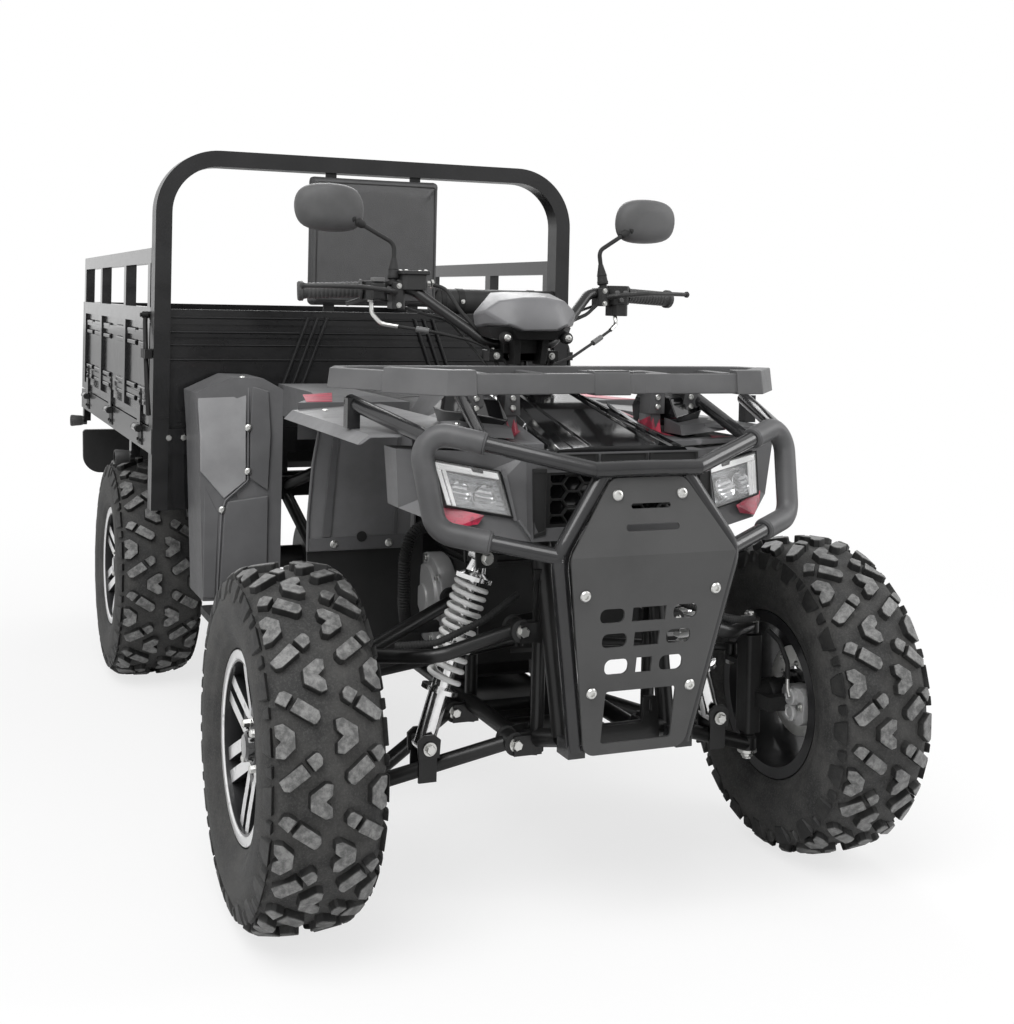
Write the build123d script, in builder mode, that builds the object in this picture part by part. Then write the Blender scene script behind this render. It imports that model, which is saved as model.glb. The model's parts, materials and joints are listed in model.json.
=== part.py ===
from build123d import *
from math import cos, pi, radians, sin, tan
import os

# Utility quad bike with a cargo bed. Millimetres, +Z up, nose towards -Y.
# The origin is on the ground under the middle of the whole machine.
os.makedirs("parts", exist_ok=True)

# Driving dimensions
wheelbase = 1778.0
bumper_reach = 350.0
tail_reach = 1162.0
front_half_track = 541.0
rear_half_track = 520.0
tyre_diameter = 634.0
front_tyre_width = 210.0
rear_tyre_width = 236.0
bed_half_width = 588.0
bed_length = 1631.0
bed_front_gap = 502.0
deck_top = 757.0
side_rail_top = 1070.0
upper_rail_top = 1226.0
hoop_top = 1484.0
hoop_depth = 60.0
grip_reach = 431.0

# Longitudinal stations
front_axle_y = (bumper_reach - wheelbase - tail_reach) / 2
rear_axle_y = front_axle_y + wheelbase
axle_height = tyre_diameter / 2
bed_front = rear_axle_y - bed_front_gap
bed_rear = bed_front + bed_length

# Shared clearances
running_gap = 0.3
swing_gap = 6.0
panel = 5.0


def at(x, y, z):
    """A point given from the front axle line on the ground."""
    return (x, front_axle_y + y, z)


def write(part, name):
    """Label a finished piece and write it."""
    part.label = name
    export_step(part, f"parts/{name}.step")


def tube(points, diameter, bend=0.0):
    """Round bar along a polyline, with its corners bent to one radius."""
    with BuildLine() as route:
        if bend:
            FilletPolyline(*points, radius=bend)
        else:
            Polyline(*points)
    with BuildSketch(Plane(origin=route.line @ 0, z_dir=route.line % 0)) as section:
        Circle(diameter / 2)
    sweep(section.sketch, path=route.line)


def box_tube(points, across, deep, bend, across_dir):
    """Rectangular bar along a bent polyline, its width measured along across_dir."""
    with BuildLine() as route:
        FilletPolyline(*points, radius=bend)
    start = Plane(origin=route.line @ 0, x_dir=across_dir, z_dir=route.line % 0)
    with BuildSketch(start) as section:
        Rectangle(across, deep)
    sweep(section.sketch, path=route.line)


def block(low, high, mode=Mode.ADD):
    """A box between two corners."""
    with Locations([((low[0] + high[0]) / 2, (low[1] + high[1]) / 2, (low[2] + high[2]) / 2)]):
        Box(high[0] - low[0], high[1] - low[1], high[2] - low[2], mode=mode)


def rod(start, end, radius, mode=Mode.ADD):
    """A straight round bar or hole between two points."""
    axis = Vector(*end) - Vector(*start)
    with BuildSketch(Plane(origin=start, z_dir=axis)) as section:
        Circle(radius)
    extrude(section.sketch, amount=axis.length, mode=mode)


def slab(plane, outline, thickness, corner=0.0, mode=Mode.ADD):
    """A flat plate: an outline on a plane, with one corner radius, given a thickness."""
    with BuildSketch(plane) as section:
        with BuildLine():
            Polyline(*outline, close=True)
        make_face()
        if corner:
            fillet(section.vertices(), corner)
    extrude(section.sketch, amount=thickness, mode=mode)


def facets(corners):
    """The flat faces that fill a polygon: one where it is flat, else a fan of triangles."""
    points = [Vector(*corner) for corner in corners]
    normal = (points[1] - points[0]).cross(points[2] - points[0]).normalized()
    if all(abs((point - points[0]).dot(normal)) < 0.001 for point in points):
        groups = [points]
    else:
        groups = [[points[0], points[i], points[i + 1]] for i in range(1, len(points) - 1)]
    return [Face(Wire.make_polygon(group, close=True)) for group in groups]


def skin(sections, mode=Mode.ADD):
    """A closed form with flat faces through polygons that have as many corners each."""
    faces = facets(sections[0]) + facets(sections[-1])
    for first, second in zip(sections, sections[1:]):
        for i in range(len(first)):
            j = (i + 1) % len(first)
            faces += facets([first[i], first[j], second[j], second[i]])
    form = Solid(Shell(faces))
    add(form if form.volume > 0 else Solid(Shell([-face for face in faces])), mode=mode)


def side_plane(x):
    """A plane across the machine: its x runs along +Y and its y up, its normal +X."""
    return Plane(origin=(x, 0, 0), x_dir=(0, 1, 0), z_dir=(1, 0, 0))


def front_plane(y):
    """A plane facing the nose: its x runs along +X and its y up, its normal -Y."""
    return Plane(origin=(0, y, 0), x_dir=(1, 0, 0), z_dir=(0, -1, 0))


# Wheels
bead_radius = 152.0
rim_lip_radius = 168.0
rim_inner_radius = 143.0
rim_lip_thickness = 8.0
front_bead_half = 76.0
rear_bead_half = 94.0
shoulder_drop = 26.0
crown_drop = 7.0
crown_share = 0.36
sidewall_radius = 236.0
lug_count = 20
lug_height = 14.0
lug_width = 46.0
lug_start = 5.0
lug_edge = 12.0
spoke_pairs = 6
spoke_width = 23.0
spoke_slot = 18.0
spoke_thickness = 16.0
face_ring = 13.0
rim_hub_radius = 58.0
hub_radius = 44.0
hub_bore = 15.0
disc_radius = 92.0
disc_thickness = 4.0
front_disc_offset = -12.0
hub_reach = 26.0


def tread_profile(x, width, depth):
    """Corners and middle of the tread's line, a depth under the lug tops."""
    radius = tyre_diameter / 2 - depth
    edge = width / 2 - crown_drop - depth / 3
    crown_half = width * crown_share
    base = axle_height + radius
    return {
        "shoulder_l": (x - edge, base - shoulder_drop),
        "tread_l": (x - crown_half, base - crown_drop),
        "crown": (x, base),
        "tread_r": (x + crown_half, base - crown_drop),
        "shoulder_r": (x + edge, base - shoulder_drop),
    }


def tyre(name, x, y, width, bead_half):
    """One tyre: a turned carcass under two rows of staggered lugs."""
    axle = Axis((0, y, axle_height), (1, 0, 0))
    with BuildPart() as lugs:
        for half in (-1, 1):
            lug_mid = x + half * (lug_start + width / 2 - lug_edge) / 2
            reach = width / 2 - lug_edge - lug_start
            start = Plane(origin=(lug_mid - reach / 2, y, axle_height), x_dir=(0, 1, 0), z_dir=(1, 0, 0))
            turn = 180 / lug_count if half > 0 else 0
            with BuildSketch(start) as section:
                with PolarLocations(tyre_diameter / 2 - lug_height, lug_count, start_angle=turn):
                    Rectangle(3 * lug_height, lug_width)
            extrude(section.sketch, amount=reach)
        with BuildSketch(front_plane(y)) as section:
            line = tread_profile(x, width, 0)
            with BuildLine():
                low = axle_height + sidewall_radius
                Line(line["shoulder_l"], line["tread_l"])
                ThreePointArc(line["tread_l"], line["crown"], line["tread_r"])
                Line(line["tread_r"], line["shoulder_r"])
                Polyline(line["shoulder_r"], (line["shoulder_r"][0], low), (line["shoulder_l"][0], low),
                         line["shoulder_l"])
            make_face()
        revolve(section.sketch, axis=axle, mode=Mode.INTERSECT)
    with BuildPart() as piece:
        with BuildSketch(front_plane(y)) as section:
            line = tread_profile(x, width, lug_height)
            with BuildLine():
                base = axle_height
                bead_l = (x - bead_half, base + bead_radius)
                bead_r = (x + bead_half, base + bead_radius)
                wall_l = (x - width / 2, base + sidewall_radius)
                wall_r = (x + width / 2, base + sidewall_radius)
                lip_l = (x - bead_half - rim_lip_thickness, base + rim_lip_radius + 2)
                lip_r = (x + bead_half + rim_lip_thickness, base + rim_lip_radius + 2)
                hook_l = (x - bead_half, base + rim_lip_radius + 2)
                hook_r = (x + bead_half, base + rim_lip_radius + 2)
                Polyline(hook_r, bead_r, bead_l, hook_l, lip_l)
                ThreePointArc(lip_l, wall_l, line["shoulder_l"])
                Line(line["shoulder_l"], line["tread_l"])
                ThreePointArc(line["tread_l"], line["crown"], line["tread_r"])
                Line(line["tread_r"], line["shoulder_r"])
                ThreePointArc(line["shoulder_r"], wall_r, lip_r)
                Line(lip_r, hook_r)
            make_face()
        revolve(section.sketch, axis=axle)
        add(lugs.part)
    write(piece.part, f"tyre_{name}")


def rim(name, side, x, y, bead_half, disc):
    """One rim: a barrel with two lips, a face of paired spokes, and its hub."""
    with BuildPart() as piece:
        seat = bead_radius - running_gap
        inner = rim_inner_radius
        lip = rim_lip_radius
        ends = bead_half + running_gap
        with BuildSketch(front_plane(y)) as section:
            with BuildLine():
                z = axle_height
                Polyline(
                    (x - ends - rim_lip_thickness, z + inner),
                    (x - ends - rim_lip_thickness, z + lip),
                    (x - ends, z + lip),
                    (x - ends, z + seat),
                    (x + ends, z + seat),
                    (x + ends, z + lip),
                    (x + ends + rim_lip_thickness, z + lip),
                    (x + ends + rim_lip_thickness, z + inner),
                    close=True,
                )
            make_face()
        revolve(section.sketch, axis=Axis((0, y, axle_height), (1, 0, 0)))
        face_x = x + side * (ends - spoke_thickness)
        face = Plane(origin=(face_x, y, axle_height), x_dir=(0, 1, 0), z_dir=(side, 0, 0))
        with BuildSketch(face) as spokes:
            Circle(inner + 1)
            Circle(inner - face_ring, mode=Mode.SUBTRACT)
            offset_y = (spoke_slot + spoke_width) / 2
            reach = inner - face_ring / 2
            for turn in range(spoke_pairs):
                with Locations(Rotation(0, 0, turn * 360 / spoke_pairs)):
                    with Locations((reach / 2, offset_y), (reach / 2, -offset_y)):
                        Rectangle(reach, spoke_width)
            Circle(rim_hub_radius)
        extrude(spokes.sketch, amount=spoke_thickness)
        hub_inner = x - side * hub_reach
        rod((hub_inner, y, axle_height), (face_x + side, y, axle_height), hub_radius)
        if disc:
            disc_x = x + side * front_disc_offset
            rod((disc_x - disc_thickness / 2, y, axle_height),
                (disc_x + disc_thickness / 2, y, axle_height), disc_radius)
        rod((hub_inner - side, y, axle_height), (face_x - side * 4, y, axle_height),
            hub_bore + running_gap, mode=Mode.SUBTRACT)
    write(piece.part, f"rim_{name}")


wheels = [
    ("front_right", -1, front_half_track, front_axle_y, front_tyre_width, front_bead_half, True),
    ("front_left", 1, front_half_track, front_axle_y, front_tyre_width, front_bead_half, True),
    ("rear_right", -1, rear_half_track, rear_axle_y, rear_tyre_width, rear_bead_half, False),
    ("rear_left", 1, rear_half_track, rear_axle_y, rear_tyre_width, rear_bead_half, False),
]
for wheel_name, side, half_track, axle_y, width, bead_half, disc in wheels:
    tyre(wheel_name, side * half_track, axle_y, width, bead_half)
    rim(wheel_name, side, side * half_track, axle_y, bead_half, disc)

# Steering geometry, shared by the knuckles, the tie rods and the column
kingpin_x = 413.0
steer_arm = 72.0
steer_arm_height = 385.0
upper_cup_low = 447.0
upper_cup_high = 475.0
lower_cup_low = 205.0
lower_cup_high = 233.0
cup_radius = 18.0
ball_stud = 7.0
column_foot = at(0, 96.7, 425.0)
column_head = at(0, 250.0, 1000.0)
column_axis = (Vector(*column_head) - Vector(*column_foot)).normalized()
pitman_half = 30.0
pitman_dir = Vector(1, 0, 0).cross(column_axis) * -1

# Knuckles, one for each front wheel
upright_half = 17.0
upright_depth = 24.0
spindle_radius = hub_bore
arm_thickness = 10.0
caliper_gap = 7.0
rod_end_radius = 13.0


def knuckle(name, side):
    """An upright between two ball studs, with its spindle, steering arm and caliper."""
    x = side * kingpin_x
    y = front_axle_y
    with BuildPart() as piece:
        block((x - upright_half, y - upright_depth, lower_cup_high + 14),
              (x + upright_half, y + upright_depth, upper_cup_low - 3))
        fillet(piece.edges().filter_by(Axis.Z), 8)
        rod((x, y, lower_cup_low + 4), (x, y, upper_cup_high - 4), ball_stud)
        wheel_x = side * front_half_track
        rod((x, y, axle_height), (wheel_x - side * (hub_reach + 5), y, axle_height), 30)
        spindle_end = wheel_x + side * (front_bead_half - spoke_thickness - 6)
        rod((x, y, axle_height), (spindle_end, y, axle_height), spindle_radius)
        arm_top = steer_arm_height
        block((x - 11, y, arm_top - arm_thickness), (x + 11, y + steer_arm, arm_top))
        rod((x, y + steer_arm, arm_top - arm_thickness), (x, y + steer_arm, arm_top), rod_end_radius)
        disc_x = wheel_x + side * front_disc_offset
        half = disc_thickness / 2 + caliper_gap
        caliper_low = (disc_x - 26, y - 118, axle_height - 34)
        caliper_high = (disc_x + 26, y - 50, axle_height + 34)
        block(caliper_low, caliper_high)
        block((disc_x - half, y - disc_radius - caliper_gap, axle_height - 40),
              (disc_x + half, y - 40, axle_height + 40), mode=Mode.SUBTRACT)
        rod((wheel_x, y, axle_height),
            (wheel_x + side * 60, y, axle_height), hub_radius + 6, mode=Mode.SUBTRACT)
        rod((wheel_x - side * hub_reach, y, axle_height),
            (wheel_x + side * 60, y, axle_height), hub_radius + 5, mode=Mode.SUBTRACT)
        rod((x, y, axle_height), (spindle_end, y, axle_height), spindle_radius)
        bridge_in = disc_x - side * 18
        block((min(x, bridge_in), y - 74, axle_height - 14),
              (max(x, bridge_in), y - 52, axle_height + 14))
        block((min(x, x + side * 12), y - 74, axle_height - 14),
              (max(x, x + side * 12), y - 10, axle_height + 14))
    write(piece.part, f"knuckle_{name}")


knuckle("right", -1)
knuckle("left", 1)

# Tie rods, from the steering arm to the pitman plate
tie_radius = 8.0
pitman_end = Vector(*column_foot) + pitman_dir * steer_arm
tie_inner_height = pitman_end.Z + 16
tie_outer_height = steer_arm_height + 14


def tie_rod(name, side):
    """A rod with an eye on each end."""
    inner = (side * pitman_half, pitman_end.Y, tie_inner_height)
    outer = (side * kingpin_x, front_axle_y + steer_arm, tie_outer_height)
    with BuildPart() as piece:
        rod(inner, outer, tie_radius)
        rod((outer[0], outer[1], steer_arm_height + running_gap), (outer[0], outer[1], outer[2] + 9), 13)
        rod((inner[0], inner[1], inner[2] - 9), (inner[0], inner[1], inner[2] + 9), 13)
    write(piece.part, f"tie_rod_{name}")


tie_rod("right", -1)
tie_rod("left", 1)

# Front suspension arms
arm_pivot_x = 154.0
front_pivot_y = -125.0
rear_pivot_y = 205.0
lower_front_pivot = at(arm_pivot_x, front_pivot_y + 20, 312)
lower_rear_pivot = at(arm_pivot_x, rear_pivot_y, 285)
upper_front_pivot = at(arm_pivot_x, front_pivot_y, 520)
upper_rear_pivot = at(arm_pivot_x, rear_pivot_y, 505)
bush_radius = 18.0
bush_half = 24.0
arm_tube = 28.0
upper_mid = at(300, -112, 478)
shock_low = at(300, -44, 303)
shock_high = at(197, -44, 640)
ear = 6.0
eye_half = 20.0

with BuildPart() as front_arms:
    cup_mid = (lower_cup_low + lower_cup_high) / 2
    cup = at(kingpin_x, 0, cup_mid)
    tube([lower_front_pivot, cup], arm_tube)
    tube([lower_rear_pivot, cup], arm_tube)
    for pivot in (lower_front_pivot, lower_rear_pivot):
        rod((pivot[0], pivot[1] - bush_half, pivot[2]), (pivot[0], pivot[1] + bush_half, pivot[2]),
            bush_radius)
    for ear_y in (shock_low[1] - eye_half - ear, shock_low[1] + eye_half):
        block((shock_low[0] - 17, ear_y, 240), (shock_low[0] + 17, ear_y + ear, shock_low[2] + 14))
    rod((cup[0], cup[1], lower_cup_low), (cup[0], cup[1], lower_cup_high), cup_radius)
    rod((cup[0], cup[1], lower_cup_low - 9), (cup[0], cup[1], lower_cup_high + 9),
        ball_stud + running_gap, mode=Mode.SUBTRACT)
    cup = at(kingpin_x, 0, (upper_cup_low + upper_cup_high) / 2)
    tube([upper_front_pivot, upper_mid, cup], arm_tube - 2, bend=60)
    tube([upper_rear_pivot, cup], arm_tube - 2)
    for pivot in (upper_front_pivot, upper_rear_pivot):
        rod((pivot[0], pivot[1] - bush_half, pivot[2]), (pivot[0], pivot[1] + bush_half, pivot[2]),
            bush_radius)
    rod((cup[0], cup[1], upper_cup_low), (cup[0], cup[1], upper_cup_high), cup_radius)
    rod((cup[0], cup[1], upper_cup_low - 9), (cup[0], cup[1], upper_cup_high + 9),
        ball_stud + running_gap, mode=Mode.SUBTRACT)
    mirror(about=Plane.YZ)
write(front_arms.part, "front_arms")

# Shock absorbers and their springs
shock_eye = 17.0
damper_radius = 19.0
shock_rod_radius = 8.0
seat_radius = 35.0
seat_thickness = 8.0
spring_start = 0.30
spring_end = 0.87
spring_radius = 34.0
spring_inner = 21.0
spring_groove = 7.0
coils = 11


def shock_plane():
    """A plane that holds the shock's axis: its y runs up the shock."""
    axis = Vector(*shock_high) - Vector(*shock_low)
    return Plane(origin=shock_low, x_dir=Vector(0, 1, 0), z_dir=Vector(0, 1, 0).cross(axis))


shock_axis = Vector(*shock_high) - Vector(*shock_low)
shock_length = shock_axis.length
with BuildPart() as shocks:
    low_seat = shock_length * spring_start - seat_thickness
    high_seat = shock_length * spring_end
    body_top = shock_length * 0.62
    with BuildSketch(shock_plane()) as section:
        with BuildLine():
            Polyline((0, 0), (damper_radius, 0), (damper_radius, low_seat), (seat_radius, low_seat),
                     (seat_radius, low_seat + seat_thickness), (damper_radius, low_seat + seat_thickness),
                     (damper_radius, body_top), (shock_rod_radius, body_top),
                     (shock_rod_radius, high_seat),
                     (seat_radius, high_seat), (seat_radius, high_seat + seat_thickness),
                     (damper_radius, high_seat + 2 * seat_thickness),
                     (shock_rod_radius + 4, shock_length),
                     (0, shock_length), close=True)
        make_face()
    revolve(section.sketch, axis=Axis(shock_low, shock_axis))
    for eye in (shock_low, shock_high):
        rod((eye[0], eye[1] - eye_half + running_gap, eye[2]),
            (eye[0], eye[1] + eye_half - running_gap, eye[2]),
            shock_eye)
    mirror(about=Plane.YZ)
write(shocks.part, "shock_dampers")

with BuildPart() as springs:
    spring_low = shock_length * spring_start + running_gap
    spring_high = shock_length * spring_end - running_gap
    pitch = (spring_high - spring_low) / coils
    with BuildSketch(shock_plane()) as section:
        with BuildLine():
            core = spring_radius - spring_groove
            Polyline((core, spring_high), (spring_inner, spring_high), (spring_inner, spring_low),
                     (core, spring_low))
            for turn in range(coils):
                low = spring_low + turn * pitch
                ThreePointArc((core, low), (spring_radius, low + pitch / 2), (core, low + pitch))
        make_face()
    revolve(section.sketch, axis=Axis(shock_low, shock_axis))
    mirror(about=Plane.YZ)
write(springs.part, "shock_springs")

# Main frame of round tubes, with box rails under the bed
frame_tube = 32.0
small_tube = 25.0
lower_rail_x = 118.0
upper_rail_x = 112.0
rail_bend = 50.0
rail_half_width = 20.0
rail_height = 60.0
rail_top = 620.0
bed_rail_x = 250.0
rail_start = 1330.0
frame_rear = wheelbase + tail_reach - 70
down_tube_top = at(upper_rail_x, -118, 705)
frame_nose = at(lower_rail_x - 13, -212, 345)
shock_cross_height = 676.0
spring_eye_front = 1440.0
spring_eye_rear = 2116.0
spring_eye_height = 470.0
hinge_y = 2850.0
hinge_height = 655.0
hinge_x = 250.0
hinge_pin = 8.0
hinge_ear = 8.0
buffer_y = (1664.0, 2853.0)
skid_half = 100.0
skid_thickness = 3.0
rear_panel_y = front_axle_y + frame_rear
base_low = 744.0
hitch_bore = 10.0
tongue_radius = 34.0
tongue_low = 390.0
tongue_thickness = 16.0
hitch_end = rear_axle_y + tail_reach
footrest_y = (560.0, 940.0)
footrest_reach = 470.0
footrest_height = 308.0

rail_mid = rail_top - rail_height / 2
rail_end = at(bed_rail_x - rail_half_width, rail_start, rail_mid)
with BuildPart() as frame_sides:
    # lower rail
    tube([frame_nose, at(lower_rail_x, -60, 300), at(lower_rail_x, 1100, 300), rail_end], frame_tube,
         bend=rail_bend)
    # upper rail and down tube
    tube([frame_nose, down_tube_top, at(upper_rail_x + 8, 300, 722), at(upper_rail_x + 20, 1080, 690),
          rail_end],
         frame_tube, bend=rail_bend)
    # uprights that carry the arms
    for upright_y in (front_pivot_y, rear_pivot_y):
        rod(at(upper_rail_x, upright_y, 296), at(upper_rail_x, upright_y, 728), small_tube / 2)
    rod(at(upper_rail_x + 15, 800, 300), at(upper_rail_x + 15, 800, 705), small_tube / 2)
    for pivot in (lower_front_pivot, lower_rear_pivot, upper_front_pivot, upper_rear_pivot):
        for end in (-1, 1):
            ear_y = pivot[1] + end * (bush_half + running_gap + ear / 2)
            block((lower_rail_x - 12, ear_y - ear / 2, pivot[2] - 20),
                  (pivot[0] + 6, ear_y + ear / 2, pivot[2] + 16))
        block((lower_rail_x - 12, pivot[1] - bush_half - ear, pivot[2] - 20),
              (lower_rail_x - 4, pivot[1] + bush_half + ear, pivot[2] + 16))
    # shock top ears
    shock_ear_in = upper_rail_x - 8
    block((shock_ear_in, shock_high[1] - eye_half - ear, shock_cross_height - 4),
          (shock_high[0] + 17, shock_high[1] + eye_half + ear, shock_cross_height + 4))
    block((shock_ear_in, shock_high[1] - 12, shock_cross_height),
          (upper_rail_x + 8, shock_high[1] + 12, 700))
    for ear_y in (shock_high[1] - eye_half - ear, shock_high[1] + eye_half):
        block((shock_high[0] - 17, ear_y, shock_high[2] - 14),
              (shock_high[0] + 17, ear_y + ear, shock_cross_height))
    # plate that joins the side's rails to the rail under the bed
    block(at(bed_rail_x - rail_half_width - 26, rail_start - 30, rail_top - rail_height),
          at(bed_rail_x + rail_half_width, rail_start, rail_top))
    block(at(bed_rail_x - 150, rail_start, rail_top - 150),
          at(bed_rail_x + 150, rail_start + 90, rail_top + 90),
          mode=Mode.SUBTRACT)
    mirror(about=Plane.YZ)
write(frame_sides.part, "main_frame")

with BuildPart() as frame_cross:
    # cross tubes between the sides
    rod((-frame_nose[0], frame_nose[1], frame_nose[2]), frame_nose, frame_tube / 2)
    for cross in ((150, 300), (footrest_y[0], footrest_height - 8), (footrest_y[1], footrest_height - 8)):
        rod(at(-lower_rail_x, *cross), at(lower_rail_x, *cross), small_tube / 2)
    rod((-upper_rail_x, down_tube_top[1], 700), (upper_rail_x, down_tube_top[1], 700), small_tube / 2)
    rod((-upper_rail_x, shock_high[1], shock_cross_height),
        (upper_rail_x, shock_high[1], shock_cross_height),
        small_tube / 2)
    # bars under the seat base
    for bar_y in (600, 1040):
        block(at(-upper_rail_x - 14, bar_y - 20, 690),
              at(upper_rail_x + 14, bar_y + 20, base_low - running_gap))
    # outriggers under the footrests
    for side in (-1, 1):
        for step_y in footrest_y:
            rod(at(side * lower_rail_x, step_y, footrest_height),
                at(side * footrest_reach, step_y, footrest_height),
                small_tube / 2)
    # steering column bearings
    upper_bearing = Vector(*column_foot) + column_axis * 300
    rod(tuple(upper_bearing - column_axis * 18), tuple(upper_bearing + column_axis * 18), 24)
    rod((-upper_rail_x, upper_bearing.Y, upper_bearing.Z),
        (upper_rail_x, upper_bearing.Y, upper_bearing.Z), 12)
    foot = Vector(*column_foot) - column_axis * 22
    block((-24, foot.Y - 26, foot.Z - 34), (24, foot.Y + 26, foot.Z - 6))
    block((-lower_rail_x, foot.Y - 18, 296), (-20, foot.Y + 18, 302))
    block((20, foot.Y - 18, 296), (lower_rail_x, foot.Y + 18, 302))
    block((-24, foot.Y - 18, 296), (24, foot.Y + 18, foot.Z - 30))
    rod(tuple(Vector(*column_foot) - column_axis * 60), tuple(upper_bearing + column_axis * 40),
        12.5 + running_gap, mode=Mode.SUBTRACT)
    # hooked tow bracket at the nose
    hook_y = frame_nose[1] - frame_tube / 2 - 2
    slab(front_plane(hook_y + 6),
         [(-80, 330), (80, 330), (80, 350), (72, 408), (48, 408), (46, 362), (-80, 362)], 8,
         corner=4)
    with BuildSketch(front_plane(hook_y + 10)) as eye:
        with Locations((60, 390)):
            SlotOverall(24, 9, rotation=90)
    extrude(eye.sketch, amount=16, mode=Mode.SUBTRACT)
    add(frame_sides.part, mode=Mode.SUBTRACT)
write(frame_cross.part, "frame_cross_tubes")

# Skid plate under the engine
with BuildPart() as skid_plate:
    skid_top = 300 - frame_tube / 2
    block(at(-skid_half, -60, skid_top - skid_thickness), at(skid_half, 900, skid_top))
    with BuildSketch(side_plane(-skid_half)) as nose_fold:
        with BuildLine():
            y0 = front_axle_y
            Polyline((y0 - 60, skid_top), (y0 - 60, skid_top - skid_thickness), (y0 - 200, skid_top + 39),
                     (y0 - 200, skid_top + 43), close=True)
        make_face()
    extrude(nose_fold.sketch, amount=2 * skid_half)
    for strap_y in (300, 860):
        block(at(-lower_rail_x - 10, strap_y, skid_top - skid_thickness),
              at(lower_rail_x + 10, strap_y + 30, skid_top))
    add(frame_sides.part, mode=Mode.SUBTRACT)
    add(frame_cross.part, mode=Mode.SUBTRACT)
write(skid_plate.part, "skid_plate")

# Box rails under the bed, with the spring hangers and the bed hinge's ears
with BuildPart() as bed_rails:
    block(at(bed_rail_x - rail_half_width, rail_start, rail_top - rail_height),
          at(bed_rail_x + rail_half_width, frame_rear, rail_top))
    for hanger_y in (spring_eye_front, spring_eye_rear):
        for ear_x in (bed_rail_x - 30 - ear, bed_rail_x + 30):
            block(at(ear_x, hanger_y - 22, spring_eye_height - 16),
                  at(ear_x + ear, hanger_y + 22, rail_top - 10))
        for ear_x in (bed_rail_x - 30, bed_rail_x + rail_half_width):
            block(at(ear_x, hanger_y - 22, rail_top - 40), at(ear_x + 10, hanger_y + 22, rail_top - 10))
    for ear_x in (hinge_x - 26 - hinge_ear, hinge_x + 26):
        block(at(ear_x, hinge_y - 22, min(rail_top - 8, hinge_height - 16)),
              at(ear_x + hinge_ear, hinge_y + 22, max(rail_top, hinge_height) + 12))
    block(at(hinge_x - 34, hinge_y - 22, rail_top - 8), at(hinge_x + 34, hinge_y + 22, rail_top + 4))
    rod(at(hinge_x - 34, hinge_y, hinge_height), at(hinge_x + 34, hinge_y, hinge_height), hinge_pin)
    mirror(about=Plane.YZ)
write(bed_rails.part, "bed_rails")

# Cross members between the rails, with the rear tow hitch on the last one
cross_half = bed_rail_x - rail_half_width
tongue_y = rear_panel_y - 52
with BuildPart() as cross_members:
    for member_y in (rail_start, spring_eye_front, spring_eye_rear, frame_rear - 40):
        block(at(-cross_half, member_y, rail_top - rail_height + 5),
              at(cross_half, member_y + 40, rail_top - 5))
    block((-40, tongue_y, tongue_low), (40, tongue_y + 14, rail_top - 10))
    block((-40, tongue_y, tongue_low), (40, hitch_end - tongue_radius, tongue_low + tongue_thickness))
    rod((0, hitch_end - tongue_radius, tongue_low),
        (0, hitch_end - tongue_radius, tongue_low + tongue_thickness),
        tongue_radius)
    rod((0, hitch_end - tongue_radius, tongue_low - 1),
        (0, hitch_end - tongue_radius, tongue_low + tongue_thickness + 1), hitch_bore, mode=Mode.SUBTRACT)
    add(bed_rails.part, mode=Mode.SUBTRACT)
write(cross_members.part, "bed_cross_members")

# Engine, one plain block with its crankcase cover
engine_low = at(-100, 275, 322)
engine_high = at(100, 690, 670)
cover_radius = 95.0
with BuildPart() as engine:
    block(engine_low, engine_high)
    chamfer(engine.edges().filter_by(Axis.X), 30)
    cover_centre = at(0, 400, 470)
    rod((-138, cover_centre[1], cover_centre[2]), (138, cover_centre[1], cover_centre[2]), cover_radius)
    for mount_y in (320, 640):
        block(at(-lower_rail_x, mount_y - 15, 316), at(lower_rail_x, mount_y + 15, 330))
write(engine.part, "engine_block")

# Exhaust silencer and its pipe
muffler_radius = 55.0
with BuildPart() as exhaust:
    rod(at(0, 1010, 500), at(0, 1520, 500), muffler_radius)
    tube([at(0, 690, 600), at(0, 820, 600), at(0, 900, 500), at(0, 1011, 500)], 38, bend=50)
    rod(at(0, 1500, 500), at(0, 1560, 500), 20)
write(exhaust.part, "exhaust")

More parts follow.
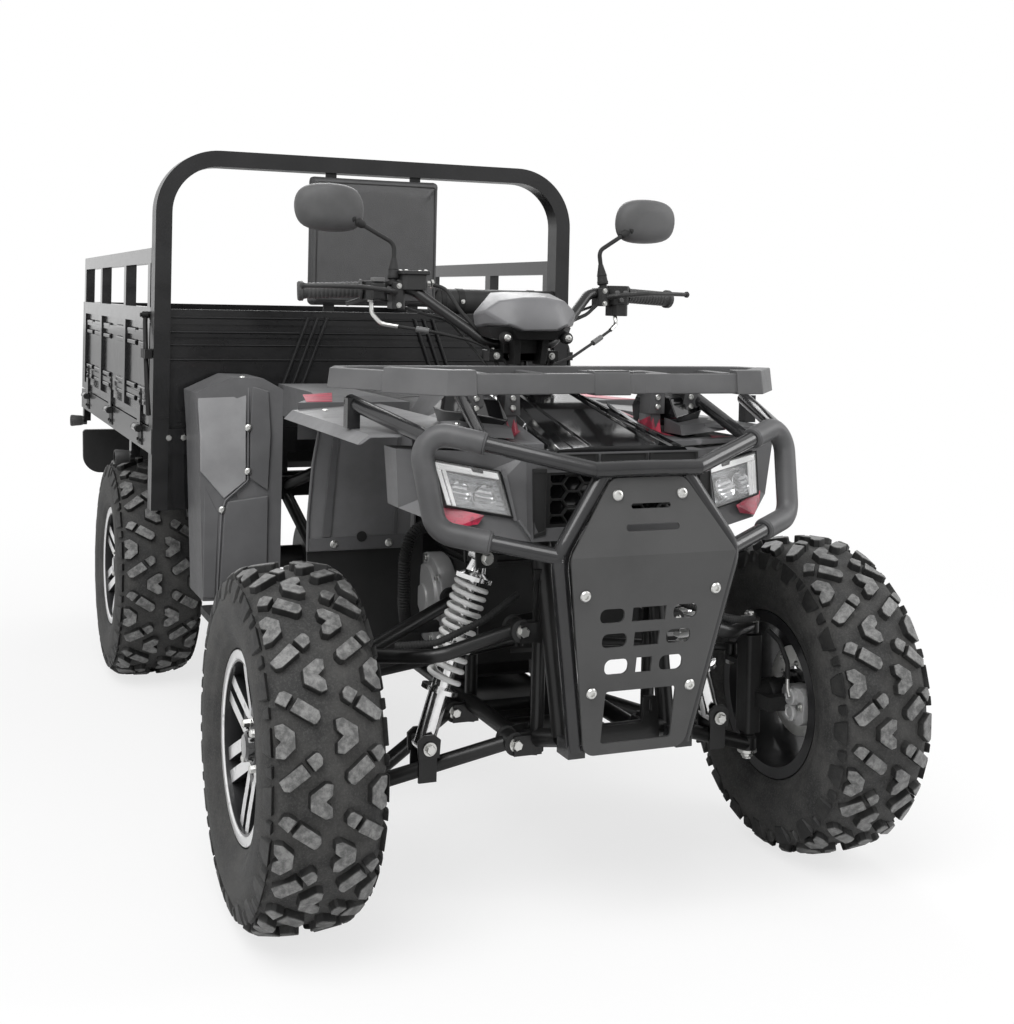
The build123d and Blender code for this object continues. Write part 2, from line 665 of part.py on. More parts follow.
# Rear axle beam with its differential and drive shaft
beam_radius = 33.0
diff_radius = 98.0
rear_hub_x = rear_half_track - hub_reach - 4
leaf_width = 50.0
leaf_eye = 16.0
leaf_count = 4
leaf_thickness = 8.0
with BuildPart() as rear_axle:
    rod((-rear_hub_x + 30, rear_axle_y, axle_height), (rear_hub_x - 30, rear_axle_y, axle_height),
        beam_radius)
    rod((-60, rear_axle_y, axle_height), (60, rear_axle_y, axle_height), diff_radius)
    rod((0, rear_axle_y - 150, axle_height + 20), (0, rear_axle_y, axle_height + 20), 48)
    rod(at(0, 690.3, 352), (0, rear_axle_y - 149, axle_height + 20), 20)
    for side in (-1, 1):
        end = side * (rear_half_track + rear_bead_half - spoke_thickness - 8)
        rod((side * (rear_hub_x - 40), rear_axle_y, axle_height), (end, rear_axle_y, axle_height),
            hub_bore)
        rod((side * (rear_hub_x - 38), rear_axle_y, axle_height),
            (side * (rear_hub_x - 2), rear_axle_y, axle_height),
            68)
        pad_x = side * bed_rail_x
        block((pad_x - 26, rear_axle_y - 50, axle_height),
              (pad_x + 26, rear_axle_y + 50, axle_height + 44))
    # leaf springs up to the rails
    for side in (-1, 1):
        left = side * bed_rail_x - leaf_width / 2
        low = axle_height + 43
        centre = rear_axle_y
        for leaf in range(leaf_count):
            reach = (spring_eye_rear - spring_eye_front) / 2 - leaf * 75
            base = low + (leaf_count - 1 - leaf) * leaf_thickness
            rise = spring_eye_height - low - leaf_count * leaf_thickness
            lift = rise * (reach / ((spring_eye_rear - spring_eye_front) / 2)) ** 2
            with BuildSketch(side_plane(left)) as section:
                with BuildLine():
                    ThreePointArc((centre - reach, base + lift), (centre, base),
                                  (centre + reach, base + lift))
                    Line((centre + reach, base + lift), (centre + reach, base + lift + leaf_thickness))
                    ThreePointArc((centre + reach, base + lift + leaf_thickness),
                                  (centre, base + leaf_thickness),
                                  (centre - reach, base + lift + leaf_thickness))
                    Line((centre - reach, base + lift + leaf_thickness), (centre - reach, base + lift))
                make_face()
            extrude(section.sketch, amount=leaf_width)
        for eye_y in (spring_eye_front, spring_eye_rear):
            rod(at(side * bed_rail_x - 29.7, eye_y, spring_eye_height),
                at(side * bed_rail_x + 29.7, eye_y, spring_eye_height),
                leaf_eye)
write(rear_axle.part, "rear_axle")

# Sizes of the front fenders
fender_inner = 234.0
fender_outer = 442.0
fender_front = -108.0
fender_rear = 470.0
fender_low = 850.0
fender_crown = 874.5
lip_depth = 24.0

# Front bumper: a bent loop each side of a plate, with sleeves on the loops
bumper_tube = 28.0
sleeve_tube = 40.0
hex_tube = 30.0
upper_centre = at(0, -318, 828)
upper_bend = at(100, -313, 826)
wing_top = at(368, -168, 888)
wing_low = at(349, -221, 718)
wing_root = at(160, -322, 682)
side_tube_root = at(354, -179, 872)
side_tube_end = at(421, 56, 917)
hex_top = at(75, -302, 822)
hex_wide = at(168, -321.5, 684)
hex_low = at(105, -269.5, 340)
strut_top = at(241, -40, 932.4)
strut_low = at(262, -222, 860)


def between(a, b, distance):
    """A point on the way from a to b, at a distance from a."""
    way = (Vector(*b) - Vector(*a)).normalized()
    return tuple(Vector(*a) + way * distance)


with BuildPart() as bumper:
    tube([upper_bend, wing_top, wing_low, wing_root], bumper_tube, bend=42)
    sleeve_start = between(wing_top, upper_bend, 118)
    sleeve_end = between(wing_low, wing_root, 92)
    tube([sleeve_start, wing_top, wing_low, sleeve_end], sleeve_tube, bend=42)
    rod(side_tube_root, side_tube_end, bumper_tube / 2)
    tube([hex_top, hex_wide, hex_low], hex_tube, bend=60)
    rod(upper_centre, upper_bend, bumper_tube / 2)
    with Locations([upper_bend]):
        Sphere(bumper_tube / 2)
    rod(strut_low, strut_top, 12)
    # bracket from the end of the side tube down to the fender
    block((side_tube_end[0] - 12, side_tube_end[1] - 26, fender_crown - 4.7),
          (side_tube_end[0] + 12, side_tube_end[1], side_tube_end[2] + 8))
    # feet on the frame
    block((frame_nose[0] - 16, hex_low[1] - 8, 326),
          (frame_nose[0] + 16, frame_nose[1] - frame_tube / 2 - running_gap, 356))
    mirror(about=Plane.YZ)
write(bumper.part, "bumper_frame")

# Bumper plate: two flats folded at its widest line, with slots
plate_thickness = 4.0
plate_fold = 685.0
plate_top = 812.0
plate_bottom = 332.0
plate_top_half = 70.0
plate_fold_half = 158.0
plate_bottom_half = 97.0
fold_y = -bumper_reach
top_lean = 32.0
bottom_lean = 62.0
plate_corner = 24.0
bolt_radius = 4.5
bolt_spots = ((62.0, 784.0), (125.0, 619.0), (95.0, 446.0))
vent_slots = ((765.0, 76.0, 9.0), (730.0, 102.0, 12.0))
window_rows = ((581.0, 25.0, 32.0, 47.0, 93.0), (537.0, 25.0, 24.0, 38.0, 85.0),
               (490.0, 27.0, 15.0, 30.0, 75.0))
tow_window = (352.0, 446.0, 68.0)
with BuildPart() as plate:
    y0 = front_axle_y + fold_y
    slope_up = top_lean / (plate_top - plate_fold)
    slope_down = bottom_lean / (plate_fold - plate_bottom)
    profile = [
        (y0, plate_fold), (y0 + top_lean, plate_top), (y0 + top_lean + plate_thickness, plate_top),
        (y0 + plate_thickness, plate_fold), (y0 + bottom_lean + plate_thickness, plate_bottom),
        (y0 + bottom_lean, plate_bottom),
    ]
    slab(side_plane(-plate_fold_half), profile, 2 * plate_fold_half)
    with BuildSketch(front_plane(y0 + 100)) as outline:
        with BuildLine():
            Polyline((-plate_top_half, plate_top), (plate_top_half, plate_top),
                     (plate_fold_half, plate_fold),
                     (plate_bottom_half, plate_bottom), (-plate_bottom_half, plate_bottom),
                     (-plate_fold_half, plate_fold), close=True)
        make_face()
        fillet(outline.vertices(), plate_corner)
        for height, width, tall in vent_slots:
            with Locations((0, height)):
                SlotOverall(width, tall, mode=Mode.SUBTRACT)
        for height, tall, centre_half, inner, outer in window_rows:
            with Locations((0, height)):
                Rectangle(2 * centre_half, tall, mode=Mode.SUBTRACT)
            for side in (-1, 1):
                with Locations((side * (inner + outer) / 2, height)):
                    RectangleRounded(outer - inner, tall, tall * 0.42, mode=Mode.SUBTRACT)
        low, high, half = tow_window
        with Locations((0, (low + high) / 2)):
            RectangleRounded(2 * half, high - low, 6, mode=Mode.SUBTRACT)
        for x, z in bolt_spots:
            with Locations((x, z), (-x, z)):
                Circle(bolt_radius, mode=Mode.SUBTRACT)
    extrude(outline.sketch, amount=120, mode=Mode.INTERSECT)
write(plate.part, "bumper_plate")

# Nose, grille, lamps and cowl panels
nose_half = 176.0
nose_front = -252.0
grille_low = 716.0
grille_high = 812.0
grille_half = 164.0
grille_recess = 16.0
nose_low = 694.0
nose_high = 846.0
lamp_corners = (at(330, -135, 831), at(210, -160, 809), at(200, -202, 732), at(315, -170, 752))
lamp_depth = 60.0

with BuildPart() as nose:
    front_face = [at(-nose_half, nose_front + 22, nose_low), at(nose_half, nose_front + 22, nose_low),
                  at(nose_half - 10, nose_front + 30, nose_high), at(-nose_half + 10, nose_front + 30, nose_high)]
    back_face = [at(-nose_half, -178, nose_low + 20), at(nose_half, -178, nose_low + 20),
                 at(nose_half - 10, -178, nose_high), at(-nose_half + 10, -178, nose_high)]
    skin([front_face, back_face])
    block(at(-grille_half, nose_front, grille_low),
          at(grille_half, nose_front + 30 + grille_recess, grille_high),
          mode=Mode.SUBTRACT)

mesh_bar = 4.0
mesh_cell = 19.0
with BuildPart() as grille:
    grille_y = front_axle_y + nose_front + 30 + grille_recess - 1
    with BuildSketch(front_plane(grille_y)) as net:
        with Locations((0, (grille_low + grille_high) / 2)):
            Rectangle(2 * grille_half - 0.6, grille_high - grille_low - 0.6)
        rows = int((grille_high - grille_low) / (mesh_cell * 0.75))
        columns = int(2 * grille_half / (mesh_cell * 1.5))
        for row in range(rows):
            for column in range(columns):
                shift = (row % 2) * mesh_cell * 0.75
                x = (column - (columns - 1) / 2) * mesh_cell * 1.5 + shift - mesh_cell * 0.375
                z = grille_low + (row + 0.75) * mesh_cell * 0.75
                if abs(x) < grille_half - mesh_cell * 0.7 and z < grille_high - mesh_cell * 0.3:
                    with Locations((x, z)):
                        SlotOverall(mesh_cell * 1.5 - mesh_bar, mesh_cell * 0.75 - mesh_bar,
                                    mode=Mode.SUBTRACT)
    extrude(net.sketch, amount=4)
write(grille.part, "nose_grille")

with BuildPart() as lamps:
    shifted = [(x, y + lamp_depth, z) for x, y, z in lamp_corners]
    skin([lamp_corners, shifted])
    mirror(about=Plane.YZ)
write(lamps.part, "headlamps")

# Lamp housings beside the nose, with the fairing strip under each lamp
with BuildPart() as lamp_housings:
    housing_inner = nose_half - 11
    outer_front = [at(housing_inner, -175, 838), at(385, -108, 846), at(376, -100, 742),
                   at(300, -178, 712),
                   at(housing_inner, -214, 690)]
    outer_back = [at(housing_inner, -60, 838), at(385, -40, 846), at(376, -40, 742), at(300, -60, 712),
                  at(housing_inner, -60, 690)]
    skin([outer_front, outer_back])
    pocket = [(x, y - 60, z) for x, y, z in lamp_corners]
    pocket_back = [(x, y + lamp_depth + running_gap, z) for x, y, z in lamp_corners]
    mirror(about=Plane.YZ)
with BuildPart() as lamp_pockets:
    skin([pocket, pocket_back])
    mirror(about=Plane.YZ)
with BuildPart() as nose_body:
    add(nose.part)
    add(lamp_housings.part)
    add(lamp_pockets.part, mode=Mode.SUBTRACT)
write(nose_body.part, "nose")

# Bonnet: the dark centre panel, falling from the dash to the nose
with BuildPart() as bonnet:
    bonnet_rear = [at(-112, 190, 862), at(112, 190, 862), at(96, 190, 922), at(60, 190, 938),
                   at(-60, 190, 938),
                   at(-96, 190, 922)]
    bonnet_front = [at(-130, -222, 846.3), at(130, -222, 846.3), at(124, -222, 852), at(60, -222, 856),
                    at(-60, -222, 856), at(-124, -222, 852)]
    skin([bonnet_rear, bonnet_front])
write(bonnet.part, "bonnet")

# Feet of the front rack on the cowl
rack_feet = (150.0, 222.0)
rack_foot_height = 896.0

# Cowl panels: the sides between the bonnet and the fenders
with BuildPart() as cowls:
    cowl_rear = [at(112.3, 190, 850), at(250, 190, 850), at(250, 190, 866), at(112.3, 190, 918)]
    cowl_front = [at(130.3, -170, 846.3), at(340, -100, 846.3), at(340, -100, 852), at(130.3, -170, 856)]
    skin([cowl_rear, cowl_front])
    for x in rack_feet:
        block(at(x - 10, -64, 852), at(x + 10, -16, rack_foot_height))
    mirror(about=Plane.YZ)
write(cowls.part, "cowl_panels")

# Front fenders: a crowned top with a turned-down lip
guard_y = 415.0
guard_low = 577.0
guard_inner = 176.0
guard_outer_low = 400.0
guard_outer_high = 392.0
with BuildPart() as fenders:
    with BuildSketch(front_plane(front_axle_y + fender_front)) as section:
        with BuildLine():
            a = (fender_inner, fender_crown + 6)
            b = (fender_outer - 18, fender_crown - 6)
            c = (fender_outer, fender_crown - lip_depth)
            d = (fender_outer - panel, fender_crown - lip_depth)
            e = (fender_outer - 20, fender_crown - 6 - panel)
            f = (fender_inner, fender_crown + 6 - panel)
            Polyline(a, b, c, d, e, f, close=True)
        make_face()
    extrude(section.sketch, amount=fender_front - fender_rear)
    cut_front = [(fender_outer + 40, front_axle_y - 40),
                 (fender_outer + 40, front_axle_y + fender_front - 10),
                 (360, front_axle_y + fender_front - 10)]
    slab(Plane.XY.offset(fender_low - 40), cut_front, 120, mode=Mode.SUBTRACT)
    # grey guard behind the wheel
    slab(front_plane(front_axle_y + guard_y + panel),
         [(guard_inner, guard_low), (guard_outer_low, guard_low), (guard_outer_low, 650),
          (guard_outer_high, 760),
          (fender_inner + 140, fender_crown - 6), (fender_inner, fender_crown - 1.5), (guard_inner, fender_crown - 40)],
         panel)
    mirror(about=Plane.YZ)
write(fenders.part, "front_fenders")


# Footwells: a ribbed floor and the dark flap at its front
floor_low = footrest_height + small_tube / 2 + running_gap
floor_thickness = 18.0
floor_inner = 145.0
floor_outer = 498.0
floor_rear = 1062.0
rib_count = 7
with BuildPart() as footwells:
    block(at(floor_inner, guard_y + panel, floor_low),
          at(floor_outer, floor_rear, floor_low + floor_thickness))
    fillet(footwells.edges().filter_by(Axis.Z), 12)
    block(at(floor_inner, guard_y + panel, floor_low),
          at(guard_outer_low, guard_y + 2 * panel, guard_low + 30))
    for rib in range(rib_count):
        rib_y = guard_y + 120 + rib * (floor_rear - guard_y - 200) / (rib_count - 1)
        block(at(floor_inner + 60, rib_y, floor_low + floor_thickness - 1),
              at(floor_outer - 30, rib_y + 12, floor_low + floor_thickness + 6))
    mirror(about=Plane.YZ)
write(footwells.part, "footwells")

# Rear guards: the big shield in front of each rear wheel, closed back to the bed
shield_y = 1064.0
shield_low = 343.0
shield_outer = 512.0
shield_inner = 300.0
shield_back = bed_front - front_axle_y - 16
with BuildPart() as shields:
    corners_front = [at(shield_inner, shield_y - 10, shield_low),
                     at(shield_outer - 26, shield_y + 24, shield_low),
                     at(shield_outer - 8, shield_y + 22, 760), at(shield_outer, shield_y + 34, 862),
                     at(425, shield_y + 10, 902), at(350, shield_y, 900), at(shield_inner, shield_y - 10, 872)]
    corners_back = [(x, front_axle_y + shield_back, z) for x, y, z in corners_front]
    skin([corners_front, corners_back])
    hollow_front = [at(shield_inner + panel, shield_y + panel, shield_low - 1),
                    at(shield_outer - 26 - panel, shield_y + 24 + panel, shield_low - 1),
                    at(shield_outer - 8 - panel, shield_y + 22 + panel, 760),
                    at(shield_outer - panel, shield_y + 34 + panel, 862 - panel),
                    at(425, shield_y + 10 + panel, 902 - panel), at(350, shield_y + panel, 900 - panel),
                    at(shield_inner + panel, shield_y + panel, 872 - panel)]
    hollow_back = [(x, front_axle_y + shield_back + 1, z) for x, y, z in hollow_front]
    mirror(about=Plane.YZ)
with BuildPart() as shield_hollow:
    skin([hollow_front, hollow_back])
    mirror(about=Plane.YZ)

# Side fairings along the seat, from the fenders to the rear guards
fairing_low = 806.0
fairing_top = 884.0
fairing_inner = 165.0
with BuildPart() as fairings:
    outline = [(fairing_inner, front_axle_y + fender_rear + running_gap),
               (fender_outer - 30, front_axle_y + fender_rear + running_gap),
               (330, front_axle_y + 640), (shield_inner + 1, front_axle_y + 780),
               (shield_inner + 1, front_axle_y + shield_y + 40), (fairing_inner, front_axle_y + shield_y + 40)]
    slab(Plane.XY.offset(fairing_low), outline, fairing_top - fairing_low)
    inside = [(fairing_inner + panel, front_axle_y + fender_rear + panel),
              (fender_outer - 44, front_axle_y + fender_rear + panel),
              (325, front_axle_y + 636), (shield_inner - panel, front_axle_y + 776),
              (shield_inner - panel, front_axle_y + shield_y + 40 - panel),
              (fairing_inner + panel, front_axle_y + shield_y + 40 - panel)]
    slab(Plane.XY.offset(fairing_low - 1), inside, fairing_top - fairing_low - panel + 1,
         mode=Mode.SUBTRACT)
    mirror(about=Plane.YZ)
with BuildPart() as rear_guards:
    add(shields.part)
    add(shield_hollow.part, mode=Mode.SUBTRACT)
    add(fairings.part)
write(rear_guards.part, "rear_guards")

# Seat base, console and seat
base_half = fairing_inner - running_gap
base_top = 812.0
seat_front = 560.0
seat_rear = 1190.0
seat_half = 158.0
seat_top = 886.0
console_half = 105.0
with BuildPart() as seat_base:
    for side in (-1, 1):
        x_in, x_out = side * (fairing_inner - 4), side * (fairing_inner - running_gap)
        block(at(min(x_in, x_out), guard_y + 2 * panel, floor_low + floor_thickness + running_gap),
              at(max(x_in, x_out), shield_y + 40, base_low + 1))
    block(at(-base_half, 470, base_low), at(base_half, seat_rear, base_top))
    skin([[at(-base_half, 300, 806), at(base_half, 300, 806), at(console_half, 300, 926),
           at(-console_half, 300, 926)],
          [at(-base_half, seat_front - 4, 806), at(base_half, seat_front - 4, 806),
           at(console_half, seat_front - 4, 900), at(-console_half, seat_front - 4, 900)]])
write(seat_base.part, "seat_base")

with BuildPart() as seat:
    block(at(-seat_half, seat_front, base_top + running_gap), at(seat_half, seat_rear, seat_top))
    fillet(seat.edges().filter_by(Axis.Z), 50)
    fillet(seat.faces().sort_by(Axis.Z)[-1].edges(), 24)
write(seat.part, "seat")

# Front rack: a faceted tray on flat brackets
rack_low = 944.0
rack_top = 974.0
rack_front = -172.0
rack_rear = 122.0
rack_tip = 469.0
rack_corner_front = 330.0
rack_rear_half = 384.0
rail_raise = 12.0
with BuildPart() as rack:
    y0 = front_axle_y
    outline = [(rack_corner_front, y0 + rack_front), (421, y0 - 124), (rack_tip, y0 + 42),
               (442, y0 + 112),
               (rack_rear_half, y0 + rack_rear), (-rack_rear_half, y0 + rack_rear), (-442, y0 + 112),
               (-rack_tip, y0 + 42), (-421, y0 - 124), (-rack_corner_front, y0 + rack_front)]
    slab(Plane.XY.offset(rack_low), outline, rack_top - rack_low)
    chamfer(rack.faces().sort_by(Axis.Z)[-1].edges(), 8)
    for x, half, start in ((68, 42, 46), (189, 26, 46), (340, 55, 66)):
        for centre in (-x, x):
            block((centre - half, y0 + rack_front + start, rack_low - 1),
                  (centre + half, y0 + rack_rear - 40, rack_top + 1), mode=Mode.SUBTRACT)
    for x in (-137, 0, 137):
        block((x - 18, y0 + rack_front + 30, rack_top - 1),
              (x + 18, y0 + rack_rear - 20, rack_top + rail_raise))
    for side in (-1, 1):
        for foot_x in rack_feet:
            x = side * foot_x
            block((x - 3, y0 - 60, rack_foot_height + running_gap), (x + 3, y0 - 20, rack_low + 1))
write(rack.part, "front_rack")

# Steering column with its pitman plate
column_radius = 12.5
with BuildPart() as column:
    foot = Vector(*column_foot) - column_axis * 40
    rod(tuple(foot), column_head, column_radius)
    pitman = Plane(origin=column_foot, x_dir=(1, 0, 0), z_dir=column_axis)
    with BuildSketch(pitman) as section:
        with BuildLine():
            Polyline((-16, -16), (16, -16), (pitman_half + 14, steer_arm + 12),
                     (-pitman_half - 14, steer_arm + 12),
                     close=True)
        make_face()
        fillet(section.vertices(), 8)
    extrude(section.sketch, amount=-8)
    head = Vector(*column_head)
    block((-46, head.Y - 22, head.Z - 14), (46, head.Y + 22, head.Z + 1))
write(column.part, "steering_column")

# Handlebar with its clamps
bar_diameter = 22.0
bar_centre = at(0, 250, 1018)
bar_rise = at(70, 252, 1018)
bar_shoulder = at(205, 352, 1128)
grip_start = at(306, 378, 1125)
grip_end = at(grip_reach, 405, 1119)
with BuildPart() as handlebar:
    tube([bar_centre, bar_rise, bar_shoulder, grip_start], bar_diameter, bend=45)
    bar_tip = between(grip_start, grip_end, -1)
    rod(bar_tip, between(grip_end, grip_start, 8), bar_diameter / 2 - 1)
    block((22, bar_centre[1] - 16, 1001.3), (44, bar_centre[1] + 16, 1036))
    mirror(about=Plane.YZ)
write(handlebar.part, "handlebar")

grip_radius = 16.5
with BuildPart() as grips:
    grip_root = between(grip_start, grip_end, 5)
    rod(grip_root, grip_end, grip_radius)
    rod(grip_root, between(grip_root, grip_end, 6), grip_radius + 5)
    rod(between(grip_start, grip_end, -2), grip_end, bar_diameter / 2 - 1 + running_gap,
        mode=Mode.SUBTRACT)
    rod(between(grip_end, grip_start, 8), between(grip_end, grip_start, -1), grip_radius)
    mirror(about=Plane.YZ)
write(grips.part, "grips")

# Controls: perches, levers and the brake reservoir
with BuildPart() as controls:
    perch = between(grip_start, bar_shoulder, 5)
    perch_in = between(grip_start, bar_shoulder, 78)
    rod(perch, perch_in, 19)
    rod(between(perch, perch_in, -1), between(perch_in, perch, -1), bar_diameter / 2 + running_gap,
        mode=Mode.SUBTRACT)
    lever_root = (perch[0] - 6, perch[1] - 34, perch[2] - 2)
    lever_tip = (grip_end[0] - 12, grip_end[1] - 62, grip_end[2] - 6)
    rod(lever_root, lever_tip, 6)
    with Locations([lever_tip]):
        Sphere(9)
    block((perch_in[0], perch[1] - 42, perch[2] - 12), (perch[0] - 4, perch_in[1] - 12, perch[2] + 10))
    mirror(about=Plane.YZ)
    block((-perch[0], perch[1] - 40, perch[2] + 15), (-perch[0] + 44, perch[1] + 2, perch[2] + 40))
write(controls.part, "hand_controls")

# Mirrors on bent arms
mirror_centre = at(368, 398, 1292)
mirror_half_width = 74.0
mirror_half_height = 49.0
mirror_depth = 40.0
arm_foot = at(243, 361, 1146.4)
with BuildPart() as mirrors:
    with BuildSketch(front_plane(mirror_centre[1] + mirror_depth / 2)) as shell:
        with Locations((mirror_centre[0], mirror_centre[2])):
            Ellipse(mirror_half_width, mirror_half_height)
    extrude(shell.sketch, amount=mirror_depth)
    fillet(mirrors.faces().filter_by(Axis.Y).sort_by(Axis.Y)[0].edges(), mirror_depth * 0.6)
    tube([arm_foot, at(238, 374, 1222), at(318, 392, 1268)], 10, bend=22)
    rod(arm_foot, (arm_foot[0], arm_foot[1] + 1, arm_foot[2] + 34), 9)
    mirror(about=Plane.YZ)
write(mirrors.part, "mirrors")

# Dash pod above the bars
with BuildPart() as dash:
    dash_rear = [at(-98, 262, 1046), at(98, 262, 1046), at(102, 262, 1078), at(62, 262, 1124),
                 at(-62, 262, 1124),
                 at(-102, 262, 1078)]
    dash_front = [at(-60, 150, 1036.5), at(60, 150, 1036.5), at(66, 142, 1050), at(36, 140, 1074),
                  at(-36, 140, 1074),
                  at(-66, 142, 1050)]
    skin([dash_rear, dash_front])
    block((-40, bar_centre[1] - 30, 1036.2), (40, bar_centre[1] + 8, 1050))
write(dash.part, "dash")

# Bed deck: floor sheet, edge channel, sills and bearers
channel = 68.0
channel_width = 30.0
floor_sheet = 6.0
sill_low = rail_top + swing_gap + 8
hinge_sleeve = 14.0
gate_hinge_x = bed_half_width + 13
gate_hinge_z = deck_top - 12
gate_hinge_pin = 5.0
gate_hinge_half = 26.0
gate_hinge_spots = (190.0, 800.0, 1410.0)
tail_hinge_y = bed_rear + 12
tail_hinge_z = deck_top - 12
tail_hinge_spots = (-420.0, 0.0, 420.0)
buffer_reach = 44.0
buffer_radius = 15.0
hoop_width = 42.0
leg_bottom = 545.0
guard_plate = 4.0
wheel_guard_inner = 461.0
with BuildPart() as deck:
    block((-bed_half_width, bed_front + 2, deck_top - floor_sheet), (bed_half_width, bed_rear, deck_top))
    for side in (-1, 1):
        x_in = side * (bed_half_width - channel_width)
        x_out = side * bed_half_width
        block((min(x_in, x_out), bed_front + 2, deck_top - channel),
              (max(x_in, x_out), bed_rear, deck_top))
        sill = side * bed_rail_x
        block((sill - 20, bed_front + 2, sill_low),
              (sill + 20, front_axle_y + hinge_y + 14, deck_top - floor_sheet))
        block((sill - 24, bed_front + hoop_depth + 40, rail_top + running_gap),
              (sill + 24, bed_front + hoop_depth + 100, sill_low))
        hinge = at(sill, hinge_y, hinge_height)
        rod((sill - 25, hinge[1], hinge[2]), (sill + 25, hinge[1], hinge[2]), hinge_sleeve)
        block((sill - 25, hinge[1] - 14, min(hinge_height, deck_top - floor_sheet)),
              (sill + 25, hinge[1] + 14, max(hinge_height, deck_top - floor_sheet)))
        rod((sill - 40, hinge[1], hinge[2]), (sill + 40, hinge[1], hinge[2]), hinge_pin + running_gap,
            mode=Mode.SUBTRACT)
        notch_low = min(sill_low - 1, hinge_height - 20)
        notch_high = max(sill_low, hinge_height + 20)
        block((sill - 40, hinge[1] - 34, notch_low), (sill - 25, hinge[1] + 34, notch_high),
              mode=Mode.SUBTRACT)
        block((sill + 25, hinge[1] - 34, notch_low), (sill + 40, hinge[1] + 34, notch_high),
              mode=Mode.SUBTRACT)
        for spot in gate_hinge_spots:
            y = bed_front + spot
            for end in (-1, 1):
                lug = y + end * (gate_hinge_half + 6)
                block((min(x_out - side, side * (gate_hinge_x + 8)), lug - 5, gate_hinge_z - 8),
                      (max(x_out - side, side * (gate_hinge_x + 8)), lug + 5, gate_hinge_z + 8))
            rod((side * gate_hinge_x, y - gate_hinge_half - 11, gate_hinge_z),
                (side * gate_hinge_x, y + gate_hinge_half + 11, gate_hinge_z), gate_hinge_pin)
        for y in buffer_y:
            rod(at(side * (bed_half_width - 12), y, 644),
                at(side * (bed_half_width + buffer_reach), y, 644),
                buffer_radius)
            block(at(side * (bed_half_width - 12) - 12, y - 20, 644),
                  at(side * (bed_half_width - 12) + 12, y + 20, 690))
    for x in tail_hinge_spots:
        for end in (-1, 1):
            lug = x + end * (gate_hinge_half + 6)
            block((lug - 5, bed_rear - 1, tail_hinge_z - 8),
                  (lug + 5, tail_hinge_y + 8, tail_hinge_z + 8))
        rod((x - gate_hinge_half - 11, tail_hinge_y, tail_hinge_z),
            (x + gate_hinge_half + 11, tail_hinge_y, tail_hinge_z),
            gate_hinge_pin)
    for y in (bed_front + 2, bed_front + 420, bed_front + 840, bed_front + 1250, bed_rear - 30):
        block((-bed_half_width, y, deck_top - channel), (bed_half_width, y + 30, deck_top - floor_sheet))
    for side in (-1, 1):
        x_in, x_out = side * (bed_half_width - hoop_width - running_gap), side * (bed_half_width + 1)
        block((min(x_in, x_out), bed_front, leg_bottom),
              (max(x_in, x_out), bed_front + hoop_depth + running_gap,
              deck_top + 1), mode=Mode.SUBTRACT)
    # guards under the hoop's legs, in front of the rear wheels
    for side in (-1, 1):
        x_in = side * wheel_guard_inner
        x_leg = side * (bed_half_width - hoop_width - running_gap)
        block((min(x_in, x_leg), bed_front + 8, leg_bottom),
              (max(x_in, x_leg), bed_front + 8 + guard_plate,
              deck_top - channel + 1))
        block((min(x_in, x_leg), bed_front + 8, deck_top - channel - 24),
              (max(x_in, x_leg), bed_front + 40, deck_top - channel + 1))
write(deck.part, "bed_deck")

# Bed front wall with two pressed lines and the crossed ribs in its middle
wall_y = bed_front + 19
wall_thickness = 22.0
wall_top = 1067.0
wall_half = bed_half_width - hoop_width - running_gap
bead = 8.0
bead_depth = 3.0
with BuildPart() as front_wall:
    block((-wall_half, wall_y, deck_top + running_gap), (wall_half, wall_y + wall_thickness, wall_top))
    for z in (1024.0, 990.0):
        block((-wall_half - 1, wall_y - 1, z - bead / 2),
              (wall_half + 1, wall_y + bead_depth, z + bead / 2),
              mode=Mode.SUBTRACT)
    for side in (-1, 1):
        for shift in (0, 26, 52):
            slab(front_plane(wall_y), [(side * (120 + shift), 1052), (side * (130 + shift), 1052),
                                       (side * (220 + shift), 800), (side * (210 + shift), 800)], 5)
write(front_wall.part, "bed_front_wall")

# Hoop over the front of the bed, with the flats that carry the backrest
hoop_bend = 144.0
backrest_half = 190.0
backrest_low = 1075.0
backrest_high = hoop_top - hoop_width - 0.3
flat_x = 120.0
hoop_mid_y = bed_front + hoop_depth / 2
backrest_thickness = 46.0
flat_thickness = 6.0
with BuildPart() as hoop:
    leg_x = bed_half_width - hoop_width / 2
    bar_z = hoop_top - hoop_width / 2
    box_tube([(-leg_x, hoop_mid_y, leg_bottom), (-leg_x, hoop_mid_y, bar_z), (leg_x, hoop_mid_y, bar_z),
              (leg_x, hoop_mid_y, leg_bottom)], hoop_width, hoop_depth, hoop_bend, (1, 0, 0))
    for side in (-1, 1):
        block((side * flat_x - 15, wall_y, wall_top + running_gap),
              (side * flat_x + 15, wall_y + flat_thickness, bar_z))
write(hoop.part, "bed_hoop")

with BuildPart() as backrest:
    block((-backrest_half, wall_y - backrest_thickness - running_gap, backrest_low),
          (backrest_half, wall_y - running_gap, backrest_high))
    fillet(backrest.edges().filter_by(Axis.Y), 18)
    fillet(backrest.faces().sort_by(Axis.Y)[0].edges(), 10)
write(backrest.part, "backrest")

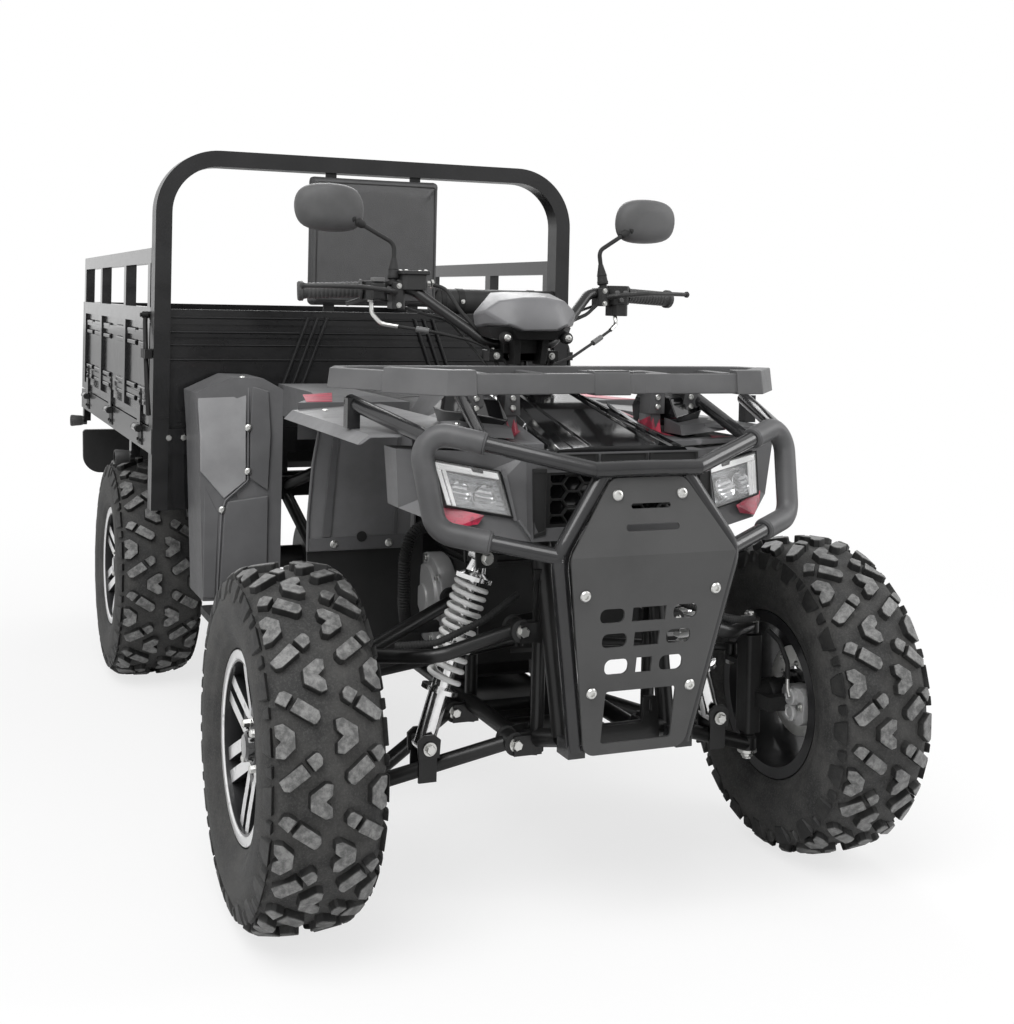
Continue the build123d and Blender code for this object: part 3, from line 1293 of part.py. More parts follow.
# Tool tube lying on the front wall, with a flanged end
tool_radius = 35.0
tool_start = 205.0
with BuildPart() as tool_tube:
    tool_y = wall_y + wall_thickness / 2
    tool_z = wall_top + tool_radius + running_gap
    rod((tool_start, tool_y, tool_z), (wall_half, tool_y, tool_z), tool_radius)
    rod((tool_start - 6, tool_y, tool_z), (tool_start + 6, tool_y, tool_z), tool_radius - 5)
    block((tool_start + 40, tool_y - 8, wall_top + running_gap), (tool_start + 60, tool_y + 8, tool_z))
write(tool_tube.part, "tool_tube")

# Drop sides and tailgate: a frame of posts and rails with pressed sheet between
gate_depth = 30.0
gate_sheet = 4.0
rail_band = 40.0
post_half = 20.0
gate_low = deck_top + 4
gate_gap = 2.5
side_gate_start = bed_front + hoop_depth + gate_gap
side_gate_end = bed_rear - gate_depth - gate_gap
post_spots = (97.0, 555.0, 1115.0, 1598.0)
gate_post = 42.0
rib_depth = 10.0
gate_leaf = 5.0


def side_gate(name, side):
    """A drop side: lower sheet and waist rail on four posts, and the open rails above them."""
    outer = side * bed_half_width
    inner = side * (bed_half_width - gate_depth)
    x_low, x_high = min(outer, inner), max(outer, inner)
    post_low, post_high = side_gate_start + gate_post / 2, side_gate_end - gate_post / 2
    post_places = [max(post_low, min(post_high, bed_front + spot)) for spot in post_spots]
    with BuildPart() as piece:
        block((x_low, side_gate_start, side_rail_top - rail_band), (x_high, side_gate_end, side_rail_top))
        block((x_low, side_gate_start, gate_low), (x_high, side_gate_end, gate_low + 24))
        sheet_out = outer - side * 10
        block((min(sheet_out, sheet_out - side * gate_sheet), side_gate_start, gate_low),
              (max(sheet_out, sheet_out - side * gate_sheet), side_gate_end, side_rail_top - 4))
        for y in post_places:
            block((x_low, y - gate_post / 2, gate_low), (x_high, y + gate_post / 2, side_rail_top - 2))
        for z in (gate_low + 60, side_rail_top - rail_band - 40):
            block((min(sheet_out + side * (rib_depth - 4), sheet_out), side_gate_start + 20, z),
                  (max(sheet_out + side * (rib_depth - 4), sheet_out), side_gate_end - 20, z + 14))
        for spot in gate_hinge_spots:
            y = bed_front + spot
            rod((side * gate_hinge_x, y - gate_hinge_half, gate_hinge_z),
                (side * gate_hinge_x, y + gate_hinge_half, gate_hinge_z), gate_hinge_pin + 5)
            leaf_in = side * (bed_half_width - 1)
            leaf_out = side * (bed_half_width + 3 + gate_leaf)
            block((min(leaf_in, leaf_out), y - gate_hinge_half, gate_low + 2),
                  (max(leaf_in, leaf_out), y + gate_hinge_half, gate_low + 46))
            block((min(side * (bed_half_width + 3), leaf_out), y - gate_hinge_half, gate_hinge_z),
                  (max(side * (bed_half_width + 3), leaf_out), y + gate_hinge_half, gate_low + 20))
            rod((side * gate_hinge_x, y - gate_hinge_half - 1, gate_hinge_z),
                (side * gate_hinge_x, y + gate_hinge_half + 1, gate_hinge_z),
                gate_hinge_pin + running_gap,
                mode=Mode.SUBTRACT)
    write(piece.part, f"side_gate_{name}")

    with BuildPart() as rails:
        block((x_low, side_gate_start, upper_rail_top - rail_band),
              (x_high, side_gate_end, upper_rail_top))
        for y in post_places:
            block((x_low, y - gate_post / 2, side_rail_top),
                  (x_high, y + gate_post / 2, upper_rail_top - 2))
    write(rails.part, f"gate_rails_{name}")


side_gate("right", -1)
side_gate("left", 1)

tail_half = bed_half_width
with BuildPart() as tailgate:
    y_in = bed_rear - gate_depth
    block((-tail_half, y_in, side_rail_top - rail_band), (tail_half, bed_rear, side_rail_top))
    block((-tail_half, y_in, gate_low), (tail_half, bed_rear, gate_low + 24))
    block((-tail_half, bed_rear - 14, gate_low), (tail_half, bed_rear - 10, side_rail_top - 4))
    for x in (-tail_half + post_half, -200, 200, tail_half - post_half):
        block((x - post_half, y_in, gate_low), (x + post_half, bed_rear, side_rail_top - 2))
    for x in tail_hinge_spots:
        rod((x - gate_hinge_half, tail_hinge_y, tail_hinge_z),
            (x + gate_hinge_half, tail_hinge_y, tail_hinge_z),
            gate_hinge_pin + 5)
        block((x - gate_hinge_half, bed_rear - 1, gate_low + 2),
              (x + gate_hinge_half, bed_rear + 8, gate_low + 46))
        block((x - gate_hinge_half, bed_rear + 3, tail_hinge_z),
              (x + gate_hinge_half, bed_rear + 8, gate_low + 20))
        rod((x - gate_hinge_half - 1, tail_hinge_y, tail_hinge_z),
            (x + gate_hinge_half + 1, tail_hinge_y, tail_hinge_z),
            gate_hinge_pin + running_gap, mode=Mode.SUBTRACT)
write(tailgate.part, "tailgate")

# Rear bumper panel under the bed, with its lamps and the tow hitch
rear_panel_low = 452.0
rear_panel_top = 608.0
rear_panel_thickness = 24.0
with BuildPart() as rear_panel:
    with BuildSketch(front_plane(rear_panel_y + rear_panel_thickness)) as section:
        with BuildLine():
            Polyline((-582, rear_panel_low), (582, rear_panel_low), (586, rear_panel_top),
                     (-586, rear_panel_top),
                     close=True)
        make_face()
        fillet(section.vertices().group_by(Axis.Y)[0], 62)
        fillet(section.vertices().group_by(Axis.Y)[-1], 12)
    extrude(section.sketch, amount=rear_panel_thickness)
write(rear_panel.part, "rear_panel")

with BuildPart() as tail_lamps:
    for side in (-1, 1):
        block((side * 430 - 80, rear_panel_y + rear_panel_thickness, 515),
              (side * 430 + 80, rear_panel_y + rear_panel_thickness + 22, 590))
    fillet(tail_lamps.edges().filter_by(Axis.Y), 10)
write(tail_lamps.part, "tail_lamps")
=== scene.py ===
import sys
import json
import math
from math import cos, pi, radians, sin

import bmesh
import bpy
from bpy.props import FloatProperty, FloatVectorProperty, IntProperty, PointerProperty
from mathutils import Matrix, Quaternion, Vector
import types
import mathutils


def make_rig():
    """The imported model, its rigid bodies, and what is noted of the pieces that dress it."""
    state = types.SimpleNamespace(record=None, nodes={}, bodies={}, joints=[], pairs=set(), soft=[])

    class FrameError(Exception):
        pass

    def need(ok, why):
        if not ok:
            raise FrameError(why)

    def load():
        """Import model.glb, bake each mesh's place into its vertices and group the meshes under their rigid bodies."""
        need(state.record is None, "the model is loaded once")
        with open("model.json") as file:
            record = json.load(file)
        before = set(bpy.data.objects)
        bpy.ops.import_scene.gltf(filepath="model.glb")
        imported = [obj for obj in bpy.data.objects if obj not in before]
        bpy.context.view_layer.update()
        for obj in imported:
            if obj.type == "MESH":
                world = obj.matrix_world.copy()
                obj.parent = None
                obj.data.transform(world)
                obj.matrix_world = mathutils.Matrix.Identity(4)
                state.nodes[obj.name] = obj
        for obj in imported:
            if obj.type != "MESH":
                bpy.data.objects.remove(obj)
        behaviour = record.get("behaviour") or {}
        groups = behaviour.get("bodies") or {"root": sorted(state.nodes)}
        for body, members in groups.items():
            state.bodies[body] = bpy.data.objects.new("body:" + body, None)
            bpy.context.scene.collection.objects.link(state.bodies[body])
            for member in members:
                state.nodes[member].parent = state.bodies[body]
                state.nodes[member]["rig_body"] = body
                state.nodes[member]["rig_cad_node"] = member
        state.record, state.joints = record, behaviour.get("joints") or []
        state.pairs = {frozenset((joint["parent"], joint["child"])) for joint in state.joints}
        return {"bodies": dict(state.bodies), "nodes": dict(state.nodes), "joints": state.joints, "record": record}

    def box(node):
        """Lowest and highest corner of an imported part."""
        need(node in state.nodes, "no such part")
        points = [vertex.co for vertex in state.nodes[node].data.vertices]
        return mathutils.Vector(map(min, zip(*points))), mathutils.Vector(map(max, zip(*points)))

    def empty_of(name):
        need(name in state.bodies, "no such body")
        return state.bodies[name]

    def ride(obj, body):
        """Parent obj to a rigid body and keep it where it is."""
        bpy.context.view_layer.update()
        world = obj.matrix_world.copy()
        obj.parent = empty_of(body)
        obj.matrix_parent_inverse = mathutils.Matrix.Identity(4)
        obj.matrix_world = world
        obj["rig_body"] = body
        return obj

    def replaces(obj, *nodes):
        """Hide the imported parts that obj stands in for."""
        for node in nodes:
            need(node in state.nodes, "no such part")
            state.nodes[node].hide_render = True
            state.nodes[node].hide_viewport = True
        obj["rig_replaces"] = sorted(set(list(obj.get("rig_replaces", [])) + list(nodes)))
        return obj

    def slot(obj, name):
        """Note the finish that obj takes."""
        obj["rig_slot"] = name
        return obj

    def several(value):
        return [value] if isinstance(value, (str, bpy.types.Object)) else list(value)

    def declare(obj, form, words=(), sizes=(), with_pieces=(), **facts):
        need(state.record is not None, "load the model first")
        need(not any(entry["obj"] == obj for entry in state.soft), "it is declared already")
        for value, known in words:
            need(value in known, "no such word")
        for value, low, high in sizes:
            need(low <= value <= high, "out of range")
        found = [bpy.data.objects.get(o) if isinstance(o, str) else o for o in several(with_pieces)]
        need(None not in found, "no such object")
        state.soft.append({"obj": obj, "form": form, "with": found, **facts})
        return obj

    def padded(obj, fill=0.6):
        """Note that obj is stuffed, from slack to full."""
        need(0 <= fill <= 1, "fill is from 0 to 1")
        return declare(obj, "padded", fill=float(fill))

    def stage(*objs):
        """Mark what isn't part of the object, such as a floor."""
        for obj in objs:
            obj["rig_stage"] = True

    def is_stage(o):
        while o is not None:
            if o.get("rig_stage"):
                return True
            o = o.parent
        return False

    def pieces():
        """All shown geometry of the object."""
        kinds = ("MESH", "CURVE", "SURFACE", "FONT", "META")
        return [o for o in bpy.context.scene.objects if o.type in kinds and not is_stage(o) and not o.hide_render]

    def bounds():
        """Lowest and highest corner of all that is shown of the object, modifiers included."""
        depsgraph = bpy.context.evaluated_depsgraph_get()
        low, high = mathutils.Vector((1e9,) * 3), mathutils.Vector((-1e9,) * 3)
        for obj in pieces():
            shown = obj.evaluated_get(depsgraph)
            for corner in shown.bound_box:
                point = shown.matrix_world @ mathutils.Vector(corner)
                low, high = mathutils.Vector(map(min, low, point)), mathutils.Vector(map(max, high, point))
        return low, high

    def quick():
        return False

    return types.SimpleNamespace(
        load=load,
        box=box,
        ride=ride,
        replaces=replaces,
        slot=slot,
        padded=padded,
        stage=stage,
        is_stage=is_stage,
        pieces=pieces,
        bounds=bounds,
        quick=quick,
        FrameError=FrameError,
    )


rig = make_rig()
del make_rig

bl_info = {
    "name": "Utility quad bike",
    "version": (1, 0, 0),
    "blender": (4, 5, 0),
    "location": "View3D > Sidebar > Quad bike",
    "description": "Dresses a packed utility quad bike with its tread, panels, springs, cushions and finishes",
    "category": "Object",
}

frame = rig.load()
cad_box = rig.bounds()

# Stations of the row frame, in metres
FRONT_AXLE = -1.295
REAR_AXLE = 0.483
AXLE_HEIGHT = 0.317


def at(x, y, z):
    """A point given from the front axle line on the ground."""
    return Vector((x, FRONT_AXLE + y, z))


# Shader sums

class Wire:
    """A shader socket that can stand in a sum."""

    def __init__(self, material, socket):
        self.material = material
        self.socket = socket

    def maths(self, operation, first, second=0.0):
        return self.material.maths(operation, first, second)

    def __add__(self, other):
        return self.maths("ADD", self, other)

    def __sub__(self, other):
        return self.maths("SUBTRACT", self, other)

    def __rsub__(self, other):
        return self.maths("SUBTRACT", other, self)

    def __mul__(self, other):
        return self.maths("MULTIPLY", self, other)

    def __truediv__(self, other):
        return self.maths("DIVIDE", self, other)

    def __gt__(self, other):
        return self.maths("GREATER_THAN", self, other)

    def __lt__(self, other):
        return self.maths("LESS_THAN", self, other)

    __radd__ = __add__
    __rmul__ = __mul__


class Finish:
    """A material in the making, around one Principled shader."""

    def __init__(self, name):
        self.data = bpy.data.materials.new(name)
        self.data.use_nodes = True
        self.tree = self.data.node_tree
        self.shader = self.tree.nodes["Principled BSDF"]
        self.coordinates = None

    def node(self, kind, settings=None, inputs=None, output=0):
        made = self.tree.nodes.new(kind)
        for key, value in (settings or {}).items():
            if key == "stops":
                ramp = made.color_ramp
                ramp.elements[0].position, ramp.elements[0].color = value[0][0], (*value[0][1], 1)
                ramp.elements[1].position, ramp.elements[1].color = value[-1][0], (*value[-1][1], 1)
                for position, colour in value[1:-1]:
                    ramp.elements.new(position).color = (*colour, 1)
            else:
                setattr(made, key, value)
        for key, value in (inputs or {}).items():
            self.feed(made.inputs[key], value)
        return Wire(self, made.outputs[output])

    def feed(self, socket, value):
        if isinstance(value, Wire):
            self.tree.links.new(value.socket, socket)
        elif socket.type == "RGBA" and len(value) == 3:
            socket.default_value = (*value, 1)
        else:
            socket.default_value = value

    def maths(self, operation, first, second=0.0):
        return self.node("ShaderNodeMath", {"operation": operation}, {0: first, 1: second})

    def set(self, **values):
        """Feeds the shader's sockets: words joined by _ name them."""
        for key, value in values.items():
            self.feed(self.shader.inputs[key.replace("_", " ").title().replace("Ior", "IOR")], value)
        return self

    def place(self):
        if self.coordinates is None:
            self.coordinates = self.node("ShaderNodeTexCoord", output=3)
        return self.coordinates

    def part_of(self, vector, axis):
        """One of a vector's three numbers."""
        return self.node("ShaderNodeSeparateXYZ", inputs={0: vector}, output="XYZ".index(axis))

    def stretched(self, x, y, z):
        return self.node("ShaderNodeVectorMath", {"operation": "MULTIPLY"}, {0: self.place(), 1: (x, y, z)})

    def noise(self, scale, detail=3.0, roughness=0.55, vector=None):
        return self.node("ShaderNodeTexNoise", {}, {"Vector": vector or self.place(), "Scale": scale,
                                                    "Detail": detail, "Roughness": roughness})

    def cells(self, scale, feature="F1", vector=None, output="Distance"):
        return self.node("ShaderNodeTexVoronoi", {"feature": feature},
                         {"Vector": vector or self.place(), "Scale": scale}, output)

    def step(self, value, low, high):
        """0 below low, 1 above high, smooth between."""
        return self.node("ShaderNodeMapRange", {"interpolation_type": "SMOOTHSTEP"},
                         {"Value": value, "From Min": low, "From Max": high})

    def mix(self, share, first, second):
        made = self.tree.nodes.new("ShaderNodeMix")
        made.data_type = "RGBA"
        self.feed(made.inputs["Factor"], share)
        self.feed(made.inputs[6], first)
        self.feed(made.inputs[7], second)
        return Wire(self, made.outputs[2])

    def bump(self, height, depth, below=None):
        inputs = {"Height": height, "Distance": depth, "Strength": 1.0}
        if below:
            inputs["Normal"] = below
        return self.node("ShaderNodeBump", {}, inputs)


def shade(colour, factor):
    """A colour made darker or lighter."""
    return tuple(channel * factor for channel in colour)


def coated(name, colour, roughness, grain=(900.0, 0.0002), cloud=0.25, metallic=0.0, coat=0.0, spread=0.1):
    """A painted or moulded finish: its colour drifts a little, its gloss too, over a fine grain."""
    finish = Finish(name)
    drift = finish.step(finish.noise(7.0, 5.0), 0.3, 0.7)
    worn = finish.noise(34.0, 4.0, 0.65)
    finish.set(base_color=finish.mix(drift, shade(colour, 1 - cloud), shade(colour, 1 + cloud)),
               roughness=roughness + (worn - 0.5) * spread * 2, metallic=metallic, coat_weight=coat)
    finish.shader.inputs["Coat Roughness"].default_value = 0.08
    finish.shader.inputs["Specular IOR Level"].default_value = 0.3
    finish.set(normal=finish.bump(finish.noise(grain[0], 2.0), grain[1]))
    return finish


# Mesh making

class Form:
    """A mesh in the making, in metres in the row frame."""

    def __init__(self):
        self.points = []
        self.faces = []
        self.finishes = []
        self.values = []

    def add(self, points, faces, finish=0, value=0.0):
        start = len(self.points)
        self.points += [Vector(point) for point in points]
        self.faces += [[start + i for i in face] for face in faces]
        self.finishes += [finish] * len(faces)
        self.values += [value] * len(points) if not isinstance(value, list) else value

    def rings(self, rings, closed=True, caps=True, finish=0, loop=False):
        """Quads between rings of as many points each; loop joins the last ring to the first."""
        count = len(rings[0])
        faces = []
        for ring in range(len(rings) if loop else len(rings) - 1):
            low, high = ring * count, (ring + 1) % len(rings) * count
            for i in range(count if closed else count - 1):
                j = (i + 1) % count
                faces.append([low + i, low + j, high + j, high + i])
        if caps and not loop:
            faces.append(list(range(count))[::-1])
            faces.append([(len(rings) - 1) * count + i for i in range(count)])
        self.add([point for ring in rings for point in ring], faces, finish)

    def block(self, low, high, finish=0, turn=None):
        """A box between two corners, turned about its middle by a matrix."""
        middle = (Vector(low) + Vector(high)) / 2
        half = (Vector(high) - Vector(low)) / 2
        corners = [Vector((x * half.x, y * half.y, z * half.z)) for x in (-1, 1) for y in (-1, 1)
                   for z in (-1, 1)]
        if turn:
            corners = [turn @ corner for corner in corners]
        faces = [(0, 1, 3, 2), (4, 6, 7, 5), (0, 4, 5, 1), (2, 3, 7, 6), (0, 2, 6, 4), (1, 5, 7, 3)]
        self.add([middle + corner for corner in corners], faces, finish)

    def prism(self, outline, along, finish=0):
        """A flat outline pushed along a vector."""
        along = Vector(along)
        self.rings([[Vector(p) for p in outline], [Vector(p) + along for p in outline]], finish=finish)

    def lathe(self, start, axis, profile, steps=24, finish=0, caps=True):
        """A turned form: profile is (distance along the axis, radius)."""
        start, axis = Vector(start), Vector(axis).normalized()
        across = axis.orthogonal().normalized()
        up = axis.cross(across)
        turns = [2 * pi * i / steps for i in range(steps)]
        self.rings([[start + axis * along + (across * cos(t) + up * sin(t)) * radius for t in turns]
                    for along, radius in profile], caps=caps, finish=finish)

    def rod(self, start, end, radius, steps=16, finish=0, rounding=0.0):
        """A straight bar with its end edges taken off."""
        axis = Vector(end) - Vector(start)
        length = axis.length
        edge = rounding or radius * 0.12
        self.lathe(start, axis, [(0, radius - edge), (edge, radius), (length - edge, radius),
                                 (length, radius - edge)], steps, finish)

    def tube(self, points, radius, bend=0.0, steps=14, finish=0, closed=False, caps=True):
        """A round bar along a route with arcs in its corners. radius may be a function of the share done."""
        route = rounded(points, bend, closed)
        shares = [i / max(1, len(route) - 1) for i in range(len(route))]
        sizes = [radius(share) if callable(radius) else radius for share in shares]
        self.rings(swept(route, sizes, steps, closed), caps=caps, finish=finish, loop=closed)

    def bolt(self, place, axis, size=0.006, finish=0, washer=0):
        """A hex head with its washer, standing on place."""
        place, axis = Vector(place), Vector(axis).normalized()
        self.lathe(place, axis, [(0, size * 1.35), (size * 0.22, size * 1.35)], 20, washer or finish)
        head = place + axis * size * 0.22
        self.lathe(head, axis, [(0, size), (size * 0.72, size), (size * 0.88, size * 0.86)], 6, finish)

    def button(self, place, axis, size=0.008, finish=0):
        """A domed screw with a socket."""
        dome = [(0, size), (size * 0.18, size), (size * 0.42, size * 0.82), (size * 0.55, size * 0.5)]
        self.lathe(place, axis, dome + [(size * 0.55, size * 0.42), (size * 0.25, size * 0.4)], 18, finish)

    def framed_panel(self, corners, depth, border, finish=0):
        """A plate with a raised border, its corners given on its front."""
        face = (corners[1] - corners[0]).cross(corners[-1] - corners[0]).normalized()
        if face.y > 0:
            face = -face
        middle = sum(corners, Vector()) / len(corners)
        inner = []
        for corner in corners:
            away = corner - middle
            inner.append(corner - away.normalized() * border * 1.4)
        self.rings([[c - face * depth * 2 for c in corners], list(corners),
                    inner, [c - face * depth * 0.7 for c in inner]], caps=True, finish=finish)

    def hull(self, points, finish=0):
        """The faceted form that wraps the points."""
        work = bmesh.new()
        for point in points:
            work.verts.new(point)
        bmesh.ops.convex_hull(work, input=work.verts)
        loose = [v for v in work.verts if not v.link_faces]
        bmesh.ops.delete(work, geom=loose, context="VERTS")
        bmesh.ops.dissolve_limit(work, angle_limit=radians(2), verts=work.verts, edges=work.edges)
        work.verts.index_update()
        self.add([v.co.copy() for v in work.verts], [[v.index for v in face.verts] for face in work.faces],
                 finish)
        work.free()

    def panel(self, place, corners, finish=0):
        """A raised plate whose corners are (across, up, proud) on a surface."""
        front = [place(x, z, rise) for x, z, rise in corners]
        back = [place(x, z, -0.006) for x, z, rise in corners]
        self.rings([back, front], finish=finish)

    def rail_block(self, low, high, proud, finish=0):
        """A moulded block round a rail, its front leaning in towards the top."""
        front, lean = low.y - proud * 0.35, 0.006
        section = [(front, low.z + 0.003), (front + 0.0005, low.z), (high.y, low.z), (high.y, high.z),
                   (front + lean + 0.003, high.z), (front + lean, high.z - 0.003)]
        self.rings([[Vector((x, y, z)) for y, z in section] for x in (low.x, high.x)], finish=finish)

    def rail_sweep(self, route, half, rise, finish=0):
        """A moulded channel along a level route, leaning in towards the top."""
        rings = []
        for i, point in enumerate(route):
            before = route[max(i - 1, 0)]
            after = route[min(i + 1, len(route) - 1)]
            way = (after - before).normalized()
            out = Vector((way.y, -way.x, 0))
            spread = 1.0
            if 0 < i < len(route) - 1:
                spread = 1 / max(0.5, cos((after - point).angle(point - before) / 2))
            rings.append([point + out * half * spread * 1.35 + Vector((0, 0, -rise)),
                          point + out * half * spread * 0.95 + Vector((0, 0, rise)),
                          point - out * half * spread + Vector((0, 0, rise)),
                          point - out * half * spread + Vector((0, 0, -rise))])
        self.rings(rings, finish=finish)

    def rail_loop(self, route, half, rise):
        """A channel round a closed level route, leaning in towards the top."""
        rings = []
        for i, point in enumerate(route):
            before, after = route[i - 1], route[(i + 1) % len(route)]
            into, on = (point - before).normalized(), (after - point).normalized()
            way = (into + on).normalized()
            out = Vector((way.y, -way.x, 0)) / max(0.5, way.dot(on))
            if out.dot(point - Vector((0, point.y, point.z))) < 0 and abs(way.x) < 0.7:
                out = -out
            rings.append([point + out * half * 1.15 + Vector((0, 0, -rise)),
                          point + out * half * 0.85 + Vector((0, 0, rise)),
                          point - out * half + Vector((0, 0, rise)),
                          point - out * half + Vector((0, 0, -rise))])
        self.rings(rings, loop=True)

    def drape(self, corners, node, finish=0, proud=0.0014):
        """A thin patch laid on a CAD node from above: its corners are (x, y, unused), cut into small squares."""
        surface = frame["nodes"][node]
        flat = [Vector((x, FRONT_AXLE + y)) for x, y, _ in corners]
        steps = 8
        rows = []
        for i in range(steps + 1):
            if len(flat) == 4:
                start, end = flat[0].lerp(flat[3], i / steps), flat[1].lerp(flat[2], i / steps)
            else:
                start, end = flat[0].lerp(flat[2], i / steps), flat[1].lerp(flat[2], i / steps)
            row = []
            for j in range(steps + 1):
                spot = start.lerp(end, j / steps)
                found, hit, normal, _ = surface.ray_cast(Vector((spot.x, spot.y, 2.0)), Vector((0, 0, -1)))
                if not found:
                    raise RuntimeError(f"no surface of {node} under {tuple(spot)}")
                row.append(hit + normal * proud)
            rows.append(row)
        self.rings(rows, closed=False, caps=False, finish=finish)

    def ribbed_hose(self, points, radius, bend, pitch=0.0055, finish=0):
        """A corrugated hose along a route."""
        route = rounded(points, bend)
        even, gap = [route[0]], pitch / 4
        left = gap
        for start, end in zip(route, route[1:]):
            run = (end - start).length
            while left <= run:
                even.append(start.lerp(end, left / run))
                left += gap
            left -= run
        sizes = [radius * (1 + 0.1 * sin(pi / 2 * i)) for i in range(len(even))]
        self.rings(swept(even, sizes, 14), finish=finish)

    def mirrored(self):
        """Adds the same form on the other side."""
        count = len(self.points)
        self.points += [Vector((-p.x, p.y, p.z)) for p in self.points]
        self.faces += [[i + count for i in reversed(face)] for face in self.faces]
        self.finishes += list(self.finishes)
        self.values += list(self.values)
        return self

    def piece(self, name, body, finishes, slot, bevel=0.0, replaces=(), sharp=38.0, segments=2, subdivide=0,
              thick=0.0, weld=True):
        """The finished object, riding on its body."""
        mesh = bpy.data.meshes.new(name)
        mesh.from_pydata(self.points, [], self.faces)
        for finish in finishes:
            mesh.materials.append(finish.data)
        mesh.polygons.foreach_set("material_index", self.finishes)
        # Point values become a float attribute: on the tread, 1 marks the lug tops for the painted highlight in
        # tyre_rubber.
        if any(self.values):
            layer = mesh.attributes.new("worn", "FLOAT", "POINT")
            layer.data.foreach_set("value", self.values)
        work = bmesh.new()
        work.from_mesh(mesh)
        if weld:
            bmesh.ops.remove_doubles(work, verts=work.verts, dist=0.00001)
        bmesh.ops.recalc_face_normals(work, faces=work.faces)
        work.to_mesh(mesh)
        work.free()
        piece = bpy.data.objects.new(name, mesh)
        bpy.context.scene.collection.objects.link(piece)
        if thick:
            shell = piece.modifiers.new("thickness", "SOLIDIFY")
            shell.thickness = thick
            shell.offset = -1
        if bevel:
            soften(piece, bevel, segments)
        if subdivide:
            smooth = piece.modifiers.new("smooth", "SUBSURF")
            smooth.levels = smooth.render_levels = subdivide
        mesh.shade_smooth()
        if not subdivide:
            mesh.set_sharp_from_angle(angle=radians(sharp))
        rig.ride(piece, body)
        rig.slot(piece, slot)
        if replaces:
            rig.replaces(piece, *replaces)
        return piece


def soften(piece, width, segments=2):
    """Rounds a piece's sharp edges."""
    edge = piece.modifiers.new("edges", "BEVEL")
    edge.width = width
    edge.segments = segments
    edge.limit_method = "ANGLE"
    edge.angle_limit = radians(32)
    edge.harden_normals = True


def rounded(points, bend, closed=False):
    """A route's points with an arc of radius bend in each corner."""
    points = [Vector(point) for point in points]
    if not bend:
        return points
    route = [] if closed else [points[0]]
    last = len(points) if closed else len(points) - 1
    for i in range(0 if closed else 1, last):
        before, corner, after = points[i - 1], points[i], points[(i + 1) % len(points)]
        back, on = (before - corner), (after - corner)
        turn = back.angle(on)
        if pi - turn < 0.01:
            route.append(corner)
            continue
        limit = 0.49 * min(back.length, on.length)
        reach = min(bend / math.tan(turn / 2), limit)
        radius = reach * math.tan(turn / 2)
        back, on = back.normalized(), on.normalized()
        centre = corner + (back + on).normalized() * (radius / sin(turn / 2))
        start, end = corner + back * reach - centre, corner + on * reach - centre
        count = max(1, int((pi - turn) / radians(9)))
        spin = start.rotation_difference(end)
        for k in range(count + 1):
            route.append(centre + Quaternion(spin.axis, spin.angle * k / count) @ start)
    return route if closed else route + [points[-1]]


def swept(route, sizes, steps, closed=False):
    """Rings of points round a route, without twist."""
    ways = []
    for i in range(len(route)):
        if closed:
            ways.append((route[(i + 1) % len(route)] - route[i - 1]).normalized())
        else:
            ways.append((route[min(i + 1, len(route) - 1)] - route[max(i - 1, 0)]).normalized())
    across = ways[0].orthogonal().normalized()
    rings = []
    for i, way in enumerate(ways):
        if i:
            across = (ways[i - 1].rotation_difference(way) @ across).normalized()
        up = way.cross(across).normalized()
        rings.append([route[i] + (across * cos(2 * pi * k / steps) + up * sin(2 * pi * k / steps)) * sizes[i]
                      for k in range(steps)])
    return rings


def dress(node, finish, bevel=0.0, segments=2):
    """Gives a CAD node its finish."""
    piece = frame["nodes"][node]
    piece.data.materials.clear()
    piece.data.materials.append(finish.data)
    if bevel:
        soften(piece, bevel, segments)
    return piece


# Finishes

def tyre_rubber():
    """Lug rubber: dark sides, lug tops painted paler as a highlight, grit."""
    finish = Finish("tyre_rubber")
    # Share of painted highlight: 1 on the lug tops, read from the point attribute.
    tops = finish.step(finish.node("ShaderNodeAttribute", {"attribute_name": "worn"}, output=2), 0.8, 1.0)
    grime = finish.step(finish.noise(16.0, 6.0, 0.7), 0.4, 0.66)
    scuff = finish.step(finish.noise(70.0, 4.0, 0.7), 0.35, 0.7)
    side = finish.mix(grime, (0.006, 0.006, 0.006), (0.022, 0.022, 0.021))
    # The paler grey of the lug tops is a painted highlight of the sky; the scuff noise varies it.
    top = finish.mix(scuff, (0.07, 0.07, 0.069), (0.21, 0.21, 0.206))
    finish.set(base_color=finish.mix(tops, side, top), roughness=0.56 - 0.16 * tops + scuff * 0.1)
    pores = finish.bump(finish.noise(260.0, 3.0, 0.7), 0.0006)
    return finish.set(normal=pores)


def tyre_ground():
    """Carcass rubber with road dust in its hollows."""
    finish = Finish("tyre_ground")
    cloud = finish.step(finish.noise(11.0, 7.0, 0.72), 0.36, 0.68)
    grit = finish.step(finish.noise(240.0, 4.0, 0.8), 0.48, 0.62)
    base = finish.mix(cloud, (0.014, 0.014, 0.014), (0.052, 0.051, 0.049))
    finish.set(base_color=finish.mix(grit * 0.3, base, (0.10, 0.10, 0.096)), roughness=0.72 + cloud * 0.14)
    return finish.set(normal=finish.bump(finish.noise(330.0, 4.0, 0.75), 0.0008))


def machined():
    """Turned aluminium with fine lines and a few water spots."""
    finish = Finish("machined")
    lines = finish.noise(900.0, 2.0)
    spots = finish.step(finish.noise(60.0, 4.0), 0.56, 0.72)
    finish.set(base_color=finish.mix(spots, (0.78, 0.78, 0.78), (0.55, 0.55, 0.55)), metallic=0.85,
               roughness=0.26 + lines * 0.12 + spots * 0.15)
    return finish.set(normal=finish.bump(lines, 0.00008))


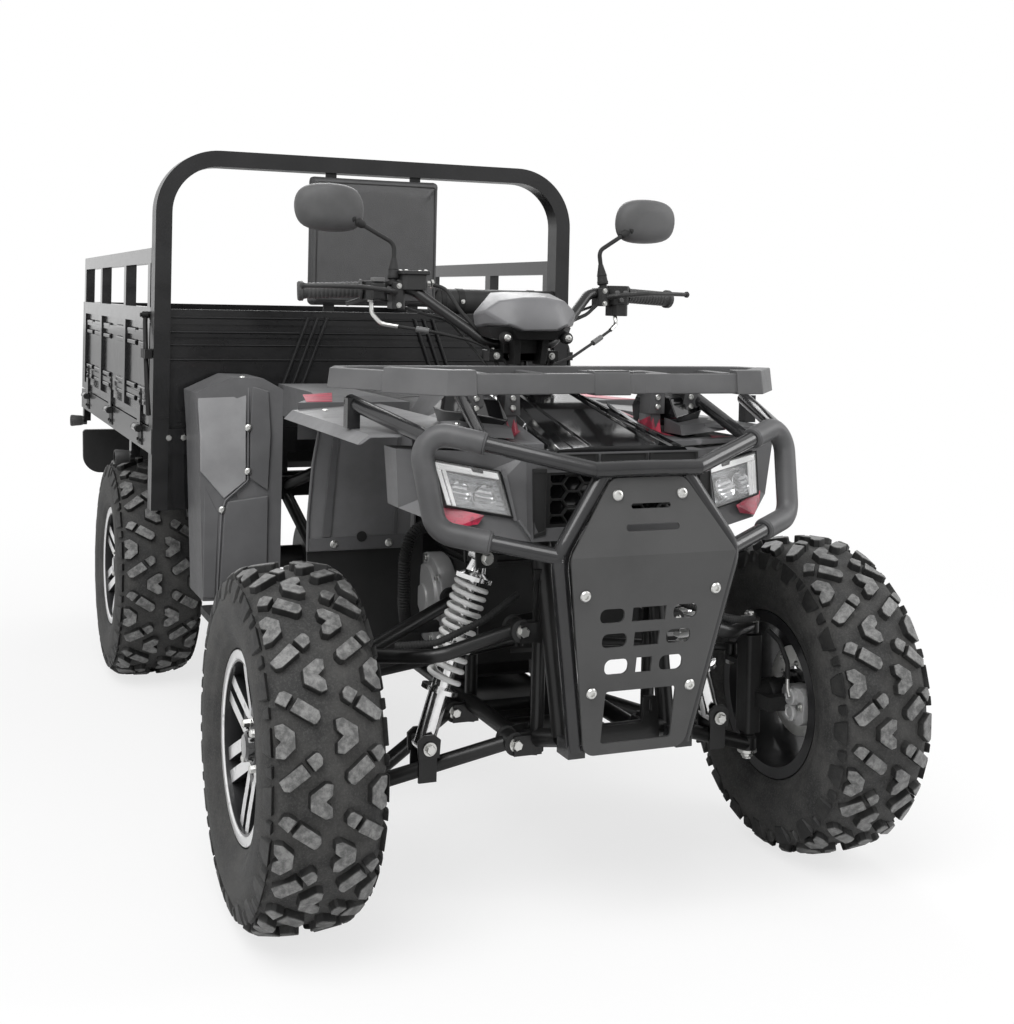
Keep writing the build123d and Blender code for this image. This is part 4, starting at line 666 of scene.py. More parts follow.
def metal(name, colour, roughness, spread=0.12, grain=(220.0, 0.00012)):
    """Bare or plated metal with a drifting polish."""
    finish = Finish(name)
    stain = finish.noise(42.0, 5.0, 0.65)
    finish.set(base_color=finish.mix(stain, shade(colour, 0.72), colour), metallic=1.0,
               roughness=roughness + (stain - 0.5) * spread * 2)
    return finish.set(normal=finish.bump(finish.noise(grain[0], 3.0), grain[1]))


def marked_body():
    """Satin grey panels with rubbed-looking grey and red printed patches."""
    finish = Finish("marked_body")
    drift = finish.step(finish.noise(8.0, 5.0), 0.3, 0.7)
    grey = finish.mix(drift, (0.10, 0.10, 0.104), (0.15, 0.15, 0.155))
    patch = finish.step(finish.noise(13.0, 3.0, 0.5), 0.56, 0.60)
    streak = finish.step(finish.noise(9.0, 6.0, 0.7, finish.stretched(1.0, 0.35, 2.2)), 0.52, 0.62)
    tone = finish.mix(patch, grey, (0.24, 0.24, 0.245))
    finish.set(base_color=finish.mix(streak * patch * 0.8, tone, (0.40, 0.37, 0.38)),
               roughness=0.38 + drift * 0.1)
    return finish.set(normal=finish.bump(finish.noise(700.0, 2.0), 0.00015))


def red_print():
    """A red printed patch, streaked pale and dark like brushed paint."""
    finish = Finish("red_print")
    tint = tuple(bpy.context.scene.quad_bike.print_colour)
    streak = finish.step(finish.noise(14.0, 6.0, 0.7, finish.stretched(1.0, 0.6, 2.4)), 0.42, 0.60)
    dark = finish.step(finish.noise(26.0, 5.0, 0.7), 0.52, 0.62)
    base = finish.mix(streak * 0.55, tint, (0.42, 0.16, 0.19))
    finish.set(base_color=finish.mix(dark * 0.6, base, (0.09, 0.02, 0.03)), roughness=0.32)
    return finish.set(normal=finish.bump(finish.noise(700.0, 2.0), 0.0001))


def hammered_plate():
    """Tread plate: short raised bars that cross, under black paint."""
    finish = Finish("tread_plate")
    side = finish.part_of(finish.place(), "Y")
    high = finish.part_of(finish.place(), "Z")
    weave = (finish.maths("SINE", side * 210.0) * finish.maths("SINE", high * 210.0)) > 0.55
    finish.set(base_color=finish.mix(weave, (0.012, 0.012, 0.012), (0.03, 0.03, 0.03)), roughness=0.3,
               coat_weight=0.3)
    return finish.set(normal=finish.bump(weave, 0.001))


def clear_lens():
    """A moulded clear lens, see-through but glossy."""
    finish = Finish("clear_lens")
    ripple = finish.noise(40.0, 2.0)
    finish.set(base_color=(0.8, 0.8, 0.8), roughness=0.04, alpha=0.16 + ripple * 0.06, coat_weight=1.0)
    return finish.set(normal=finish.bump(ripple, 0.0003))


def lamp_white():
    """The white light strips, softly lit from inside."""
    finish = Finish("lamp_white")
    cell = finish.noise(120.0, 2.0)
    return finish.set(base_color=finish.mix(cell, (0.78, 0.78, 0.78), (0.9, 0.9, 0.9)), roughness=0.2,
                      emission_color=(1, 1, 1), emission_strength=0.25,
                      normal=finish.bump(cell, 0.0002))


def red_lens():
    """Tail lamp plastic with a prism pattern behind it."""
    finish = Finish("red_lens")
    across = finish.part_of(finish.place(), "X")
    prism = finish.maths("SINE", across * 900.0) * 0.5 + 0.5
    return finish.set(base_color=finish.mix(prism, (0.22, 0.004, 0.006), (0.42, 0.012, 0.014)),
                      roughness=0.12,
                      coat_weight=1.0, normal=finish.bump(prism, 0.0005))


def vinyl():
    """Seat vinyl with a leather grain."""
    finish = Finish("vinyl")
    grain = finish.cells(330.0, "DISTANCE_TO_EDGE")
    crease = finish.noise(24.0, 5.0, 0.6)
    finish.set(base_color=finish.mix(crease, (0.040, 0.040, 0.041), (0.068, 0.068, 0.069)),
               roughness=0.44 + crease * 0.14)
    return finish.set(normal=finish.bump(finish.step(grain, 0.0, 0.25), 0.00035))


RECIPES = {
    "tyre": tyre_rubber,
    "tyre_ground": tyre_ground,
    "machined": machined,
    "rim_black": lambda: coated("rim_black", (0.016, 0.016, 0.017), 0.32, coat=0.4),
    "frame": lambda: coated("frame_paint", (0.009, 0.009, 0.009), 0.36, (500.0, 0.0002), coat=0.1),
    "tube_gloss": lambda: coated("bumper_gloss", (0.018, 0.018, 0.019), 0.24, (420.0, 0.0002), coat=0.35,
                                 spread=0.06),
    "sleeve": lambda: coated("bumper_sleeve", (0.080, 0.080, 0.082), 0.38, (800.0, 0.0003)),
    "plate": lambda: coated("bumper_plate", tuple(bpy.context.scene.quad_bike.plate_colour), 0.4,
                            (1100.0, 0.0003),
                            cloud=0.12),
    "spring": lambda: coated("spring_white", tuple(bpy.context.scene.quad_bike.spring_colour), 0.34,
                             cloud=0.05),
    "chrome": lambda: metal("chrome", (0.82, 0.82, 0.82), 0.14),
    "zinc": lambda: metal("zinc_bolt", (0.66, 0.66, 0.64), 0.3),
    "steel": lambda: metal("steel", (0.4, 0.4, 0.39), 0.4),
    "skid": lambda: coated("skid_plate", (0.19, 0.19, 0.19), 0.45, (300.0, 0.0003), metallic=0.4),
    "bezel": lambda: coated("lamp_bezel", (0.15, 0.15, 0.155), 0.35),
    "cast_bright": lambda: coated("cast_bright", (0.40, 0.40, 0.40), 0.34, (300.0, 0.0005), cloud=0.3,
                                  metallic=0.25),
    # Paler copy of the body panel plastic for the up-facing front fenders: painted light.
    "body_painted_light": lambda: coated("body_panel_painted_light", (0.18, 0.18, 0.184), 0.38, (900.0, 0.0002), cloud=0.16),
    # Palest copy of the body panel plastic for the tilted-up upper covers of the rear guards: painted light.
    "body_painted_lit_top": lambda: coated("body_panel_painted_lit_top", (0.27, 0.27, 0.275), 0.36, (900.0, 0.0002), cloud=0.16),
    "cast_black": lambda: coated("cast_black", (0.016, 0.016, 0.016), 0.5, (300.0, 0.0006)),
    "body": lambda: coated("body_panel", tuple(bpy.context.scene.quad_bike.body_colour), 0.42,
                           (900.0, 0.0002),
                           cloud=0.14),
    "marked": marked_body,
    "red": red_print,
    "gloss": lambda: coated("gloss_black", (0.006, 0.006, 0.0065), 0.1, (60.0, 0.0001), coat=1.0,
                            spread=0.03),
    "black_plastic": lambda: coated("black_plastic", (0.017, 0.017, 0.017), 0.52, (800.0, 0.0005)),
    "rack": lambda: coated("rack_plastic", (0.11, 0.11, 0.112), 0.4, (900.0, 0.0003), cloud=0.15),
    "mirror_shell": lambda: coated("mirror_shell", (0.085, 0.085, 0.086), 0.44, (1000.0, 0.0005)),
    "mirror_glass": lambda: metal("mirror_glass", (0.86, 0.86, 0.86), 0.05, 0.02, (20.0, 0.00001)),
    "bed_paint": lambda: coated("bed_paint", (0.008, 0.008, 0.0085), 0.2, (38.0, 0.0003), coat=0.35,
                                spread=0.08),
    "bed_sheet": lambda: coated("bed_sheet", (0.010, 0.010, 0.0105), 0.3, (60.0, 0.0005), coat=0.2),
    "hoop": lambda: coated("hoop_paint", (0.010, 0.010, 0.0105), 0.34, (140.0, 0.0003), coat=0.2),
    "tread_plate": hammered_plate,
    "grip": lambda: coated("grip_rubber", (0.05, 0.05, 0.05), 0.5, (500.0, 0.0004)),
    "control": lambda: coated("control_black", (0.03, 0.03, 0.03), 0.4, (600.0, 0.0004)),
    "control_pale": lambda: coated("control_grey", (0.13, 0.13, 0.13), 0.4, (600.0, 0.0003)),
    "piping": lambda: coated("piping", (0.03, 0.03, 0.03), 0.5, (400.0, 0.0004)),
    "pod": lambda: coated("pod_grey", (0.16, 0.16, 0.165), 0.34, (900.0, 0.0002), cloud=0.12),
    "hinge": lambda: coated("hinge_black", (0.006, 0.006, 0.006), 0.5, (300.0, 0.0003)),
    "buffer": lambda: coated("buffer_rubber", (0.05, 0.05, 0.05), 0.5, (500.0, 0.0005)),
    "rubber": lambda: coated("rubber", (0.018, 0.018, 0.018), 0.66, (500.0, 0.0006)),
    "vinyl": vinyl,
    "lens": clear_lens,
    "white_strip": lamp_white,
    "red_lens": red_lens,
    "reflector": lambda: metal("reflector", (0.78, 0.79, 0.8), 0.16, 0.05, (60.0, 0.0002)),
}
made = {}


def finish(name):
    """A finish by its short name, made when first asked for."""
    if name not in made:
        made[name] = RECIPES[name]()
    return made[name]


def finishes(*names):
    return [finish(name) for name in names]


NODE_FINISHES = {
    "rear_axle": ("cast_black", 0.002),
    "main_frame": ("frame", 0.0015),
    "frame_cross_tubes": ("frame", 0.001),
    "skid_plate": ("skid", 0.001),
    "bed_rails": ("frame", 0.001),
    "bed_cross_members": ("frame", 0.001),
    "gate_rails_right": ("bed_paint", 0.0015),
    "gate_rails_left": ("bed_paint", 0.0015),
    "front_arms": ("frame", 0.0015),
    "shock_dampers": ("chrome", 0.001),
    "engine_block": ("cast_black", 0.003),
    "exhaust": ("steel", 0.002),
    "nose": ("body", 0.002),
    "bonnet": ("gloss", 0.003),
    "cowl_panels": ("marked", 0.003),
    # The fenders take the paler body copy, which paints the light on their tops.
    "front_fenders": ("body_painted_light", 0.002),
    "footwells": ("black_plastic", 0.002),
    "rear_guards": ("body", 0.003),
    "seat_base": ("body", 0.002),
    "steering_column": ("frame", 0.001),
    "handlebar": ("frame", 0.001),
    "bed_deck": ("bed_paint", 0.0015),
    "bed_front_wall": ("bed_sheet", 0.001),
    "bed_hoop": ("hoop", 0.004),
    "tool_tube": ("black_plastic", 0.002),
    "side_gate_right": ("bed_paint", 0.0015),
    "side_gate_left": ("bed_paint", 0.0015),
    "tailgate": ("bed_paint", 0.0015),
    "rear_panel": ("black_plastic", 0.003),
    "tail_lamps": ("red_lens", 0.002),
    "knuckle_right": ("cast_black", 0.0015),
    "knuckle_left": ("cast_black", 0.0015),
    "tie_rod_right": ("frame", 0.0008),
    "tie_rod_left": ("frame", 0.0008),
    "bumper_plate": ("plate", 0.0008),
}


# Settings

class QuadBikeSettings(bpy.types.PropertyGroup):
    """Sizes and colours that a user of the quad bike may change."""

    tread_repeats: IntProperty(name="Tread repeats", description="Pattern repeats round each tyre",
                               default=10, min=4)
    spring_wire: FloatProperty(name="Spring wire", description="Radius of the coil spring's wire",
                               default=0.0048,
                               unit="LENGTH")
    spring_turns: FloatProperty(name="Spring turns", description="Turns of each coil spring", default=11.0)
    body_colour: FloatVectorProperty(name="Body", description="Colour of the plastic panels", subtype="COLOR",
                                     default=(0.115, 0.115, 0.118))
    print_colour: FloatVectorProperty(name="Print", description="Colour of the printed patches",
                                      subtype="COLOR",
                                      default=(0.52, 0.03, 0.075))
    plate_colour: FloatVectorProperty(name="Bumper plate", description="Colour of the plate on the bumper",
                                      subtype="COLOR", default=(0.060, 0.060, 0.060))
    spring_colour: FloatVectorProperty(name="Springs", description="Colour of the coil springs",
                                       subtype="COLOR",
                                       default=(0.78, 0.78, 0.77))


# Stage

CAMERA_PLACE = Vector((-1.16847, -3.76772, 1.10957))
CAMERA_YAW = 0.395671
CAMERA_PITCH = -0.0157868
CAMERA_ROLL = 0.0214349
CAMERA_LENS = 50.25
CAMERA_SHIFT = (0.0, -0.18506)


def soft_lamp(name, place, target, size, power):
    """One large soft lamp, turned to a point."""
    lamp = bpy.data.lights.new(name, "AREA")
    lamp.shape = "RECTANGLE"
    lamp.size, lamp.size_y = size
    lamp.energy = power
    holder = bpy.data.objects.new(name, lamp)
    holder.location = place
    holder.rotation_euler = (Vector(target) - Vector(place)).to_track_quat("-Z", "Y").to_euler()
    bpy.context.scene.collection.objects.link(holder)


class QUAD_OT_stage(bpy.types.Operator):
    """Sets up the camera, the pale floor, the white surroundings and the lamps"""

    bl_idname = "quad.stage"
    bl_label = "Stage"

    def execute(self, context):
        scene = context.scene
        scene.view_settings.view_transform = "Standard"
        ahead = Vector((sin(CAMERA_YAW) * cos(CAMERA_PITCH), cos(CAMERA_YAW) * cos(CAMERA_PITCH),
                        sin(CAMERA_PITCH)))
        right = Vector((cos(CAMERA_YAW), -sin(CAMERA_YAW), 0))
        up = right.cross(ahead)
        tilted = right * cos(CAMERA_ROLL) + up * sin(CAMERA_ROLL)
        upright = up * cos(CAMERA_ROLL) - right * sin(CAMERA_ROLL)
        camera = bpy.data.objects.new("camera", bpy.data.cameras.new("camera"))
        camera.data.sensor_width = 36
        camera.data.lens = CAMERA_LENS
        camera.data.shift_x, camera.data.shift_y = CAMERA_SHIFT
        camera.matrix_world = Matrix.Translation(CAMERA_PLACE) @ Matrix((tilted, upright,
                                                                         -ahead)).transposed().to_4x4()
        scene.collection.objects.link(camera)
        scene.camera = camera

        mesh = bpy.data.meshes.new("floor")
        reach = 40.0
        mesh.from_pydata([(-reach, -reach, 0), (reach, -reach, 0), (reach, reach, 0), (-reach, reach, 0)], [],
                         [(0, 1, 2, 3)])
        ground = Finish("floor")
        ground.set(base_color=(0.86, 0.86, 0.86), roughness=0.9)
        away = ground.node("ShaderNodeVectorMath", {"operation": "LENGTH"}, {0: ground.place()}, 1)
        glow = ground.node("ShaderNodeEmission", {}, {"Color": (1, 1, 1)})
        share = ground.node("ShaderNodeLightPath") * (0.74 + 0.26 * ground.step(away, 1.7, 3.8))
        both = ground.node("ShaderNodeMixShader", {}, {0: share, 1: Wire(ground, ground.shader.outputs[0]),
                                                       2: glow})
        ground.tree.links.new(both.socket, ground.tree.nodes["Material Output"].inputs[0])
        mesh.materials.append(ground.data)
        floor = bpy.data.objects.new("floor", mesh)
        scene.collection.objects.link(floor)
        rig.stage(floor)

        world = bpy.data.worlds.new("surroundings")
        world.use_nodes = True
        scene.world = world
        tree = world.node_tree
        path = tree.nodes.new("ShaderNodeLightPath")
        seen = tree.nodes.new("ShaderNodeMath")
        seen.operation = "MAXIMUM"
        tree.links.new(path.outputs["Is Camera Ray"], seen.inputs[0])
        tree.links.new(path.outputs["Is Glossy Ray"], seen.inputs[1])
        either = tree.nodes.new("ShaderNodeMath")
        either.operation = "MAXIMUM"
        tree.links.new(seen.outputs[0], either.inputs[0])
        tree.links.new(path.outputs["Is Transmission Ray"], either.inputs[1])
        level = tree.nodes.new("ShaderNodeMapRange")
        tree.links.new(either.outputs[0], level.inputs["Value"])
        level.inputs["To Min"].default_value = 0.52
        level.inputs["To Max"].default_value = 1.0
        background = tree.nodes["Background"]
        background.inputs["Color"].default_value = (1, 1, 1, 1)
        tree.links.new(level.outputs[0], background.inputs["Strength"])

        soft_lamp("sky_lamp", (-2.5, -3.5, 5.5), (0, 0, 0.6), (4.0, 4.0), 300)
        soft_lamp("side_lamp", (4.5, -2.5, 3.2), (0, 0, 0.7), (2.5, 2.5), 90)
        soft_lamp("rear_lamp", (1.5, 5.0, 4.0), (0, 0, 0.7), (3.0, 3.0), 120)
        return {"FINISHED"}


class QUAD_OT_frame_finishes(bpy.types.Operator):
    """Gives every part of the frame its finish"""

    bl_idname = "quad.frame_finishes"
    bl_label = "Frame finishes"

    def execute(self, context):
        for node, (name, bevel) in NODE_FINISHES.items():
            dress(node, finish(name), bevel)
        return {"FINISHED"}


# Wheels

TYRE_TOPS = ((0, 0, 317, 0, 302), (38, 38, 315.7, 37, 300.8), (76, 75.6, 309.6, 72, 295.5),
             (101, 96.3, 292.4, 90.5, 282.5), (125, 103, 270, 98.5, 265), (142, 104.6, 254, 102.8, 252.5))
SIDEWALL = ((104.2, 246), (105, 238), (104.4, 226), (104.9, 223), (102.8, 214), (103.2, 211), (99, 200),
            (94, 188),
            (94.6, 185), (90.5, 179), (86, 172.5), (84, 170))
PATTERN = 199.0
WHEELS = (
    ("front_right", "front_wheel_right", -1, 0.541, FRONT_AXLE, 0.210, 0.076),
    ("front_left", "front_wheel_left", 1, 0.541, FRONT_AXLE, 0.210, 0.076),
    ("rear_right", "rear_wheel_right", -1, 0.520, REAR_AXLE, 0.236, 0.094),
    ("rear_left", "rear_wheel_left", 1, 0.520, REAR_AXLE, 0.236, 0.094),
)


def bar_outline(corners, middle, way):
    """Corners given along and across a slanting bar, turned into tread places."""
    along = Vector(way).normalized()
    across = Vector((-along.y, along.x))
    return [tuple(Vector(middle) + along * a + across * b) for a, b in corners]


def tread_lugs():
    """The lug outlines of one repeat on one half: (distance from the centre line, distance round), in mm."""
    centre = [(3, -28), (15, -31), (42, -13), (42, 13), (15, 31), (3, 28), (3, 11), (15, 0), (3, -11)]
    shoulder = [(60, 86), (60, 113), (80, 130), (96, 128), (96, 110), (86, 99.5), (96, 89), (96, 71),
                (80, 69)]
    way = (66, -48)
    inner = [(-41, -4), (-33, -13), (-15, -13), (-15, 13), (-37, 13), (-41, 8)]
    outer = [(-10, -13), (34, -13), (42, -6), (40, 13), (-10, 13)]
    bars = [bar_outline(inner, (53, 48), way), bar_outline(outer, (53, 48), way)]
    inner = [(-41, 4), (-33, 13), (11, 13), (11, -13), (-37, -13), (-41, -8)]
    outer = [(16, 13), (34, 13), (42, 6), (40, -13), (16, -13)]
    way = (66, 48)
    bars += [bar_outline(inner, (53, 151), way), bar_outline(outer, (53, 151), way)]
    return [centre, shoulder] + bars


def on_tyre(reach, share, scale):
    """Across and radius of a place on the tread, share 0 on the carcass and 1 on the lug tops, in metres."""
    reach = min(max(reach, TYRE_TOPS[0][0]), TYRE_TOPS[-1][0])
    for low, high in zip(TYRE_TOPS, TYRE_TOPS[1:]):
        if reach <= high[0]:
            part = (reach - low[0]) / (high[0] - low[0])
            top_x, top_r, base_x, base_r = (a + (b - a) * part for a, b in zip(low[1:], high[1:]))
            across = base_x + (top_x - base_x) * share
            return across * scale / 1000, (base_r + (top_r - base_r) * share) / 1000


class QUAD_OT_tyres(bpy.types.Operator):
    """Makes the four tyres: a dusty carcass and its tread of slanting bars and notched blocks"""

    bl_idname = "quad.tyres"
    bl_label = "Tyres"

    def execute(self, context):
        for name, body, side, track, axle, width, bead in WHEELS:
            self.tyre(context.scene.quad_bike, name, body, Vector((side * track, axle, AXLE_HEIGHT)), width,
                      bead)
        return {"FINISHED"}

    def tyre(self, settings, name, body, hub, width, bead):
        scale = width / 0.210
        repeats = settings.tread_repeats

        def place(reach, round_way, share, half, turn):
            across, radius = on_tyre(reach, share, scale)
            angle = turn + round_way / PATTERN * 2 * pi / repeats
            return hub + Vector((across * half, radius * sin(angle), radius * cos(angle)))

        lugs = Form()
        for repeat in range(repeats):
            for half in (1, -1):
                turn = (repeat + (0.5 if half < 0 else 0)) * 2 * pi / repeats
                for outline in tread_lugs():
                    self.lug(lugs, outline, lambda r, c, s: place(r, c, s, half, turn))
                for spot, broad, deep in ((0, 25, 138), (99.5, 25, 138), (49, 10, 124), (150, 10, 124)):
                    rows = [(101, broad), (116, broad * 0.94), (deep, broad * 0.6)]
                    self.edge_lug(lugs, spot, rows, lambda r, c, s: place(r, c, s, half, turn))
        carcass = Form()
        half_profile = [(on_tyre(reach, 0.0, scale)) for reach in (0, 19, 38, 57, 76, 89, 101, 113, 125, 142)]
        wall = width / 2 * 1000 - 105
        side_points = [(min((x - 84) / 21,
                            1) * 21 + (bead * 1000 + 8) + (x - 84) / 21 * (wall - (bead * 1000 - 76)), r)
                       for x, r in SIDEWALL]
        half_profile += [(x / 1000, r / 1000) for x, r in side_points] + [(bead + 0.0003, 0.1702),
                                                                          (bead, 0.1525)]
        profile = [(-x, r) for x, r in reversed(half_profile)] + half_profile[1:]
        carcass.lathe(hub, (1, 0, 0), profile, 96, caps=False)
        carcass.rings([[hub + Vector((x, 0.1525 * sin(t), 0.1525 * cos(t))) for t in
                        [2 * pi * i / 96 for i in range(96)]] for x in (-bead, bead)], caps=False)
        carcass.piece(f"tyre_{name}_carcass", body, finishes("tyre_ground"), "tyre", sharp=50)
        lugs.piece(f"tyre_{name}_tread", body, finishes("tyre"), "tyre", bevel=0.0011, segments=1, sharp=30,
                   replaces=(f"tyre_{name}",), weld=False)

    def lug(self, form, outline, place):
        """One block of the tread, drawn in a little at its top."""
        count = len(outline)
        middle = sum((Vector(p) for p in outline), Vector((0, 0))) / count
        top = []
        for corner in outline:
            away = Vector(corner) - middle
            top.append(middle + away * (1 - 2.4 / max(away.length, 8)))
        base = [place(r, c, -0.1) for r, c in outline]
        cap = [place(r, c, 1.0) for r, c in top]
        form.rings([base, cap], finish=0)
        # Cap points get 1: the full painted highlight in tyre_rubber.
        form.values[-2 * count:] = [0.0] * count + [1.0] * count

    def edge_lug(self, form, spot, rows, place):
        """A block that turns over the shoulder onto the sidewall."""
        base, cap = [], []
        for i, (reach, broad) in enumerate(rows):
            base.append([place(reach, spot - broad - 1.5, -0.3), place(reach, spot + broad + 1.5, -0.3)])
            drop = 1.5 if 0 < i < len(rows) - 1 else 0
            cap.append([place(reach + (2 if i == 0 else 0), spot - broad + drop, 1.0 if i < 2 else 0.75),
                        place(reach + (2 if i == 0 else 0), spot + broad - drop, 1.0 if i < 2 else 0.75)])
        sections = [[low[0], high[0], high[1], low[1]] for low, high in zip(base, cap)]
        form.rings(sections)
        # 0.7 on the tops stays under the painted highlight's threshold in tyre_rubber.
        form.values[-4 * len(rows):] = [0.0, 0.7, 0.7, 0.0] * len(rows)


class QUAD_OT_rims(bpy.types.Operator):
    """Makes the four alloy rims: black barrel, bright lip and six pairs of spokes with bright faces"""

    bl_idname = "quad.rims"
    bl_label = "Rims"

    def execute(self, context):
        for name, body, side, track, axle, _, bead in WHEELS:
            self.rim(name, body, side, Vector((side * track, axle, AXLE_HEIGHT)), bead,
                     name.startswith("front"))
        return {"FINISHED"}

    def rim(self, name, body, side, hub, bead, front):
        out = Vector((side, 0, 0))
        form = Form()
        barrel = [(-bead - 0.008, 0.145), (-bead - 0.008, 0.1675), (-bead - 0.001, 0.1675), (-bead, 0.1523),
                  (-0.03, 0.148), (0.03, 0.148), (bead, 0.1523), (bead + 0.001, 0.1675),
                  (bead + 0.0055, 0.1675),
                  (bead + 0.0055, 0.146), (0.02, 0.141), (-0.03, 0.141)]
        self.turned(form, hub, out, barrel, 0)
        lip = [(bead + 0.0052, 0.1672), (bead + 0.0078, 0.1668), (bead + 0.0083, 0.1655),
               (bead + 0.0083, 0.1525),
               (bead + 0.0072, 0.1508), (bead + 0.0015, 0.1478), (bead - 0.002, 0.1462),
               (bead - 0.002, 0.1478)]
        self.turned(form, hub, out, lip, 1)
        for pair in range(6):
            turn = 2 * pi * pair / 6
            radial = Vector((0, sin(turn), cos(turn)))
            across = Vector((0, cos(turn), -sin(turn)))
            for end in (-1, 1):
                self.spoke(form, hub, out, radial, across, end, bead)
            web = [hub + out * (bead - 0.013) + radial * r + across * w for r, w in
                   ((0.050, -0.012), (0.050, 0.012), (0.074, 0.010), (0.080, 0.0), (0.074, -0.010))]
            form.prism(web, out * -0.014, finish=0)
        face = bead - 0.008
        hub_profile = [(face - 0.03, 0.0), (face - 0.03, 0.058), (face - 0.012, 0.058), (face - 0.009, 0.054),
                       (face - 0.009, 0.034), (face - 0.004, 0.031), (face - 0.004, 0.0)]
        form.lathe(hub, out, hub_profile, 36, 0, caps=False)
        cap = [(face - 0.005, 0.0), (face - 0.005, 0.028), (face + 0.006, 0.0255), (face + 0.010, 0.020),
               (face + 0.011, 0.0)]
        form.lathe(hub, out, cap, 32, 2, caps=False)
        for i in range(4):
            turn = 2 * pi * (i + 0.5) / 4
            nut = hub + out * (face - 0.010) + Vector((0, sin(turn), cos(turn))) * 0.044
            form.lathe(nut, out, [(0, 0.0095), (0.003, 0.0095), (0.003, 0.0078), (0.014, 0.0078),
                                  (0.017, 0.005)], 6, 3)
        inner_hub = [(-0.026, 0.0), (-0.026, 0.040), (-0.022, 0.044), (face - 0.03, 0.044),
                     (face - 0.03, 0.0)]
        form.lathe(hub, out, inner_hub, 32, 0, caps=False)
        if front:
            disc = [(-0.0138, 0.050), (-0.0138, 0.092), (-0.0102, 0.092), (-0.0102, 0.050)]
            self.turned(form, hub, out, disc, 3)
            for i in range(6):
                turn = 2 * pi * i / 6
                way = Vector((0, sin(turn), cos(turn)))
                form.button(hub + out * -0.0138 + way * 0.056, -out, 0.006, 3)
        form.piece(f"rim_{name}_alloy", body, finishes("rim_black", "machined", "gloss", "zinc"), "rim",
                   bevel=0.0009, segments=2, sharp=34, replaces=(f"rim_{name}",))

    def turned(self, form, hub, out, profile, finish_index):
        turns = [2 * pi * i / 72 for i in range(72)]
        form.rings([[hub + out * a + Vector((0, sin(t), cos(t))) * r for t in turns] for a, r in profile],
                   finish=finish_index, loop=True)

    def spoke(self, form, hub, out, radial, across, end, bead):
        """One bar of a pair: bright face, black sides, dished towards the hub."""
        rows = [(0.040, bead - 0.016), (0.075, bead - 0.011), (0.115, bead - 0.005), (0.1475, bead - 0.001)]
        for i, ((low, low_face), (high, high_face)) in enumerate(zip(rows, rows[1:])):
            corners = []
            for r, face in ((low, low_face), (high, high_face)):
                inner, outer = 0.0092, 0.0315 + (r - 0.09) * 0.02
                for w in (inner, outer):
                    for depth in (0.0, -0.016):
                        corners.append(hub + out * (face + depth) + radial * r + across * end * w)
            faces = [(0, 2, 6, 4), (1, 5, 7, 3), (0, 4, 5, 1), (2, 3, 7, 6)]
            form.add(corners, faces[:1], 1)
            form.add(corners, faces[1:], 0)
            if i == 0:
                form.add(corners[:4], [(0, 1, 3, 2)], 0)
            if i == len(rows) - 2:
                form.add(corners[4:], [(0, 2, 3, 1)], 0)


# Suspension

SHOCK_LOW = at(0.300, -0.044, 0.303)
SHOCK_HIGH = at(0.197, -0.044, 0.640)


class QUAD_OT_springs(bpy.types.Operator):
    """Winds the white coil springs, wider at the foot and closed at both ends"""

    bl_idname = "quad.springs"
    bl_label = "Coil springs"

    def execute(self, context):
        settings = context.scene.quad_bike
        form = Form()
        axis = SHOCK_HIGH - SHOCK_LOW
        length = axis.length
        axis.normalize()
        across = Vector((0, 1, 0))
        up = axis.cross(across)
        wire = settings.spring_wire
        low, high = length * 0.30 + wire, length * 0.87 - wire
        steps = int(settings.spring_turns * 22)
        route = []
        for i in range(steps + 1):
            turns = settings.spring_turns * i / steps
            share = i / steps
            rise = share ** 0.86
            rise = min(rise, 1.0)
            angle = 2 * pi * turns
            coil = 0.034 - wire
            route.append(SHOCK_LOW + axis * (low + (high - low) * rise) + (across * cos(angle) + up * sin(angle)) * coil)
        form.tube(route, wire, steps=12)
        form.mirrored().piece("coil_springs", "chassis", finishes("spring"), "spring", sharp=60,
                              replaces=("shock_springs",))
        return {"FINISHED"}


# Bumper

UPPER_CENTRE = at(0, -0.318, 0.828)
UPPER_BEND = at(0.100, -0.313, 0.826)
WING_TOP = at(0.368, -0.168, 0.888)
WING_LOW = at(0.349, -0.221, 0.718)
WING_ROOT = at(0.160, -0.322, 0.682)


